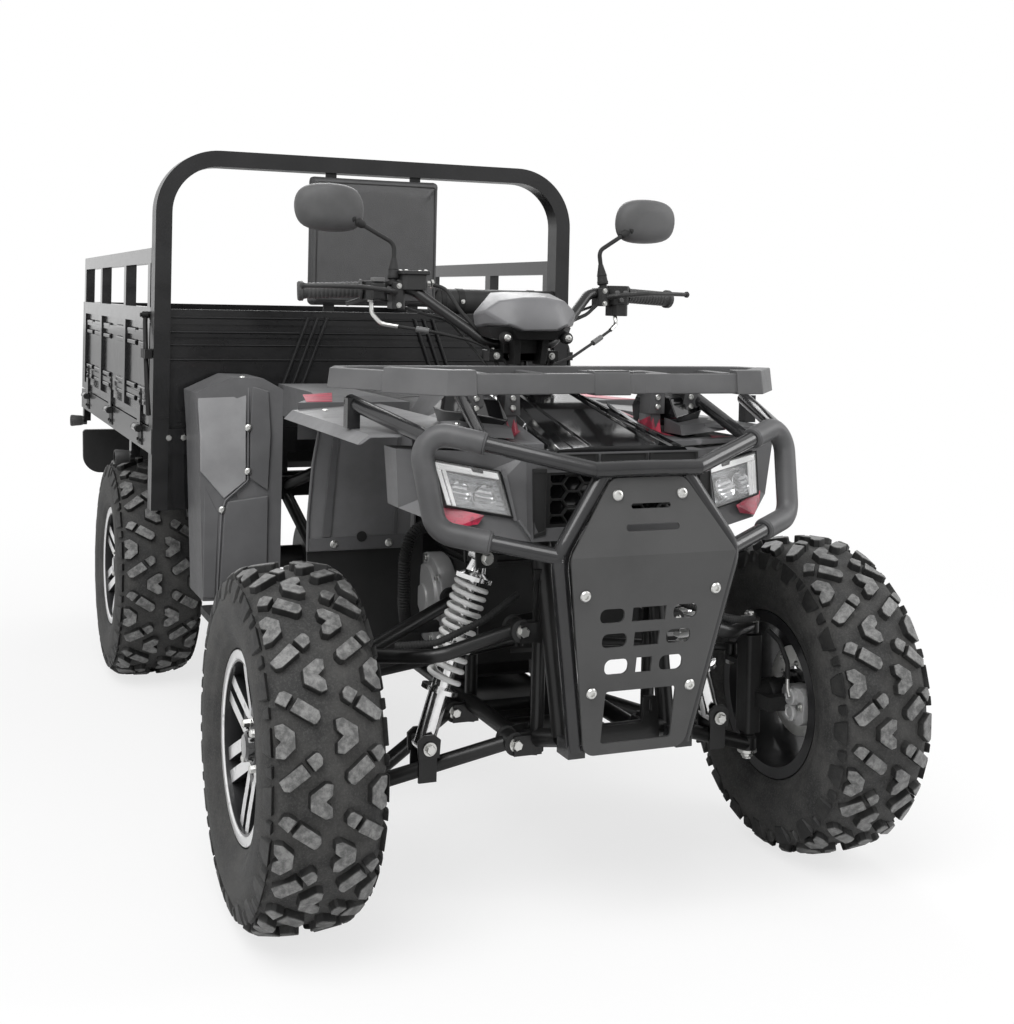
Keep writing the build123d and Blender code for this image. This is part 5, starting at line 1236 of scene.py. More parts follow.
class QUAD_OT_bumper(bpy.types.Operator):
    """Bends the bumper's gloss tubes, their matt sleeves and the plate's bolts"""

    bl_idname = "quad.bumper"
    bl_label = "Bumper"

    def execute(self, context):
        tubes = Form()
        tubes.tube([UPPER_BEND + Vector((-0.003, 0, 0)), UPPER_BEND + Vector((0.004, 0.0025, 0.0012)),
                    WING_TOP,
                    WING_LOW, WING_ROOT], 0.014, 0.042, 20)
        tubes.tube([at(0.354, -0.179, 0.872), at(0.421, 0.056, 0.917)], 0.014, steps=20)
        tubes.tube([at(0.075, -0.302, 0.822), at(0.168, -0.3215, 0.684), at(0.105, -0.2695, 0.340)], 0.015,
                   0.060, 20)
        tubes.tube([at(0.262, -0.222, 0.860), at(0.241, -0.040, 0.9324)], 0.012, steps=16)
        tubes.block(at(0.409, 0.030, 0.8698), at(0.433, 0.056, 0.925))
        tubes.block(at(0.089, -0.2775, 0.326), at(0.121, -0.2303, 0.356))
        tubes.mirrored()
        tubes.tube([UPPER_BEND + Vector((0.002, 0, 0)), UPPER_CENTRE,
                    Vector((-UPPER_BEND.x - 0.002, UPPER_BEND.y, UPPER_BEND.z))], 0.014, 0.4, 20)
        tubes.piece("bumper_tubes", "chassis", finishes("tube_gloss"), "bumper", sharp=40,
                    replaces=("bumper_frame",))
        sleeves = Form()
        start = WING_TOP + (UPPER_BEND - WING_TOP).normalized() * 0.118
        end = WING_LOW + (WING_ROOT - WING_LOW).normalized() * 0.092
        sleeves.tube([start, WING_TOP, WING_LOW, end], 0.020, 0.042, 24)
        for tip, way in ((start, UPPER_BEND - WING_TOP), (end, WING_ROOT - WING_LOW)):
            sleeves.lathe(tip, way, [(0.0, 0.0198), (0.0035, 0.0188), (0.0045, 0.0142)], 24)
        sleeves.mirrored().piece("bumper_sleeves", "chassis", finishes("sleeve"), "bumper", bevel=0.0012,
                                 sharp=40)

        bolts = Form()
        for x, z, face in ((0.062, 0.784, 1), (0.125, 0.619, -1), (0.095, 0.446, -1)):
            depth, tilt = self.plate_depth(z)
            for side in (-1, 1):
                bolts.button(at(side * x, depth, z), (0, -1, tilt), 0.0098)
        bolts.piece("plate_bolts", "chassis", finishes("zinc"), "steel", sharp=30)
        return {"FINISHED"}

    def plate_depth(self, height):
        """How far forward the plate's face lies at a height, and how much it looks up."""
        if height > 0.685:
            lean = 0.032 / 0.127
            return -0.350 + (height - 0.685) * lean, lean
        lean = 0.062 / 0.353
        return -0.350 + (0.685 - height) * lean, -lean


# Front bodywork

class QUAD_OT_nose(bpy.types.Operator):
    """Sets the hexagon mesh in the nose, with its border, side panels and trim strip"""

    bl_idname = "quad.nose"
    bl_label = "Nose and mesh"

    def execute(self, context):
        mesh = Form()
        mesh.block(at(-0.164, -0.2085, 0.7165), at(0.164, -0.2075, 0.8115), 1)
        for column in range(-5, 6):
            for row in range(-1, 5):
                middle = Vector((column * 0.031, 0, 0.722 + row * 0.0275 + (column % 2) * 0.01375))
                self.cell(mesh, middle)
        for x in (-0.152, 0.152):
            mesh.block(at(x - 0.012, -0.222, 0.7165), at(x + 0.012, -0.208, 0.8115))
        for z in (0.7175, 0.8105):
            mesh.block(at(-0.160, -0.2215, z - 0.003), at(0.160, -0.208, z + 0.003))
        mesh.piece("nose_mesh", "chassis", finishes("black_plastic", "gloss"), "gloss_black", bevel=0.0006,
                   segments=1,
                   replaces=("nose_grille",))

        trim = Form()
        for low, high in ((-0.149, -0.051), (-0.046, 0.046), (0.051, 0.149)):
            back = 0.003 if low * high > 0 else 0.0
            trim.framed_panel([at(low, -0.2315 + back, 0.823), at(high, -0.2315 + back, 0.823),
                               at(high, -0.2315 + back, 0.8435), at(low, -0.2315 + back, 0.8435)], 0.0025,
                              0.004)
        side = Form()
        side.framed_panel([at(0.1515, -0.2325, 0.706), at(0.1735, -0.2305, 0.700), at(0.1765, -0.2285, 0.820),
                           at(0.1515, -0.2325, 0.820)], 0.003, 0.005)
        side.mirrored()
        trim.add(side.points, side.faces)
        trim.piece("nose_trim", "chassis", finishes("black_plastic"), "body", bevel=0.0009)
        return {"FINISHED"}

    def cell(self, form, middle):
        """A hexagon of thin bar, cut off at the edge of the opening."""
        rings = []
        for depth, size in ((-0.2105, 0.87), (-0.2165, 0.90), (-0.2175, 0.93), (-0.2175, 1.0)):
            corners = [(-0.0205, 0), (-0.0105, -0.01375), (0.0105, -0.01375), (0.0205, 0), (0.0105, 0.01375),
                       (-0.0105, 0.01375)]
            ring = []
            for x, z in corners:
                place = middle + Vector((x * size, 0, z * size))
                ring.append(at(max(-0.163, min(0.163, place.x)), depth, max(0.717, min(0.811, place.z))))
            rings.append(ring)
        form.rings(rings, caps=False)


class QUAD_OT_headlamps(bpy.types.Operator):
    """Builds both headlamps: bezel, streaked reflector, white light strips and the clear lens"""

    bl_idname = "quad.headlamps"
    bl_label = "Headlamps"

    def execute(self, context):
        outline = [at(0.330, -0.135, 0.831), at(0.210, -0.160, 0.809), at(0.200, -0.202, 0.732),
                   at(0.315, -0.170, 0.752)]
        middle = sum(outline, Vector()) / 4
        face = (outline[1] - outline[0]).cross(outline[3] - outline[0]).normalized()
        if face.y > 0:
            face = -face

        def ring(size, depth):
            return [middle + (corner - middle) * size + face * depth for corner in outline]

        def spot(across, down, depth):
            """A place on the lamp's face: 0 to 1 from its outer side and from its top."""
            high = outline[0].lerp(outline[1], across)
            low = outline[3].lerp(outline[2], across)
            return high.lerp(low, down) + face * depth

        lamp = Form()
        lamp.rings([ring(1.0, -0.012), ring(1.0, 0.003), ring(0.97, 0.005), ring(0.93, 0.002),
                    ring(0.92, -0.012)],
                   caps=False, finish=0)
        for i in range(7):
            high, low = 0.22 + i * 0.105, 0.22 + (i + 1) * 0.105
            lamp.add([spot(0.05, high, -0.006), spot(0.95, high, -0.006), spot(0.95, low - 0.01, -0.016),
                      spot(0.05, low - 0.01, -0.016)], [(0, 1, 2, 3)], 1)
            lamp.add([spot(0.05, low - 0.01, -0.016), spot(0.95, low - 0.01, -0.016), spot(0.95, low, -0.006),
                      spot(0.05, low, -0.006)], [(0, 1, 2, 3)], 1)
        for across in (0.30, 0.66):
            centre = spot(across, 0.62, -0.014)
            lamp.lathe(centre, face, [(0.0, 0.006), (0.002, 0.0185), (0.007, 0.0225), (0.0085, 0.0215),
                                      (0.004, 0.0165),
                                      (0.002, 0.008)], 28, 1)
        strip = [spot(0.04, 0.06, -0.004), spot(0.95, 0.06, -0.004), spot(0.95, 0.19, -0.004),
                 spot(0.04, 0.19, -0.004)]
        lamp.prism(strip, face * 0.005, 2)
        lamp.prism([spot(0.56, 0.045, 0.0), spot(0.74, 0.045, 0.0), spot(0.73, 0.13, 0.0),
                    spot(0.58, 0.13, 0.0)],
                   face * 0.003, 0)
        for low, high in ((0.03, 0.10), (0.125, 0.175)):
            lamp.prism([spot(low, 0.20, -0.004), spot(high, 0.20, -0.004), spot(high, 0.95, -0.004),
                        spot(low, 0.95, -0.004)], face * 0.005, 2)
        lamp.mirrored().piece("headlamp_bowls", "chassis", finishes("black_plastic", "reflector",
                                                                    "white_strip"), "lamp",
                              bevel=0.0006, segments=1, sharp=25, replaces=("headlamps",))
        lens = Form()
        lens.rings([ring(0.94, 0.0005), ring(0.94, 0.003), ring(0.80, 0.0055), ring(0.35, 0.0065)], caps=True)
        lens.mirrored().piece("headlamp_lenses", "chassis", finishes("lens"), "lamp", sharp=30)

        edge = Form()
        edge.prism([at(0.2005, -0.2035, 0.7285), at(0.1955, -0.2055, 0.728), at(0.2045, -0.1705, 0.8135),
                    at(0.2095, -0.1625, 0.8125)], (0, -0.004, 0))
        edge.prism([at(0.1955, -0.2075, 0.728), at(0.172, -0.221, 0.6935), at(0.168, -0.221, 0.6945),
                    at(0.1915, -0.2085, 0.731)], (0, -0.004, 0))
        edge.mirrored().piece("lamp_edges", "chassis", finishes("bezel"), "body", bevel=0.0008)
        red = Form()
        shown = [((0.335, 0.7565), (0.252, 0.7375), (0.262, 0.7225), (0.300, 0.7165), (0.331, 0.7365))]
        for corners in shown:
            red.prism([self.strip_place(x, z) for x, z in corners], (0, -0.0012, 0.0003))
        red.mirrored().piece("lamp_patches", "chassis", finishes("red"), "body", sharp=30)
        return {"FINISHED"}

    def strip_place(self, x, z):
        """A place on the fairing strip under the lamp."""
        share = (x - 0.165) / 0.135
        front = -0.214 + 0.036 * min(share, 1.0) + max(x - 0.300, 0) * (0.078 / 0.076)
        return at(x, front - 0.0035, z)


class QUAD_OT_bonnet(bpy.types.Operator):
    """Adds the bonnet's creases and vents, the faceted pods beside it and the printed patches of the cowl"""

    bl_idname = "quad.bonnet"
    bl_label = "Bonnet and cowl"

    def execute(self, context):
        ridges = Form()
        for front_x, rear_x, high, rear_high in ((0.064, 0.057, 0.8560, 0.9385), (0.0985, 0.0885, 0.8530,
                                                                                  0.9255)):
            route = [at(front_x, -0.2215, high), at(rear_x, 0.186, rear_high)]
            width = 0.0035
            ridges.rings([[p + Vector((-width, 0, -0.002)), p + Vector((0, 0, 0.0032)),
                           p + Vector((width, 0, -0.002))]
                          for p in route])
        ridges.mirrored().piece("bonnet_creases", "chassis", finishes("gloss"), "gloss_black", bevel=0.0006,
                                segments=2)
        vents = Form()
        for y, z in ((-0.02, 0.8835), (0.035, 0.8945)):
            inner, outer = [], []
            for corner in ((-0.028, -0.0045), (0.030, -0.0015), (0.030, 0.0045), (-0.026, 0.002)):
                inner.append(at(0.1165 - corner[1] * 1.3, y + corner[0],
                                z + corner[1] * 1.6 + corner[0] * 0.2))
            middle = sum(inner, Vector()) / 4
            outer = [middle + (p - middle) * 1.16 for p in inner]
            out = Vector((0.8, 0, 0.6))
            vents.rings([[p for p in outer], [p + out * 0.0025 for p in outer], [p + out * 0.0025
                                                                                 for p in inner],
                         [p - out * 0.002 for p in inner]], caps=False)
            vents.add([p + out * 0.0004 for p in inner], [(0, 1, 2, 3)], 1)
        vents.mirrored().piece("bonnet_vents", "chassis", finishes("reflector", "black_plastic"),
                               "gloss_black",
                               bevel=0.0004, segments=1)

        pods = Form()
        pods.hull([at(0.247, -0.070, 0.905), at(0.262, -0.010, 0.903), at(0.258, 0.060, 0.905),
                   at(0.172, -0.105, 0.893),
                   at(0.168, 0.070, 0.905), at(0.238, -0.040, 0.928), at(0.236, 0.040, 0.934),
                   at(0.176, -0.070, 0.926),
                   at(0.172, 0.050, 0.936), at(0.190, -0.090, 0.872), at(0.240, -0.060, 0.872),
                   at(0.250, 0.050, 0.872),
                   at(0.172, 0.070, 0.872)], 0)
        pods.hull([at(0.240, -0.038, 0.9286), at(0.237, 0.040, 0.9345), at(0.178, -0.066, 0.9266),
                   at(0.174, 0.050, 0.9365),
                   at(0.236, -0.030, 0.9316), at(0.232, 0.036, 0.9375), at(0.184, -0.058, 0.9296),
                   at(0.180, 0.046, 0.9395)], 1)
        pods.hull([at(0.286, -0.098, 0.868), at(0.292, -0.050, 0.868), at(0.282, -0.092, 0.884),
                   at(0.286, -0.048, 0.888),
                   at(0.170, -0.132, 0.862), at(0.170, -0.060, 0.862), at(0.172, -0.120, 0.880),
                   at(0.172, -0.055, 0.892)],
                  1)
        pods.mirrored().piece("cowl_pods", "chassis", finishes("gloss", "body"), "gloss_black", bevel=0.0022)

        patches = Form()
        for corners in (((0.150, 0.095, 0.004), (0.232, 0.060, 0.003), (0.236, 0.150, 0.002),
                         (0.160, 0.175, 0.004)),
                        ((0.135, -0.075, 0.002), (0.172, -0.1, 0.002), (0.168, -0.02, 0.002),
                         (0.140, 0.0, 0.002)),
                        ((0.245, -0.115, 0.002), (0.300, -0.095, 0.002), (0.272, -0.055, 0.002))):
            patches.drape(corners, "cowl_panels")
        patches.mirrored().piece("cowl_patches", "chassis", finishes("red"), "body", sharp=30)
        caps = Form()
        caps.lathe(at(0.212, 0.085, 0.8955), (0.25, -0.2, 0.95), [(-0.02, 0.019), (0.004, 0.019),
                                                                  (0.006, 0.0165),
                                                                   (0.004, 0.013), (0.006, 0.0)], 28)
        caps.mirrored().piece("cowl_caps", "chassis", finishes("black_plastic"), "black_plastic",
                              bevel=0.0008)
        return {"FINISHED"}


class QUAD_OT_fenders(bpy.types.Operator):
    """Adds the mudguards' pressed lines, screwed strip and rolled edges, and the fairing's patches"""

    bl_idname = "quad.fenders"
    bl_label = "Fenders"

    def execute(self, context):
        strips = Form()
        face = 0.4142
        strips.prism([at(0.178, face, 0.5785), at(0.398, face, 0.5785), at(0.398, face, 0.606),
                      at(0.178, face, 0.606)],
                     (0, -0.003, 0))
        strips.prism([at(0.330, face, 0.868), at(0.341, face, 0.868), at(0.357, face, 0.76),
                      at(0.371, face, 0.607),
                      at(0.352, face, 0.607), at(0.342, face, 0.76)], (0, -0.0035, 0))
        strips.prism([at(0.196, face, 0.845), at(0.206, face, 0.852), at(0.214, face, 0.76),
                      at(0.214, face, 0.607),
                      at(0.206, face, 0.607), at(0.206, face, 0.75)], (0, -0.0025, 0))
        strips.tube([at(0.4, face, 0.579), at(0.4, face, 0.65), at(0.392, face, 0.76),
                     at(0.375, face, 0.862)], 0.0035,
                    0.05, 12)
        strips.mirrored().piece("mudguard_strips", "chassis", finishes("body"), "body", bevel=0.0009)
        screws = Form()
        for x, z in ((0.225, 0.590), (0.345, 0.592)):
            screws.button(at(x, face - 0.003, z), (0, -1, 0), 0.0085)
        for x, y, z in ((0.262, -0.080, 0.8845), (0.400, 0.300, 0.8802)):
            screws.button(at(x, y, z), (0, 0, 1), 0.007)
        screws.mirrored().piece("mudguard_screws", "chassis", finishes("zinc"), "steel", sharp=30)
        prints = Form()
        prints.prism([at(0.345, 0.690, 0.8845), at(0.262, 0.745, 0.8845), at(0.335, 0.480, 0.8845),
                      at(0.392, 0.480, 0.8845)],
                     (0, 0, 0.0008))
        prints.mirrored().piece("fairing_prints", "chassis", finishes("red"), "body")
        notch = Form()
        notch.lathe(at(0.285, face - 0.0031, 0.6055), (0, -1, 0), [(0, 0.011), (0.0012, 0.011),
                                                                   (0.0012, 0.0)], 24)
        notch.mirrored().piece("mudguard_notches", "chassis", finishes("black_plastic"), "black_plastic")
        return {"FINISHED"}


class QUAD_OT_rear_guards(bpy.types.Operator):
    """Lays the raised covers, bolted seams and lower panels on the rear guards; the upper covers take a paler grey
    that is painted light
    """

    bl_idname = "quad.rear_guards"
    bl_label = "Rear guards"

    def execute(self, context):
        cover = Form()
        top = [(0.388, 0.893, 0.002), (0.424, 0.896, 0.002), (0.5075, 0.861, 0.002)]
        waist = [(0.392, 0.757, 0.016), (0.5015, 0.757, 0.016)]
        low = [(0.389, 0.645, 0.012), (0.4405, 0.600, 0.009), (0.4985, 0.668, 0.010)]
        edge = [top[0], top[1], top[2], waist[1], low[2], low[1], low[0], waist[0]]
        front = [self.place(x, z, rise) for x, z, rise in edge]
        back = [self.place(x, z, -0.006) for x, z, rise in edge]
        upper = Form()
        upper.add(front + back, [(0, 1, 2, 3, 7), (7, 3, 4, 5, 6)] +
                  [(i, i + 8, (i + 1) % 8 + 8, (i + 1) % 8) for i in range(8)])
        # The upper covers take the palest body copy: painted light on the tilted-up panel.
        upper.mirrored().piece("rear_guard_tops", "chassis", finishes("body_painted_lit_top"), "body", bevel=0.0028,
                               segments=3)
        cover.panel(self.place, ((0.334, 0.606, 0.009), (0.432, 0.592, 0.009), (0.440, 0.560, 0.009),
                                 (0.449, 0.352, 0.007), (0.333, 0.350, 0.007)))
        cover.panel(self.place, ((0.452, 0.560, 0.004), (0.489, 0.640, 0.004), (0.487, 0.352, 0.004),
                                 (0.457, 0.350, 0.004)))
        cover.panel(self.place, ((0.336, 0.868, 0.006), (0.376, 0.880, 0.006), (0.3815, 0.770, 0.012),
                                 (0.380, 0.650, 0.010), (0.334, 0.618, 0.006), (0.330, 0.760, 0.010)))
        cover.mirrored().piece("rear_guard_covers", "chassis", finishes("body"), "body", bevel=0.0028,
                               segments=3)
        seams = Form()
        seams.tube([self.place(0.385, 0.885, 0.003), self.place(0.3865, 0.770, 0.012), self.place(0.3845,
                                                                                                  0.645, 0.010),
                    self.place(0.437, 0.596, 0.008), self.place(0.446, 0.565, 0.006), self.place(0.453, 0.352,
                                                                                                 0.005)],
                   0.0022, 0.008, 8)
        seams.mirrored().piece("rear_guard_seams", "chassis", finishes("bezel"), "body")
        bolts = Form()
        for x, z, rise in ((0.3865, 0.777, 0.0125), (0.3855, 0.668, 0.011), (0.445, 0.572, 0.007)):
            bolts.button(self.place(x, z, rise), (0.18, -1, 0.1), 0.0095)
        bolts.button(self.place(0.398, 0.9005, -0.010), (0, -0.2, 1), 0.008)
        bolts.mirrored().piece("rear_guard_bolts", "chassis", finishes("zinc"), "steel", sharp=30)
        return {"FINISHED"}

    def place(self, x, z, rise):
        """A place on the guard's front face, raised from it."""
        lean = max(z - 0.76, 0) * 0.118
        return at(x, 1.054 + (x - 0.300) * 0.183 + lean * (x - 0.3) * 4 - rise, z)


class QUAD_OT_rack(bpy.types.Operator):
    """Steps the rack's rails with their moulded blocks, the raised clip in the middle and the pierced feet"""

    bl_idname = "quad.rack"
    bl_label = "Front rack"

    def execute(self, context):
        shells = Form()
        for low, high, base, top, proud in ((0.122, 0.260, 0.9435, 0.9805, 0.004),):
            for side in (-1, 1):
                ends = sorted((side * low, side * high))
                shells.rail_block(at(ends[0], -0.172, base), at(ends[1], -0.1415, top), proud)
        shells.rail_block(at(-0.034, -0.172, 0.9415), at(0.039, -0.136, 0.9858), 0.0085)
        shells.rail_block(at(0.046, -0.172, 0.9435), at(0.072, -0.140, 0.9845), 0.004)
        corner = Form()
        corner.rail_sweep([at(0.262, -0.1575, 0.9645), at(0.306, -0.1575, 0.9645), at(0.389, -0.062, 0.9645)],
                          0.0145, 0.0225)
        corner.mirrored()
        shells.add(corner.points, corner.faces)
        tray = Form()
        ring = [(0.300, -0.157), (0.386, -0.062), (0.453, 0.040), (0.430, 0.098), (0.378, 0.108)]
        ring = [at(x, y, 0.9625) for x, y in ring] + [at(-x, y, 0.9625) for x, y in reversed(ring)]
        tray.rail_loop(ring, 0.0135, 0.0180)
        for x, half in ((-0.340, 0.011), (-0.189, 0.013), (-0.068, 0.011), (0.068, 0.011), (0.189, 0.013),
                        (0.340, 0.011)):
            front = -0.146 if abs(x) < 0.3 else -0.100
            tray.rings([[at(x - half, y, 0.948), at(x - half * 0.8, y, 0.9735), at(x + half * 0.8, y, 0.9735),
                         at(x + half, y, 0.948)] for y in (front, 0.098)])
        tray.rings([[at(x, -0.040, 0.950), at(x, -0.036, 0.9715), at(x, -0.012, 0.9715), at(x, -0.008, 0.950)]
                    for x in (-0.340, 0.340)])
        for x in (0.150, 0.222):
            for side in (-1, 1):
                tray.block(at(side * x - 0.010, -0.064, 0.8955), at(side * x + 0.010, -0.016, 0.9505))
        tray.piece("rack_tray", "chassis", finishes("rack"), "rack", bevel=0.0020, segments=3,
                   replaces=("front_rack",))
        shells.piece("rack_blocks", "chassis", finishes("rack"), "rack", bevel=0.0022, segments=3)
        feet = Form()
        for x in (0.150, 0.222):
            feet.prism([at(x - 0.002, -0.070, 0.902), at(x - 0.002, -0.020, 0.900), at(x - 0.002, -0.026,
                                                                                       0.945),
                        at(x - 0.002, -0.052, 0.947)], (0.004, 0, 0))
            feet.prism([at(x - 0.017, -0.068, 0.898), at(x + 0.017, -0.068, 0.898), at(x + 0.015, -0.072,
                                                                                       0.944),
                        at(x - 0.013, -0.072, 0.944)], (0, 0.004, 0))
        feet.mirrored().piece("rack_feet", "chassis", finishes("rack"), "rack", bevel=0.0012)
        screws = Form()
        for x in (0.150, 0.222):
            for z in (0.912, 0.930):
                screws.button(at(x, -0.0715, z), (0, -1, 0), 0.0058)
        screws.mirrored().piece("rack_screws", "chassis", finishes("zinc"), "steel", sharp=30)
        return {"FINISHED"}


# Steering head

GRIP_START = at(0.306, 0.378, 1.125)
GRIP_END = at(0.431, 0.405, 1.119)
MIRROR_ARM = (at(0.243, 0.361, 1.1464), at(0.238, 0.374, 1.222), at(0.318, 0.392, 1.268))


class QUAD_OT_mirrors(bpy.types.Operator):
    """Moulds the two mirror shells with their glasses, necks, bent arms and boots"""

    bl_idname = "quad.mirrors"
    bl_label = "Mirrors"

    def execute(self, context):
        outline = [(0.2955, 1.296), (0.306, 1.326), (0.330, 1.342), (0.394, 1.344), (0.432, 1.333),
                   (0.445, 1.303),
                   (0.437, 1.262), (0.408, 1.246), (0.335, 1.243), (0.300, 1.256)]
        middle = Vector((0.368, 1.294))
        shell = Form()
        rings = []
        for depth, size in ((-0.0195, 0.30), (-0.0175, 0.62), (-0.010, 0.88), (0.001, 1.01), (0.012, 1.035),
                            (0.0175, 1.02), (0.0185, 0.985), (0.0150, 0.955)):
            ring = []
            for x, z in outline:
                place = middle + (Vector((x, z)) - middle) * size
                ring.append(at(place.x, 0.398 + depth, place.y))
            rings.append(ring)
        shell.rings(rings)
        shell.mirrored().piece("mirror_shells", "steering", finishes("mirror_shell"), "controls", subdivide=2,
                               replaces=("mirrors",))
        glass = Form()
        glass.rings([[at(middle.x + (x - middle.x) * size, 0.398 + depth, middle.y + (z - middle.y) * size)
                      for x, z in outline] for depth, size in ((0.0140, 0.93), (0.0162, 0.93),
                                                               (0.0166, 0.90))])
        glass.mirrored().piece("mirror_glasses", "steering", finishes("mirror_glass"), "chrome", subdivide=1)
        arms = Form()
        foot, bend, tip = MIRROR_ARM
        arms.tube([foot, bend, tip], 0.0048, 0.022, 14)
        way = (tip - bend).normalized()
        arms.lathe(tip - way * 0.022, way, [(0, 0.0062), (0.004, 0.0085), (0.016, 0.0092), (0.018, 0.0072),
                                            (0.022, 0.0068),
                                            (0.024, 0.0105), (0.034, 0.0125), (0.046, 0.0150)], 20)
        rise = (bend - foot).normalized()
        boot = [(-0.012, 0.0125), (-0.004, 0.0125), (-0.003, 0.0085), (0.001, 0.0085), (0.002, 0.0120),
                (0.008, 0.0125),
                (0.010, 0.0115), (0.020, 0.0105), (0.021, 0.0112), (0.024, 0.0105), (0.038, 0.0072),
                (0.046, 0.0055)]
        arms.lathe(foot, rise, boot, 22)
        arms.mirrored().piece("mirror_arms", "steering", finishes("rubber"), "controls", sharp=40)
        return {"FINISHED"}


class QUAD_OT_controls(bpy.types.Operator):
    """Makes the ribbed grips, levers, switch boxes, brake reservoir and the cables of the handlebar"""

    bl_idname = "quad.controls"
    bl_label = "Hand controls"

    def execute(self, context):
        grips = Form()
        axis = GRIP_END - GRIP_START
        length = axis.length
        profile = [(0.0, 0.0120), (0.0, 0.0215), (0.004, 0.0215), (0.006, 0.0168)]
        for i in range(12):
            start = 0.009 + i * 0.0085
            profile += [(start, 0.0155), (start + 0.002, 0.0166), (start + 0.0058, 0.0166),
                        (start + 0.0075, 0.0155)]
        profile += [(length - 0.009, 0.0168), (length - 0.007, 0.0205), (length + 0.001, 0.0205),
                    (length + 0.004, 0.0175), (length + 0.0045, 0.0)]
        grips.lathe(GRIP_START, axis, profile, 32, caps=False)
        grips.mirrored().piece("ribbed_grips", "steering", finishes("grip"), "rubber", sharp=35,
                               replaces=("grips",))

        boxes = Form()
        boxes.hull(self.box_points(0.252, 0.303, 0.342, 0.398, 1.104, 1.146, 0.009))
        boxes.hull(self.box_points(0.262, 0.300, 0.344, 0.392, 1.079, 1.108, 0.007))
        boxes.hull(self.box_points(-0.304, -0.258, 0.343, 0.398, 1.104, 1.143, 0.009))
        boxes.hull(self.box_points(-0.297, -0.266, 0.334, 0.346, 1.106, 1.138, 0.004))
        boxes.hull(self.box_points(-0.231, -0.176, 0.330, 0.372, 1.126, 1.158, 0.006))
        boxes.hull(self.box_points(-0.235, -0.172, 0.326, 0.376, 1.158, 1.166, 0.003))
        boxes.hull(self.box_points(-0.250, -0.222, 0.338, 0.384, 1.086, 1.142, 0.006))
        boxes.hull(self.box_points(0.224, 0.250, 0.338, 0.384, 1.100, 1.140, 0.006))
        boxes.piece("control_boxes", "steering", finishes("control"), "controls", bevel=0.0016, segments=3,
                    replaces=("hand_controls",))
        small = Form()
        for x, y, z in ((0.268, 0.340, 1.130), (0.288, 0.340, 1.130), (0.278, 0.340, 1.114)):
            small.lathe((x, FRONT_AXLE + y, z), (0, -1, 0), [(-0.004, 0.0055), (0.003, 0.0055),
                                                             (0.004, 0.0045)], 16)
        small.block(at(-0.292, 0.334, 1.142), at(-0.270, 0.362, 1.150))
        small.tube([at(-0.285, 0.392, 1.112), at(-0.312, 0.402, 1.100), at(-0.330, 0.408, 1.094)], 0.005,
                   0.01, 10)
        small.piece("control_buttons", "steering", finishes("control_pale"), "controls", bevel=0.0008)
        levers = Form()
        for side in (1, -1):
            route = [at(side * 0.236, 0.352, 1.118), at(side * 0.262, 0.322, 1.124), at(side * 0.330, 0.318,
                                                                                        1.130),
                     at(side * 0.400, 0.330, 1.1305), at(side * 0.440, 0.338, 1.130)]
            levers.tube(route, lambda share: 0.0062 - 0.0016 * share, 0.02, 14)
            levers.lathe(route[-1] - Vector((side * 0.004, 0, 0)), (side, 0.15, 0),
                         [(0, 0.003), (0.003, 0.0066),
                                                                                      (0.008, 0.0072),
                          (0.012, 0.0035)], 16)
            levers.lathe(at(side * 0.237, 0.350, 1.104), (0, 0, 1), [(0, 0.008), (0.028, 0.008)], 16)
        levers.piece("levers", "steering", finishes("control"), "controls", sharp=50, bevel=0.0006)
        metal_bits = Form()
        for x, y, z in ((-0.225, 0.332, 1.1665), (-0.182, 0.332, 1.1665), (-0.225, 0.370, 1.1665),
                        (-0.182, 0.370, 1.1665)):
            metal_bits.button((x, FRONT_AXLE + y, z - 0.0005), (0, 0, 1), 0.0042)
        for x, z in ((-0.237, 1.094), (-0.237, 1.134), (0.237, 1.106), (0.237, 1.134)):
            metal_bits.bolt(at(x, 0.3385, z), (0, -1, 0), 0.0042)
        metal_bits.lathe(at(-0.168, 0.350, 1.139), (1, 0, 0), [(-0.01, 0.007), (0.002, 0.007), (0.004, 0.010),
                                                               (0.009, 0.010),
                                                                (0.010, 0.006)], 6)
        elbow = [at(-0.290, 0.362, 1.106), at(-0.290, 0.356, 1.076), at(-0.272, 0.345, 1.055),
                 at(-0.240, 0.334, 1.050)]
        metal_bits.tube(elbow, 0.0046, 0.020, 12)
        metal_bits.lathe(elbow[0], (0, -0.1, -1), [(-0.004, 0.0072), (0.006, 0.0072), (0.007, 0.005)], 6)
        elbow = [at(0.272, 0.358, 1.082), at(0.272, 0.350, 1.062), at(0.252, 0.338, 1.048)]
        metal_bits.tube(elbow, 0.0046, 0.016, 12)
        metal_bits.piece("control_fittings", "steering", finishes("zinc"), "steel", sharp=30)

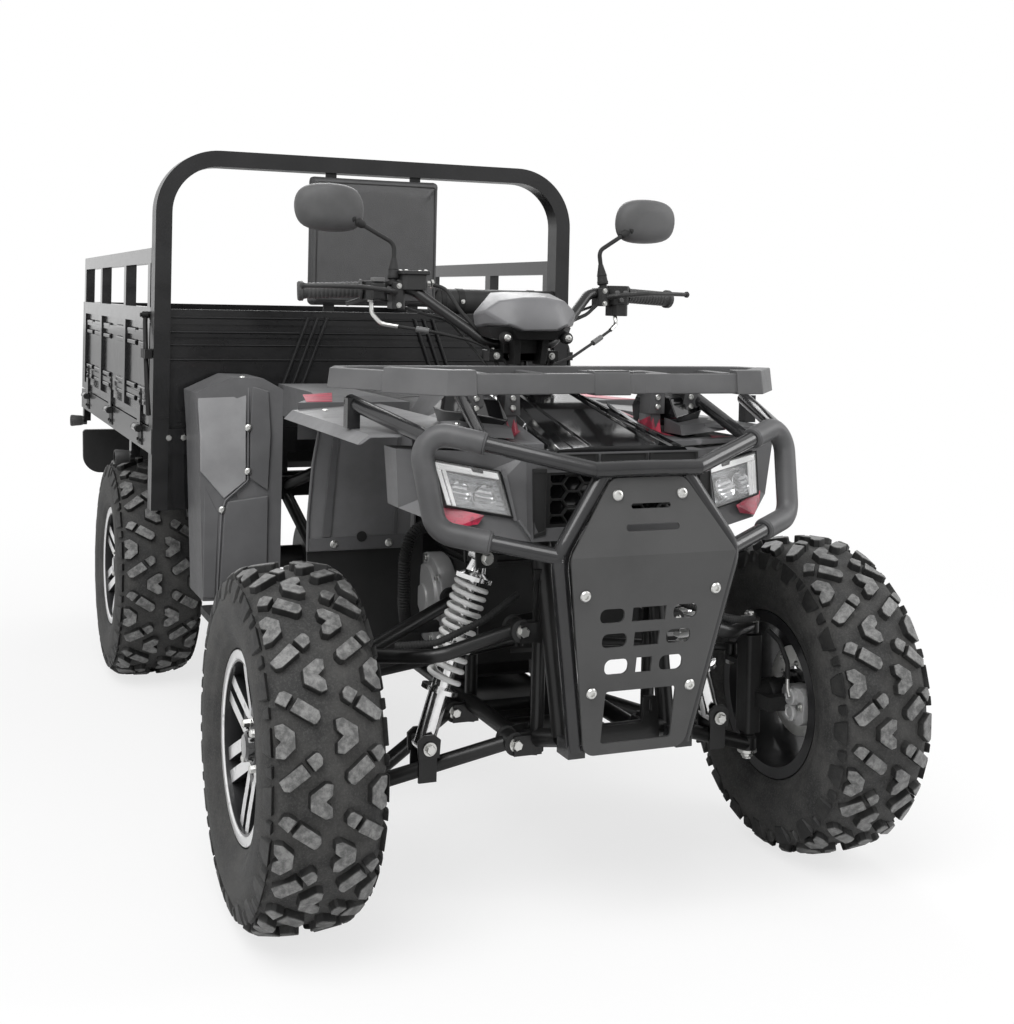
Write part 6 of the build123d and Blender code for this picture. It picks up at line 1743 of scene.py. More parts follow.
        cables = Form()
        for route, size in (((at(-0.240, 0.334, 1.050), at(-0.17, 0.305, 1.040), at(-0.10, 0.270, 1.024),
                              at(-0.050, 0.235, 0.998), at(-0.028, 0.215, 0.955)), 0.0032),
                            ((at(0.252, 0.338, 1.048), at(0.20, 0.312, 1.022), at(0.13, 0.270, 0.992),
                              at(0.060, 0.238, 0.972), at(0.030, 0.214, 0.940)), 0.0032),
                            ((at(-0.166, 0.350, 1.139), at(-0.140, 0.325, 1.132), at(-0.120, 0.290, 1.085),
                              at(-0.085, 0.262, 1.040), at(-0.045, 0.225, 0.950)), 0.0040),
                            ((at(0.230, 0.352, 1.108), at(0.190, 0.330, 1.082), at(0.120, 0.296, 1.060),
                              at(0.070, 0.262, 1.010), at(0.038, 0.220, 0.935)), 0.0040),
                            ((at(0.250, 0.385, 1.106), at(0.200, 0.368, 1.092), at(0.130, 0.335, 1.070),
                              at(0.085, 0.290, 1.020), at(0.050, 0.240, 0.950)), 0.0030),
                            ((at(-0.262, 0.385, 1.106), at(-0.205, 0.360, 1.085), at(-0.130, 0.325, 1.062),
                              at(-0.090, 0.280, 1.005), at(-0.055, 0.236, 0.945)), 0.0030)):
            cables.tube(route, size, 0.05, 10)
        cables.piece("control_cables", "steering", finishes("rubber"), "rubber", sharp=60)
        sleeves = Form()
        for start, end in ((at(-0.205, 0.320, 1.0455), at(-0.180, 0.309, 1.0415)), (at(0.222, 0.322, 1.033),
                                                                                    at(0.196, 0.310, 1.020))):
            sleeves.rod(start, end, 0.0062, 14)
        sleeves.piece("cable_adjusters", "steering", finishes("control_pale"), "controls")
        return {"FINISHED"}

    def box_points(self, x_low, x_high, y_low, y_high, z_low, z_high, edge):
        """The corners of a box with its upright edges cut off."""
        points = []
        for z in (z_low, z_high):
            for y in (y_low, y_high):
                points += [at(x_low + edge, y, z), at(x_high - edge, y, z)]
            for y in (y_low + edge, y_high - edge):
                points += [at(x_low, y, z), at(x_high, y, z)]
        return points


class QUAD_OT_dash(bpy.types.Operator):
    """Shapes the instrument pod, its skirt, screws and rider's display, and the bar clamp under it"""

    bl_idname = "quad.dash"
    bl_label = "Instrument pod"

    def execute(self, context):
        pod = Form()
        pod.hull([at(x, y, z) for s in (-1, 1) for x, y, z in (
            (s * 0.099, 0.262, 1.052), (s * 0.104, 0.262, 1.080), (s * 0.066, 0.262, 1.125),
                                                               (s * 0.034, 0.262, 1.127),
            (s * 0.098, 0.205, 1.058), (s * 0.102, 0.200, 1.086), (s * 0.074, 0.190, 1.108),
                                                               (s * 0.024, 0.176, 1.116),
            (s * 0.066, 0.158, 1.060), (s * 0.034, 0.147, 1.048), (s * 0.038, 0.150, 1.076))])
        pod.piece("dash_pod", "steering", finishes("pod"), "body", bevel=0.0055, segments=4,
                  replaces=("dash",), sharp=50)
        under = Form()
        under.hull([at(x, y, z) for s in (-1, 1) for x, y, z in (
            (s * 0.096, 0.258, 1.053), (s * 0.094, 0.205, 1.055), (s * 0.060, 0.160, 1.056),
                                                                 (s * 0.088, 0.250, 1.034),
            (s * 0.080, 0.196, 1.030), (s * 0.040, 0.168, 1.030))])
        for s in (-1, 1):
            under.hull([at(s * x, y, z) for x, y, z in (
                (0.040, 0.190, 1.034), (0.024, 0.190, 1.034), (0.040, 0.240, 1.034), (0.024, 0.240, 1.034),
                (0.034, 0.196, 0.978), (0.022, 0.196, 0.978), (0.034, 0.238, 0.978), (0.022, 0.238, 0.978))])
            under.lathe(at(s * 0.067, 0.168, 1.034), (0, -1, 0), [(-0.01, 0.012), (0.006, 0.012),
                                                                  (0.008, 0.0098)], 20)
        under.hull([at(x, y, z) for x in (-0.050, 0.050) for y, z in ((0.220, 1.000), (0.220, 1.034),
                                                                      (0.280, 1.034),
                                                                     (0.280, 1.000))])
        under.hull([at(x, y, z) for x in (-0.078, 0.078) for y, z in ((0.228, 0.984), (0.228, 1.006),
                                                                      (0.272, 1.006),
                                                                     (0.272, 0.984))])
        under.piece("dash_bracket", "steering", finishes("cast_black"), "black_plastic", bevel=0.002)
        screws = Form()
        for x, y, z in ((-0.067, 0.160, 1.034), (0.067, 0.160, 1.034)):
            screws.button(at(x, y, z), (0, -1, 0), 0.0075)
        for x in (-0.062, -0.030, 0.030, 0.062):
            screws.bolt(at(x, 0.2275, 0.995), (0, -1, 0), 0.0052)
            screws.bolt(at(x, 0.250, 1.0055), (0, 0, 1), 0.0052)
        screws.piece("dash_screws", "steering", finishes("zinc"), "steel", sharp=30)
        face = Form()
        face.rings([[at(x * size, 0.2625 + depth, 1.082 + (z - 1.082) * size) for x, z in (
            (-0.088, 1.060), (0.088, 1.060), (0.092, 1.080), (0.060, 1.114), (-0.060, 1.114),
                                                                                           (-0.092, 1.080))]
            for depth, size in ((-0.001, 1.0), (0.002, 0.98), (0.002, 0.9), (0.0005, 0.88))], finish=0)
        face.lathe(at(0, 0.2625, 1.086), (0, 1, 0), [(0.0, 0.027), (0.0035, 0.0265), (0.0035, 0.0235),
                                                     (0.001, 0.023),
                                                     (0.001, 0.0)], 32, 1)
        for x in (-0.062, 0.062):
            face.lathe(at(x, 0.2625, 1.080), (0, 1, 0), [(0.0, 0.008), (0.0045, 0.008), (0.005, 0.006)], 20,
                       1)
        face.piece("dash_display", "steering", finishes("gloss", "control"), "gloss_black", bevel=0.0006)
        return {"FINISHED"}


# Bed

HINGE_PLACES = (0.171, 0.781, 1.391)


class QUAD_OT_bed_trim(bpy.types.Operator):
    """Dresses the bed: tread plate on the channel, strap hinges, latches, pressed lines, bolts and buffers"""

    bl_idname = "quad.bed_trim"
    bl_label = "Bed trim"

    def execute(self, context):
        plate = Form()
        plate.block((0.588, -0.012, 0.6905), (0.5894, 1.608, 0.7555))
        plate.mirrored().piece("channel_plates", "bed", finishes("tread_plate"), "bed_frame")
        leaves = Form()
        for y in HINGE_PLACES:
            leaves.prism([(0.5894, y - 0.034, 0.700), (0.5894, y + 0.034, 0.700), (0.5894, y + 0.030, 0.736),
                          (0.5894, y - 0.030, 0.736)], (0.003, 0, 0))
            for end in (-1, 1):
                leaves.lathe((0.601, y + end * 0.0335, 0.745), (0, end, 0), [(-0.0005, 0.0098),
                                                                             (0.008, 0.0098),
                                                                             (0.009, 0.0085)], 20)
                leaves.bolt((0.5922, y + end * 0.020, 0.712), (1, 0, 0), 0.0045)
        leaves.mirrored().piece("hinge_leaves", "bed", finishes("hinge"), "bed_frame", bevel=0.0008)
        for side, name in ((-1, "right"), (1, "left")):
            body = f"side_gate_{name}"
            gate = Form()
            for y in HINGE_PLACES:
                gate.prism([(side * 0.5885, y - 0.011, 0.766), (side * 0.5885, y + 0.011, 0.766),
                            (side * 0.5885, y + 0.010, 0.838), (side * 0.5885, y, 0.850),
                            (side * 0.5885, y - 0.010, 0.838)], (side * 0.0045, 0, 0))
                for z in (0.815, 0.836):
                    gate.button((side * 0.593, y, z), (side, 0, 0), 0.0052)
            gate.piece(f"gate_straps_{name}", body, finishes("hinge"), "bed_frame", bevel=0.0008)
            bars = Form()
            for low, high in ((0.105, 0.510), (0.563, 1.070), (1.123, 1.532)):
                for z in (0.812, 0.846, 0.968, 1.002):
                    for end in ((low + 0.012, low + 0.17), (high - 0.17, high - 0.012)):
                        y0, y1 = end
                        section = [(0.5785, z - 0.009), (0.5845, z - 0.005), (0.5845, z + 0.005),
                                   (0.5785, z + 0.009)]
                        bars.rings([[Vector((side * x, y, zz)) for x, zz in section] for y in (y0, y1)])
            bars.piece(f"gate_pressings_{name}", body, finishes("bed_paint"), "bed_frame", bevel=0.0015)
            lever = Form()
            lever.tube([(side * 0.594, 0.086, 1.052), (side * 0.598, 0.066, 1.030), (side * 0.604, 0.012,
                                                                                     0.972),
                        (side * 0.602, -0.012, 0.860), (side * 0.598, -0.020, 0.792)], 0.0062, 0.03, 12)
            lever.block((side * 0.600 - 0.009, -0.014, 0.938), (side * 0.600 + 0.009, 0.060, 0.962))
            lever.rod((side * 0.588, 0.078, 1.050), (side * 0.6035, 0.078, 1.050), 0.0095, 18)
            lever.bolt((side * 0.6035, 0.078, 1.050), (side, 0, 0), 0.006)
            lever.piece(f"gate_latch_{name}", body, finishes("hinge"), "bed_frame", bevel=0.0008)
        tail = Form()
        for x in (-0.420, 0.0, 0.420):
            tail.prism([(x - 0.011, 1.6125, 0.766), (x + 0.011, 1.6125, 0.766), (x + 0.010, 1.6125, 0.838),
                        (x, 1.6125, 0.850), (x - 0.010, 1.6125, 0.838)], (0, 0.0045, 0))
            for z in (0.815, 0.836):
                tail.button((x, 1.617, z), (0, 1, 0), 0.0052)
        for side in (-1, 1):
            tail.tube([(side * 0.570, 1.618, 1.050), (side * 0.535, 1.621, 1.050), (side * 0.500, 1.621,
                                                                                    1.044)], 0.006,
                      0.01, 12)
            tail.block((side * 0.573 - 0.012, 1.6125, 1.030), (side * 0.573 + 0.012, 1.6185, 1.064))
            for z in (0.812, 0.846, 0.968, 1.002):
                for low, high in ((0.03, 0.165), (0.235, 0.40), (0.44, 0.545)):
                    section = [(1.6005, z - 0.009), (1.6065, z - 0.005), (1.6065, z + 0.005),
                               (1.6005, z + 0.009)]
                    tail.rings([[Vector((side * x, y, zz)) for y, zz in section] for x in (low, high)])
        tail.piece("tailgate_trim", "tailgate", finishes("bed_paint"), "bed_frame", bevel=0.0008)

        lines = Form()
        for z, half in ((1.046, 0.0032), (1.0075, 0.0035), (0.9735, 0.0028), (0.935, 0.003)):
            section = [(0.0, z - half), (-0.0028, z - half * 0.4), (-0.0028, z + half * 0.4), (0.0, z + half)]
            lines.rings([[Vector((x, y, zz)) for y, zz in section] for x in (-0.545, 0.545)])
        for side in (-1, 1):
            for x in (0.120, 0.146, 0.172):
                rows = []
                for high_z, shift in ((1.050, 0.005), (0.802, 0.094)):
                    middle = side * (x + shift)
                    rows.append([Vector((middle - 0.0055, -0.0048, high_z)),
                                 Vector((middle - 0.0025, -0.0085, high_z)),
                                 Vector((middle + 0.0025, -0.0085, high_z)),
                                 Vector((middle + 0.0055, -0.0048, high_z))])
                lines.rings(rows)
        lines.piece("wall_pressings", "bed", finishes("bed_sheet"), "bed_sheet", bevel=0.001)
        bolts = Form()
        for x in (0.507, 0.545):
            bolts.bolt((x, -0.0115, 0.733), (0, -1, 0), 0.0082)
        for y in (0.30, 0.55, 1.30):
            bolts.bolt((0.575, y, 0.6895), (0, 0, -1), 0.006)
        bolts.mirrored().piece("bed_bolts", "bed", finishes("zinc"), "steel", sharp=30)
        seams = Form()
        seams.block((0.546, -0.0205, 0.783), (0.5885, -0.0185, 0.7865))
        seams.mirrored().piece("hoop_seams", "bed", finishes("hoop"), "bed_frame")
        buffers = Form()
        for y in (0.369, 1.558):
            buffers.lathe((0.5895, y, 0.644), (1, 0, 0), [(0.0, 0.0165), (0.004, 0.0165), (0.005, 0.0175),
                                                          (0.038, 0.0205),
                                                          (0.0425, 0.0185)], 28)
        buffers.mirrored().piece("buffers", "chassis", finishes("buffer"), "rubber", sharp=40)
        return {"FINISHED"}


# Engine and running gear

UPPER_PIVOTS = (at(0.154, -0.125, 0.520), at(0.154, 0.205, 0.505))
LOWER_PIVOTS = (at(0.154, -0.105, 0.312), at(0.154, 0.205, 0.285))


class QUAD_OT_engine(bpy.types.Operator):
    """Fits the crankcase covers, cooling fins, head bolts and corrugated hoses to the engine"""

    bl_idname = "quad.engine"
    bl_label = "Engine"

    def execute(self, context):
        covers = Form()
        middle = at(0.138, 0.400, 0.470)
        covers.lathe(middle, (1, 0, 0), [(-0.034, 0.0955), (-0.002, 0.0965), (0.003, 0.094), (0.004, 0.074),
                                         (0.010, 0.070),
                                         (0.012, 0.050), (0.012, 0.030), (0.016, 0.028), (0.017, 0.0)], 44)
        for i in range(7):
            turn = 2 * pi * i / 7
            way = Vector((0, sin(turn), cos(turn)))
            covers.lathe(middle + way * 0.086 - Vector((0.002, 0, 0)), (1, 0, 0),
                         [(0, 0.0105), (0.006, 0.0105),
                                                                                  (0.007, 0.009)], 18)
            covers.bolt(middle + way * 0.086 + Vector((0.004, 0, 0)), (1, 0, 0), 0.0055, 1)
        for i in range(5):
            turn = radians(40 + i * 14)
            way = Vector((0, sin(turn), cos(turn)))
            covers.hull([middle + way * r + Vector((x, 0, 0)) + way.cross(Vector((1, 0, 0))) * w
                         for r in (0.034, 0.070)
                         for x in (0.006, 0.0125) for w in (-0.002, 0.002)])
        covers.mirrored().piece("crankcase_covers", "chassis", finishes("cast_bright", "zinc"), "cast",
                                bevel=0.0008)
        fins = Form()
        for i in range(8):
            z = 0.562 + i * 0.0135
            fins.hull([at(x, y, zz) for x in (-0.106, 0.106) for y, zz in (
                (0.262, z), (0.455, z), (0.262, z + 0.0035), (0.455, z + 0.0035), (0.268, z + 0.0045))])
        fins.block(at(-0.090, 0.270, 0.556), at(0.090, 0.450, 0.672))
        for x in (-0.07, 0.07):
            for y in (0.300, 0.430):
                fins.lathe(at(x, y, 0.671), (0, 0, 1), [(0, 0.011), (0.010, 0.011), (0.012, 0.009)], 6)
        fins.piece("engine_fins", "chassis", finishes("cast_black"), "cast", bevel=0.0006, segments=1)
        hoses = Form()
        hoses.ribbed_hose([at(-0.124, 0.250, 0.655), at(-0.235, 0.228, 0.650), at(-0.252, 0.226, 0.590),
                           at(-0.250, 0.232, 0.500), at(-0.232, 0.265, 0.440), at(-0.142, 0.330, 0.425)],
                          0.0118, 0.04)
        hoses.ribbed_hose([at(0.124, 0.250, 0.655), at(0.225, 0.250, 0.650), at(0.240, 0.260, 0.590),
                           at(0.236, 0.275, 0.520), at(0.142, 0.330, 0.480)], 0.0095, 0.04)
        for side in (-1, 1):
            hoses.ribbed_hose([at(side * 0.140, -0.090, 0.575), at(side * 0.205, -0.098, 0.535),
                               at(side * 0.300, -0.106, 0.5005), at(side * 0.372, -0.080, 0.494)], 0.0062,
                              0.05)
        hoses.piece("ribbed_hoses", "chassis", finishes("rubber"), "rubber", sharp=60)
        return {"FINISHED"}


class QUAD_OT_running_gear(bpy.types.Operator):
    """Adds the arm pivots' bolts, shock clevises, ball joints, brake calipers and bracket plates"""

    bl_idname = "quad.running_gear"
    bl_label = "Running gear"

    def execute(self, context):
        bolts = Form()
        for place in UPPER_PIVOTS + LOWER_PIVOTS:
            for end in (-1, 1):
                bolts.bolt(place + Vector((0, end * 0.0242, 0)), (0, end, 0), 0.0098)
        for place in (at(0.300, -0.044, 0.303), at(0.197, -0.044, 0.640)):
            for end in (-1, 1):
                bolts.bolt(place + Vector((0, end * 0.034, 0)), (0, end, 0), 0.0092)
        bolts.mirrored().piece("pivot_bolts", "chassis", finishes("zinc"), "steel", sharp=30)
        bushes = Form()
        for place in UPPER_PIVOTS + LOWER_PIVOTS:
            for end in (-1, 1):
                bushes.lathe(place + Vector((0, end * 0.017, 0)), (0, end, 0), [(0, 0.0182), (0.004, 0.0215),
                                                                                (0.006, 0.0215),
                                                                                (0.0075, 0.0180)], 28)
            ear = place + Vector((-0.012, 0, 0))
            for end in (-1, 1):
                bushes.hull([ear + Vector((x, end * y, z)) for x, z in ((-0.030, -0.024), (-0.030, 0.024),
                                                                        (0.016, -0.018),
                                                                        (0.024, 0.0), (0.016, 0.018))
                             for y in (0.0205, 0.0240)], 1)
        for place, half in ((at(0.300, -0.044, 0.303), 0.026), (at(0.197, -0.044, 0.640), 0.026)):
            for end in (-1, 1):
                bushes.hull([place + Vector((x, end * y, z)) for x, z in ((-0.020, -0.018), (0.020, -0.018),
                                                                          (0.022, 0.014),
                                                                          (0.010, 0.024), (-0.010, 0.024),
                                                                          (-0.022, 0.014))
                             for y in (half, half + 0.006)], 1)
        bushes.mirrored().piece("pivot_bushes", "chassis", finishes("rubber", "frame"), "frame", bevel=0.0008)
        plates = Form()
        plates.framed_panel([at(0.086, -0.151, 0.508), at(0.1355, -0.151, 0.508), at(0.1355, -0.151, 0.630),
                             at(0.086, -0.151, 0.630)], 0.003, 0.006)
        for z in (0.524, 0.572):
            plates.framed_panel([at(0.096, -0.1535, z), at(0.126, -0.1535, z), at(0.126, -0.1535, z + 0.038),
                                 at(0.096, -0.1535, z + 0.038)], 0.002, 0.0035)
        plates.mirrored().piece("bracket_plates", "chassis", finishes("frame"), "frame", bevel=0.0007)
        beads = Form()
        for place, way, size in ((at(0.160, -0.322, 0.682), (1, 0.3, 0.18), 0.0145),
                                 (at(0.105, -0.2695, 0.352), (0, 0, 1), 0.0155),
                                 (at(0.0795, -0.303, 0.8155), (0.5, -0.1, -0.8), 0.0155),
                                 (at(0.262, -0.222, 0.8635), (-0.1, 0.9, 0.36), 0.0125)):
            self.bead(beads, place, Vector(way).normalized(), size)
        beads.mirrored().piece("weld_beads", "chassis", finishes("tube_gloss"), "bumper", sharp=60)

        for side, name in ((-1, "right"), (1, "left")):
            body = f"knuckle_{name}"

            def beside(x, y, z):
                return at(side * x, y, z)

            brake = Form()
            brake.hull([beside(x, y, z) for x in (0.462, 0.5155) for y, z in (
                (-0.122, 0.290), (-0.122, 0.344), (-0.108, 0.354), (-0.052, 0.350), (-0.046, 0.338),
                                                                              (-0.046, 0.296),
                (-0.052, 0.284), (-0.108, 0.280))])
            brake.hull([beside(x, y, z) for x in (0.5420, 0.5560) for y, z in (
                (-0.122, 0.292), (-0.122, 0.342), (-0.060, 0.348), (-0.060, 0.286))])
            brake.hull([beside(x, y, z) for x in (0.5135, 0.5440) for y, z in (
                (-0.123, 0.292), (-0.123, 0.342), (-0.096, 0.349), (-0.096, 0.285))])
            for z in (0.302, 0.334):
                brake.lathe(beside(0.463, -0.085, z), (-side, 0, 0), [(0, 0.0175), (0.009, 0.0175),
                                                                      (0.011, 0.0150),
                                                                      (0.011, 0.010), (0.009, 0.009),
                                                                      (0.009, 0.0)], 24)
            for y in (-0.112, -0.056):
                brake.bolt(beside(0.4612, y, 0.318), (-side, 0, 0), 0.0068, 1)
            brake.tube([beside(0.454, -0.085, 0.334), beside(0.449, -0.085, 0.352), beside(0.449, -0.085,
                                                                                           0.372)], 0.0042,
                       0.01, 10, 1)
            brake.piece(f"brake_caliper_{name}", body, finishes("cast_bright", "zinc"), "cast", bevel=0.0018,
                        sharp=35)
            joints = Form()
            for z, way in ((0.4745, 1), (0.2055, -1)):
                joints.lathe(beside(0.413, 0, z), (0, 0, way), [(-0.004, 0.0195), (0.002, 0.0195),
                                                                (0.004, 0.0165),
                                                                (0.004, 0.0120), (0.010, 0.0120),
                                                                (0.012, 0.0100)], 26)
                joints.lathe(beside(0.413, 0, z + way * 0.006), (0, 0, way), [(0, 0.0095), (0.009, 0.0095),
                                                                              (0.010, 0.008)], 6)
            joints.bolt(beside(0.413, 0.072, 0.3852), (0, 0, 1), 0.0072)
            joints.lathe(beside(0.413, 0.072, 0.3745), (0, 0, -1), [(0, 0.0095), (0.008, 0.0095),
                                                                    (0.009, 0.008)], 6)
            joints.piece(f"ball_joints_{name}", body, finishes("zinc"), "steel", sharp=30)
            boots = Form()
            for z, way in ((0.4475, -1), (0.2325, 1)):
                profile = [(0.0, 0.0185)]
                for i in range(4):
                    profile += [(0.002 + i * 0.0045, 0.0170 - i * 0.0018), (0.0042 + i * 0.0045,
                                                                            0.0148 - i * 0.0018)]
                boots.lathe(beside(0.413, 0, z), (0, 0, way), profile + [(0.020, 0.009)], 24)
            boots.tube([beside(0.449, -0.085, 0.370), beside(0.449, -0.084, 0.400), beside(0.445, -0.060,
                                                                                           0.438),
                        beside(0.436, -0.030, 0.456)], 0.0050, 0.025, 12)
            boots.piece(f"joint_boots_{name}", body, finishes("rubber"), "rubber", sharp=50)
            hub = Form()
            hub.lathe(beside(0.448, 0, AXLE_HEIGHT), (side, 0, 0), [(0.0, 0.022), (0.004, 0.030),
                                                                    (0.010, 0.033), (0.030, 0.033),
                                                                    (0.033, 0.030), (0.052, 0.030)], 32)
            hub.lathe(beside(0.449, 0, AXLE_HEIGHT), (-side, 0, 0), [(-0.004, 0.018), (0.006, 0.018),
                                                                     (0.009, 0.014),
                                                                     (0.010, 0.0)], 28, 1)
            hub.piece(f"hub_carrier_{name}", body, finishes("cast_black", "tyre_ground"), "cast",
                      bevel=0.0012)
        return {"FINISHED"}

    def bead(self, form, place, way, size):
        """A weld: overlapping ripples round a joint."""
        across = way.orthogonal().normalized()
        up = way.cross(across)
        ripples = 30
        for i in range(ripples):
            turn = 2 * pi * i / ripples
            out = across * cos(turn) + up * sin(turn)
            side = up * cos(turn) - across * sin(turn)
            middle = place + out * size
            form.hull([middle + out * a + way * b + side * c for a, b, c in (
                (0.0020, 0, 0), (-0.001, 0.0034, 0), (-0.001, -0.0034, 0), (0.0012, 0.002, 0.0012),
                                                                             (0.0012, -0.002, 0.0012),
                (-0.001, 0, 0.0022), (-0.001, 0, -0.0022))])


class QUAD_OT_cushions(bpy.types.Operator):
    """Blows up the seat and the backrest as padded vinyl, then lays their seams and piping"""

    bl_idname = "quad.cushions"
    bl_label = "Cushions"

    def execute(self, context):
        seat = Form()
        rows = []
        for y, half, top in ((0.566, 0.060, 0.836), (0.585, 0.084, 0.848), (0.660, 0.108, 0.856),
                             (0.780, 0.130, 0.862),
                             (0.930, 0.146, 0.870), (1.080, 0.150, 0.877), (1.165, 0.146, 0.876),
                             (1.183, 0.126, 0.866)):
            low = 0.8145
            rows.append([at(-half, y, low), at(-half - 0.002, y, top - 0.020), at(-half * 0.86, y,
                                                                                  top - 0.004),
                         at(-half * 0.4, y, top), at(half * 0.4, y, top), at(half * 0.86, y, top - 0.004),
                         at(half + 0.002, y, top - 0.020), at(half, y, low)])
        seat.rings(rows)
        pad = self.blown(seat, "seat_pad", "chassis", "seat", 0.010, Vector((0, 0, -1)))
        seams = Form()
        for share in (-0.82, 0.82):
            line = []
            for y, half in ((0.590, 0.084), (0.660, 0.108), (0.780, 0.130), (0.930, 0.146), (1.080, 0.150),
                            (1.160, 0.146)):
                line.append(self.on(pad, at(half * share, y, 1.1), Vector((0, 0, -1))))
            seams.tube(line, 0.0023, 0.03, 8)
        for y, half in ((0.780, 0.104), (0.930, 0.118)):
            seams.tube([self.on(pad, at(half * k / 6, y, 1.1), Vector((0, 0, -1))) for k in range(-6, 7)],
                       0.0014, 0.03, 8)
        seams.piece("seat_seams", "chassis", finishes("piping"), "vinyl", sharp=60)

        back = Form()
        rows = []
        outline = [(-0.176, 1.084), (0.176, 1.084), (0.184, 1.092), (0.184, 1.424), (0.176, 1.432),
                   (-0.176, 1.432),
                   (-0.184, 1.424), (-0.184, 1.092)]
        for y, size in ((-0.0025, 0.99), (-0.006, 1.0), (-0.030, 1.0), (-0.037, 0.965)):
            rows.append([Vector((x * size, y, 1.258 + (z - 1.258) * size)) for x, z in outline])
        back.rings(rows)
        pad = self.blown(back, "backrest_pad", "bed", "backrest", 0.007, Vector((0, 1, 0)))
        seams = Form()
        inset = 0.017
        border = []
        corners = [(-0.184 + inset, 1.084 + inset), (0.184 - inset, 1.084 + inset),
                   (0.184 - inset, 1.432 - inset),
                   (-0.184 + inset, 1.432 - inset)]
        for i, (x, z) in enumerate(corners):
            to_x, to_z = corners[(i + 1) % 4]
            for k in range(12):
                share = k / 12
                border.append(self.on(pad, Vector((x + (to_x - x) * share, -1.0, z + (to_z - z) * share)),
                                      Vector((0, 1, 0))))
        seams.tube(border, 0.0019, 0.006, 8, closed=True, caps=False)
        seams.piece("backrest_seams", "bed", finishes("piping"), "vinyl", sharp=60)
        return {"FINISHED"}

    def on(self, pad, start, way):
        """Where a ray meets the pad, a hair above it."""
        found, hit, normal, _ = pad.ray_cast(start, way)
        if not found:
            raise RuntimeError(f"no pad under {tuple(start)}")
        return hit + normal * 0.0004

    def blown(self, form, name, body, node, cap, rest):
        """A pad from a form: remeshed, blown up by cloth pressure with its resting side held, kept in its box."""
        mesh = bpy.data.meshes.new(name)
        mesh.from_pydata(form.points, [], form.faces)
        work = bpy.data.objects.new(name + "_work", mesh)
        bpy.context.scene.collection.objects.link(work)
        remesh = work.modifiers.new("remesh", "REMESH")
        remesh.mode = "VOXEL"
        remesh.voxel_size = 0.006
        self.settle(work)
        start = [vertex.co.copy() for vertex in work.data.vertices]
        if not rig.quick():
            reach = max(point.dot(rest) for point in start)
            group = work.vertex_groups.new(name="rest")
            held = [i for i, point in enumerate(start) if point.dot(rest) > reach - 0.004]
            group.add(held, 1.0, "REPLACE")
            cloth = work.modifiers.new("cloth", "CLOTH")
            cloth.settings.use_pressure = True
            cloth.settings.uniform_pressure_force = 4.0
            cloth.settings.vertex_group_mass = "rest"
            cloth.settings.effector_weights.gravity = 0.0
            cloth.point_cache.frame_start = 1
            cloth.point_cache.frame_end = 20
            for moment in range(1, 21):
                bpy.context.scene.frame_set(moment)
            self.settle(work)
            bpy.context.scene.frame_set(1)
        low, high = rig.box(node)
        points = []
        for before, vertex in zip(start, work.data.vertices):
            move = vertex.co - before
            if move.length > cap:
                move *= cap / move.length
            point = before + move
            points.append(Vector([min(max(value, a + 0.0008), b - 0.0008) for value, a, b in zip(point, low,
                                                                                                 high)]))
        faces = [list(face.vertices) for face in work.data.polygons]
        bpy.data.objects.remove(work)
        pad = Form()
        pad.add(points, faces)
        piece = pad.piece(name, body, finishes("vinyl"), "vinyl", replaces=(node,), weld=False, subdivide=1)
        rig.padded(piece, fill=0.8)
        return piece

    def settle(self, work):
        """Applies the modifiers that the work object has."""
        bpy.context.view_layer.update()
        shaped = work.evaluated_get(bpy.context.evaluated_depsgraph_get())
        result = bpy.data.meshes.new_from_object(shaped)
        work.modifiers.clear()
        work.data = result


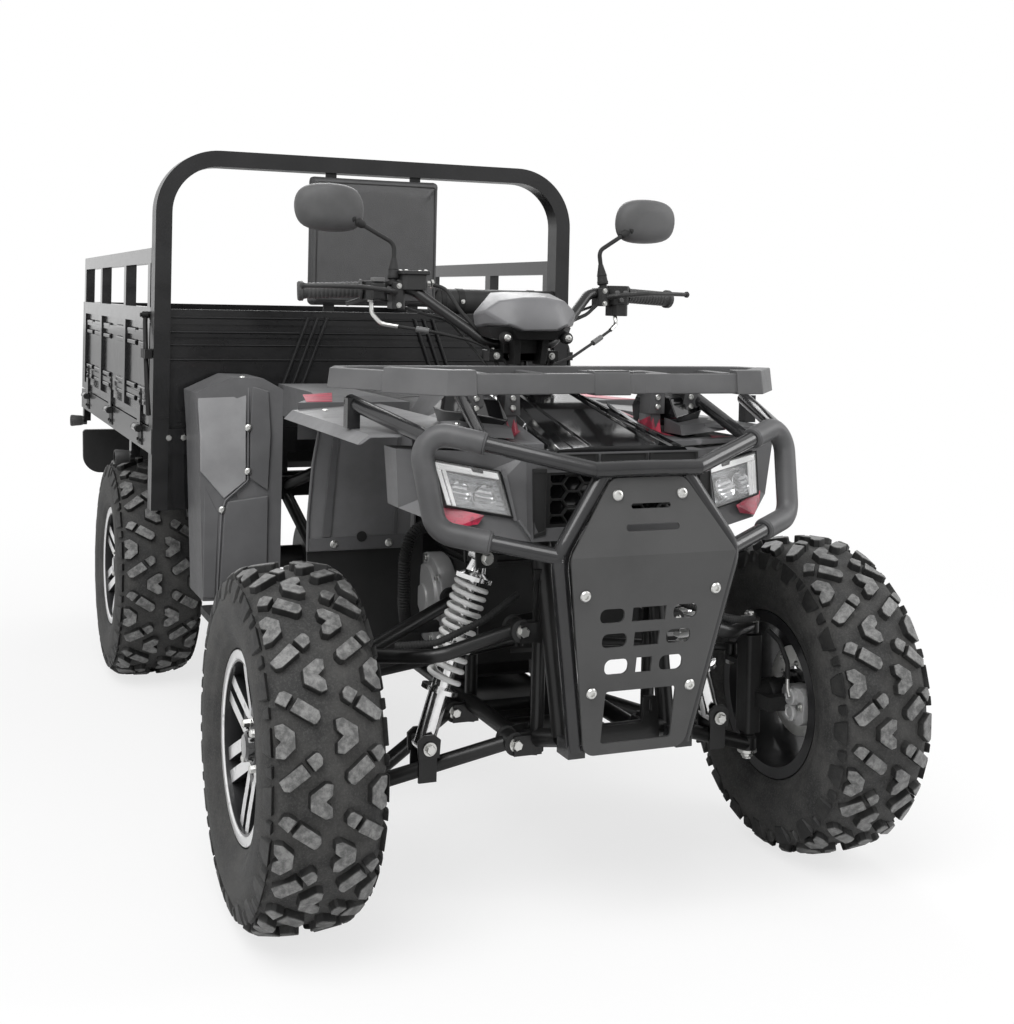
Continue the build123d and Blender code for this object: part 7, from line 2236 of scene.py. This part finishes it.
class QUAD_OT_rear(bpy.types.Operator):
    """Fits the tail lamps' rims and the tool tube's straps"""

    bl_idname = "quad.rear"
    bl_label = "Rear end"

    def execute(self, context):
        rims = Form()
        for low, high in ((0.352, 0.428), (0.432, 0.508)):
            rims.rings([[Vector((x, y, z)) for x, z in ((low + d, 0.517 + d), (high - d, 0.517 + d),
                                                        (high - d, 0.588 - d),
                                                       (low + d, 0.588 - d))]
                        for y, d in ((1.6195, 0.0), (1.6225, 0.001), (1.6225, 0.006), (1.6200, 0.0075))],
                       caps=False)
        rims.mirrored().piece("tail_lamp_rims", "chassis", finishes("black_plastic"), "black_plastic",
                              bevel=0.0006)
        straps = Form()
        for x in (0.260, 0.480):
            middle = Vector((x, 0.011, 1.1023))
            straps.lathe(middle - Vector((0.010, 0, 0)), (1, 0, 0), [(0, 0.0355), (0.0005, 0.0368),
                                                                     (0.0195, 0.0368),
                                                                     (0.020, 0.0355)], 36)
            straps.bolt(Vector((x, -0.0262, 1.1023)), (0, -1, 0), 0.0045, 1)
        straps.lathe(Vector((0.199, 0.011, 1.1023)), (-1, 0, 0), [(-0.016, 0.0350), (-0.014, 0.0385),
                                                                  (0.000, 0.0385),
                                                                  (0.002, 0.0365), (0.002, 0.0300),
                                                                  (-0.002, 0.0285),
                                                                  (-0.002, 0.0)], 40)
        straps.piece("tool_tube_straps", "bed", finishes("hinge", "zinc"), "bed_frame", bevel=0.0006)
        return {"FINISHED"}


class QUAD_PT_panel(bpy.types.Panel):
    """Lists the quad bike's settings and its pieces"""

    bl_idname = "QUAD_PT_panel"
    bl_label = "Quad bike"
    bl_space_type = "VIEW_3D"
    bl_region_type = "UI"
    bl_category = "Quad bike"

    def draw(self, context):
        for key in QuadBikeSettings.__annotations__:
            self.layout.prop(context.scene.quad_bike, key)
        for operator in PIECES:
            self.layout.operator(operator.bl_idname)


PIECES = [kind for kind in list(globals().values())
          if isinstance(kind, type) and issubclass(kind, bpy.types.Operator)
          and kind is not bpy.types.Operator]


def register():
    for kind in [QuadBikeSettings, *PIECES, QUAD_PT_panel]:
        bpy.utils.register_class(kind)
    bpy.types.Scene.quad_bike = PointerProperty(type=QuadBikeSettings)


def unregister():
    del bpy.types.Scene.quad_bike
    for kind in reversed([QuadBikeSettings, *PIECES, QUAD_PT_panel]):
        bpy.utils.unregister_class(kind)


def main():
    register()
    for operator in PIECES:
        group, name = operator.bl_idname.split(".")
        getattr(getattr(bpy.ops, group), name)()
    with open("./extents.json", "w") as sizes:
        json.dump([[list(corner) for corner in cad_box], [list(corner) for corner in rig.bounds()]], sizes)


if __name__ == "__main__":
    main()
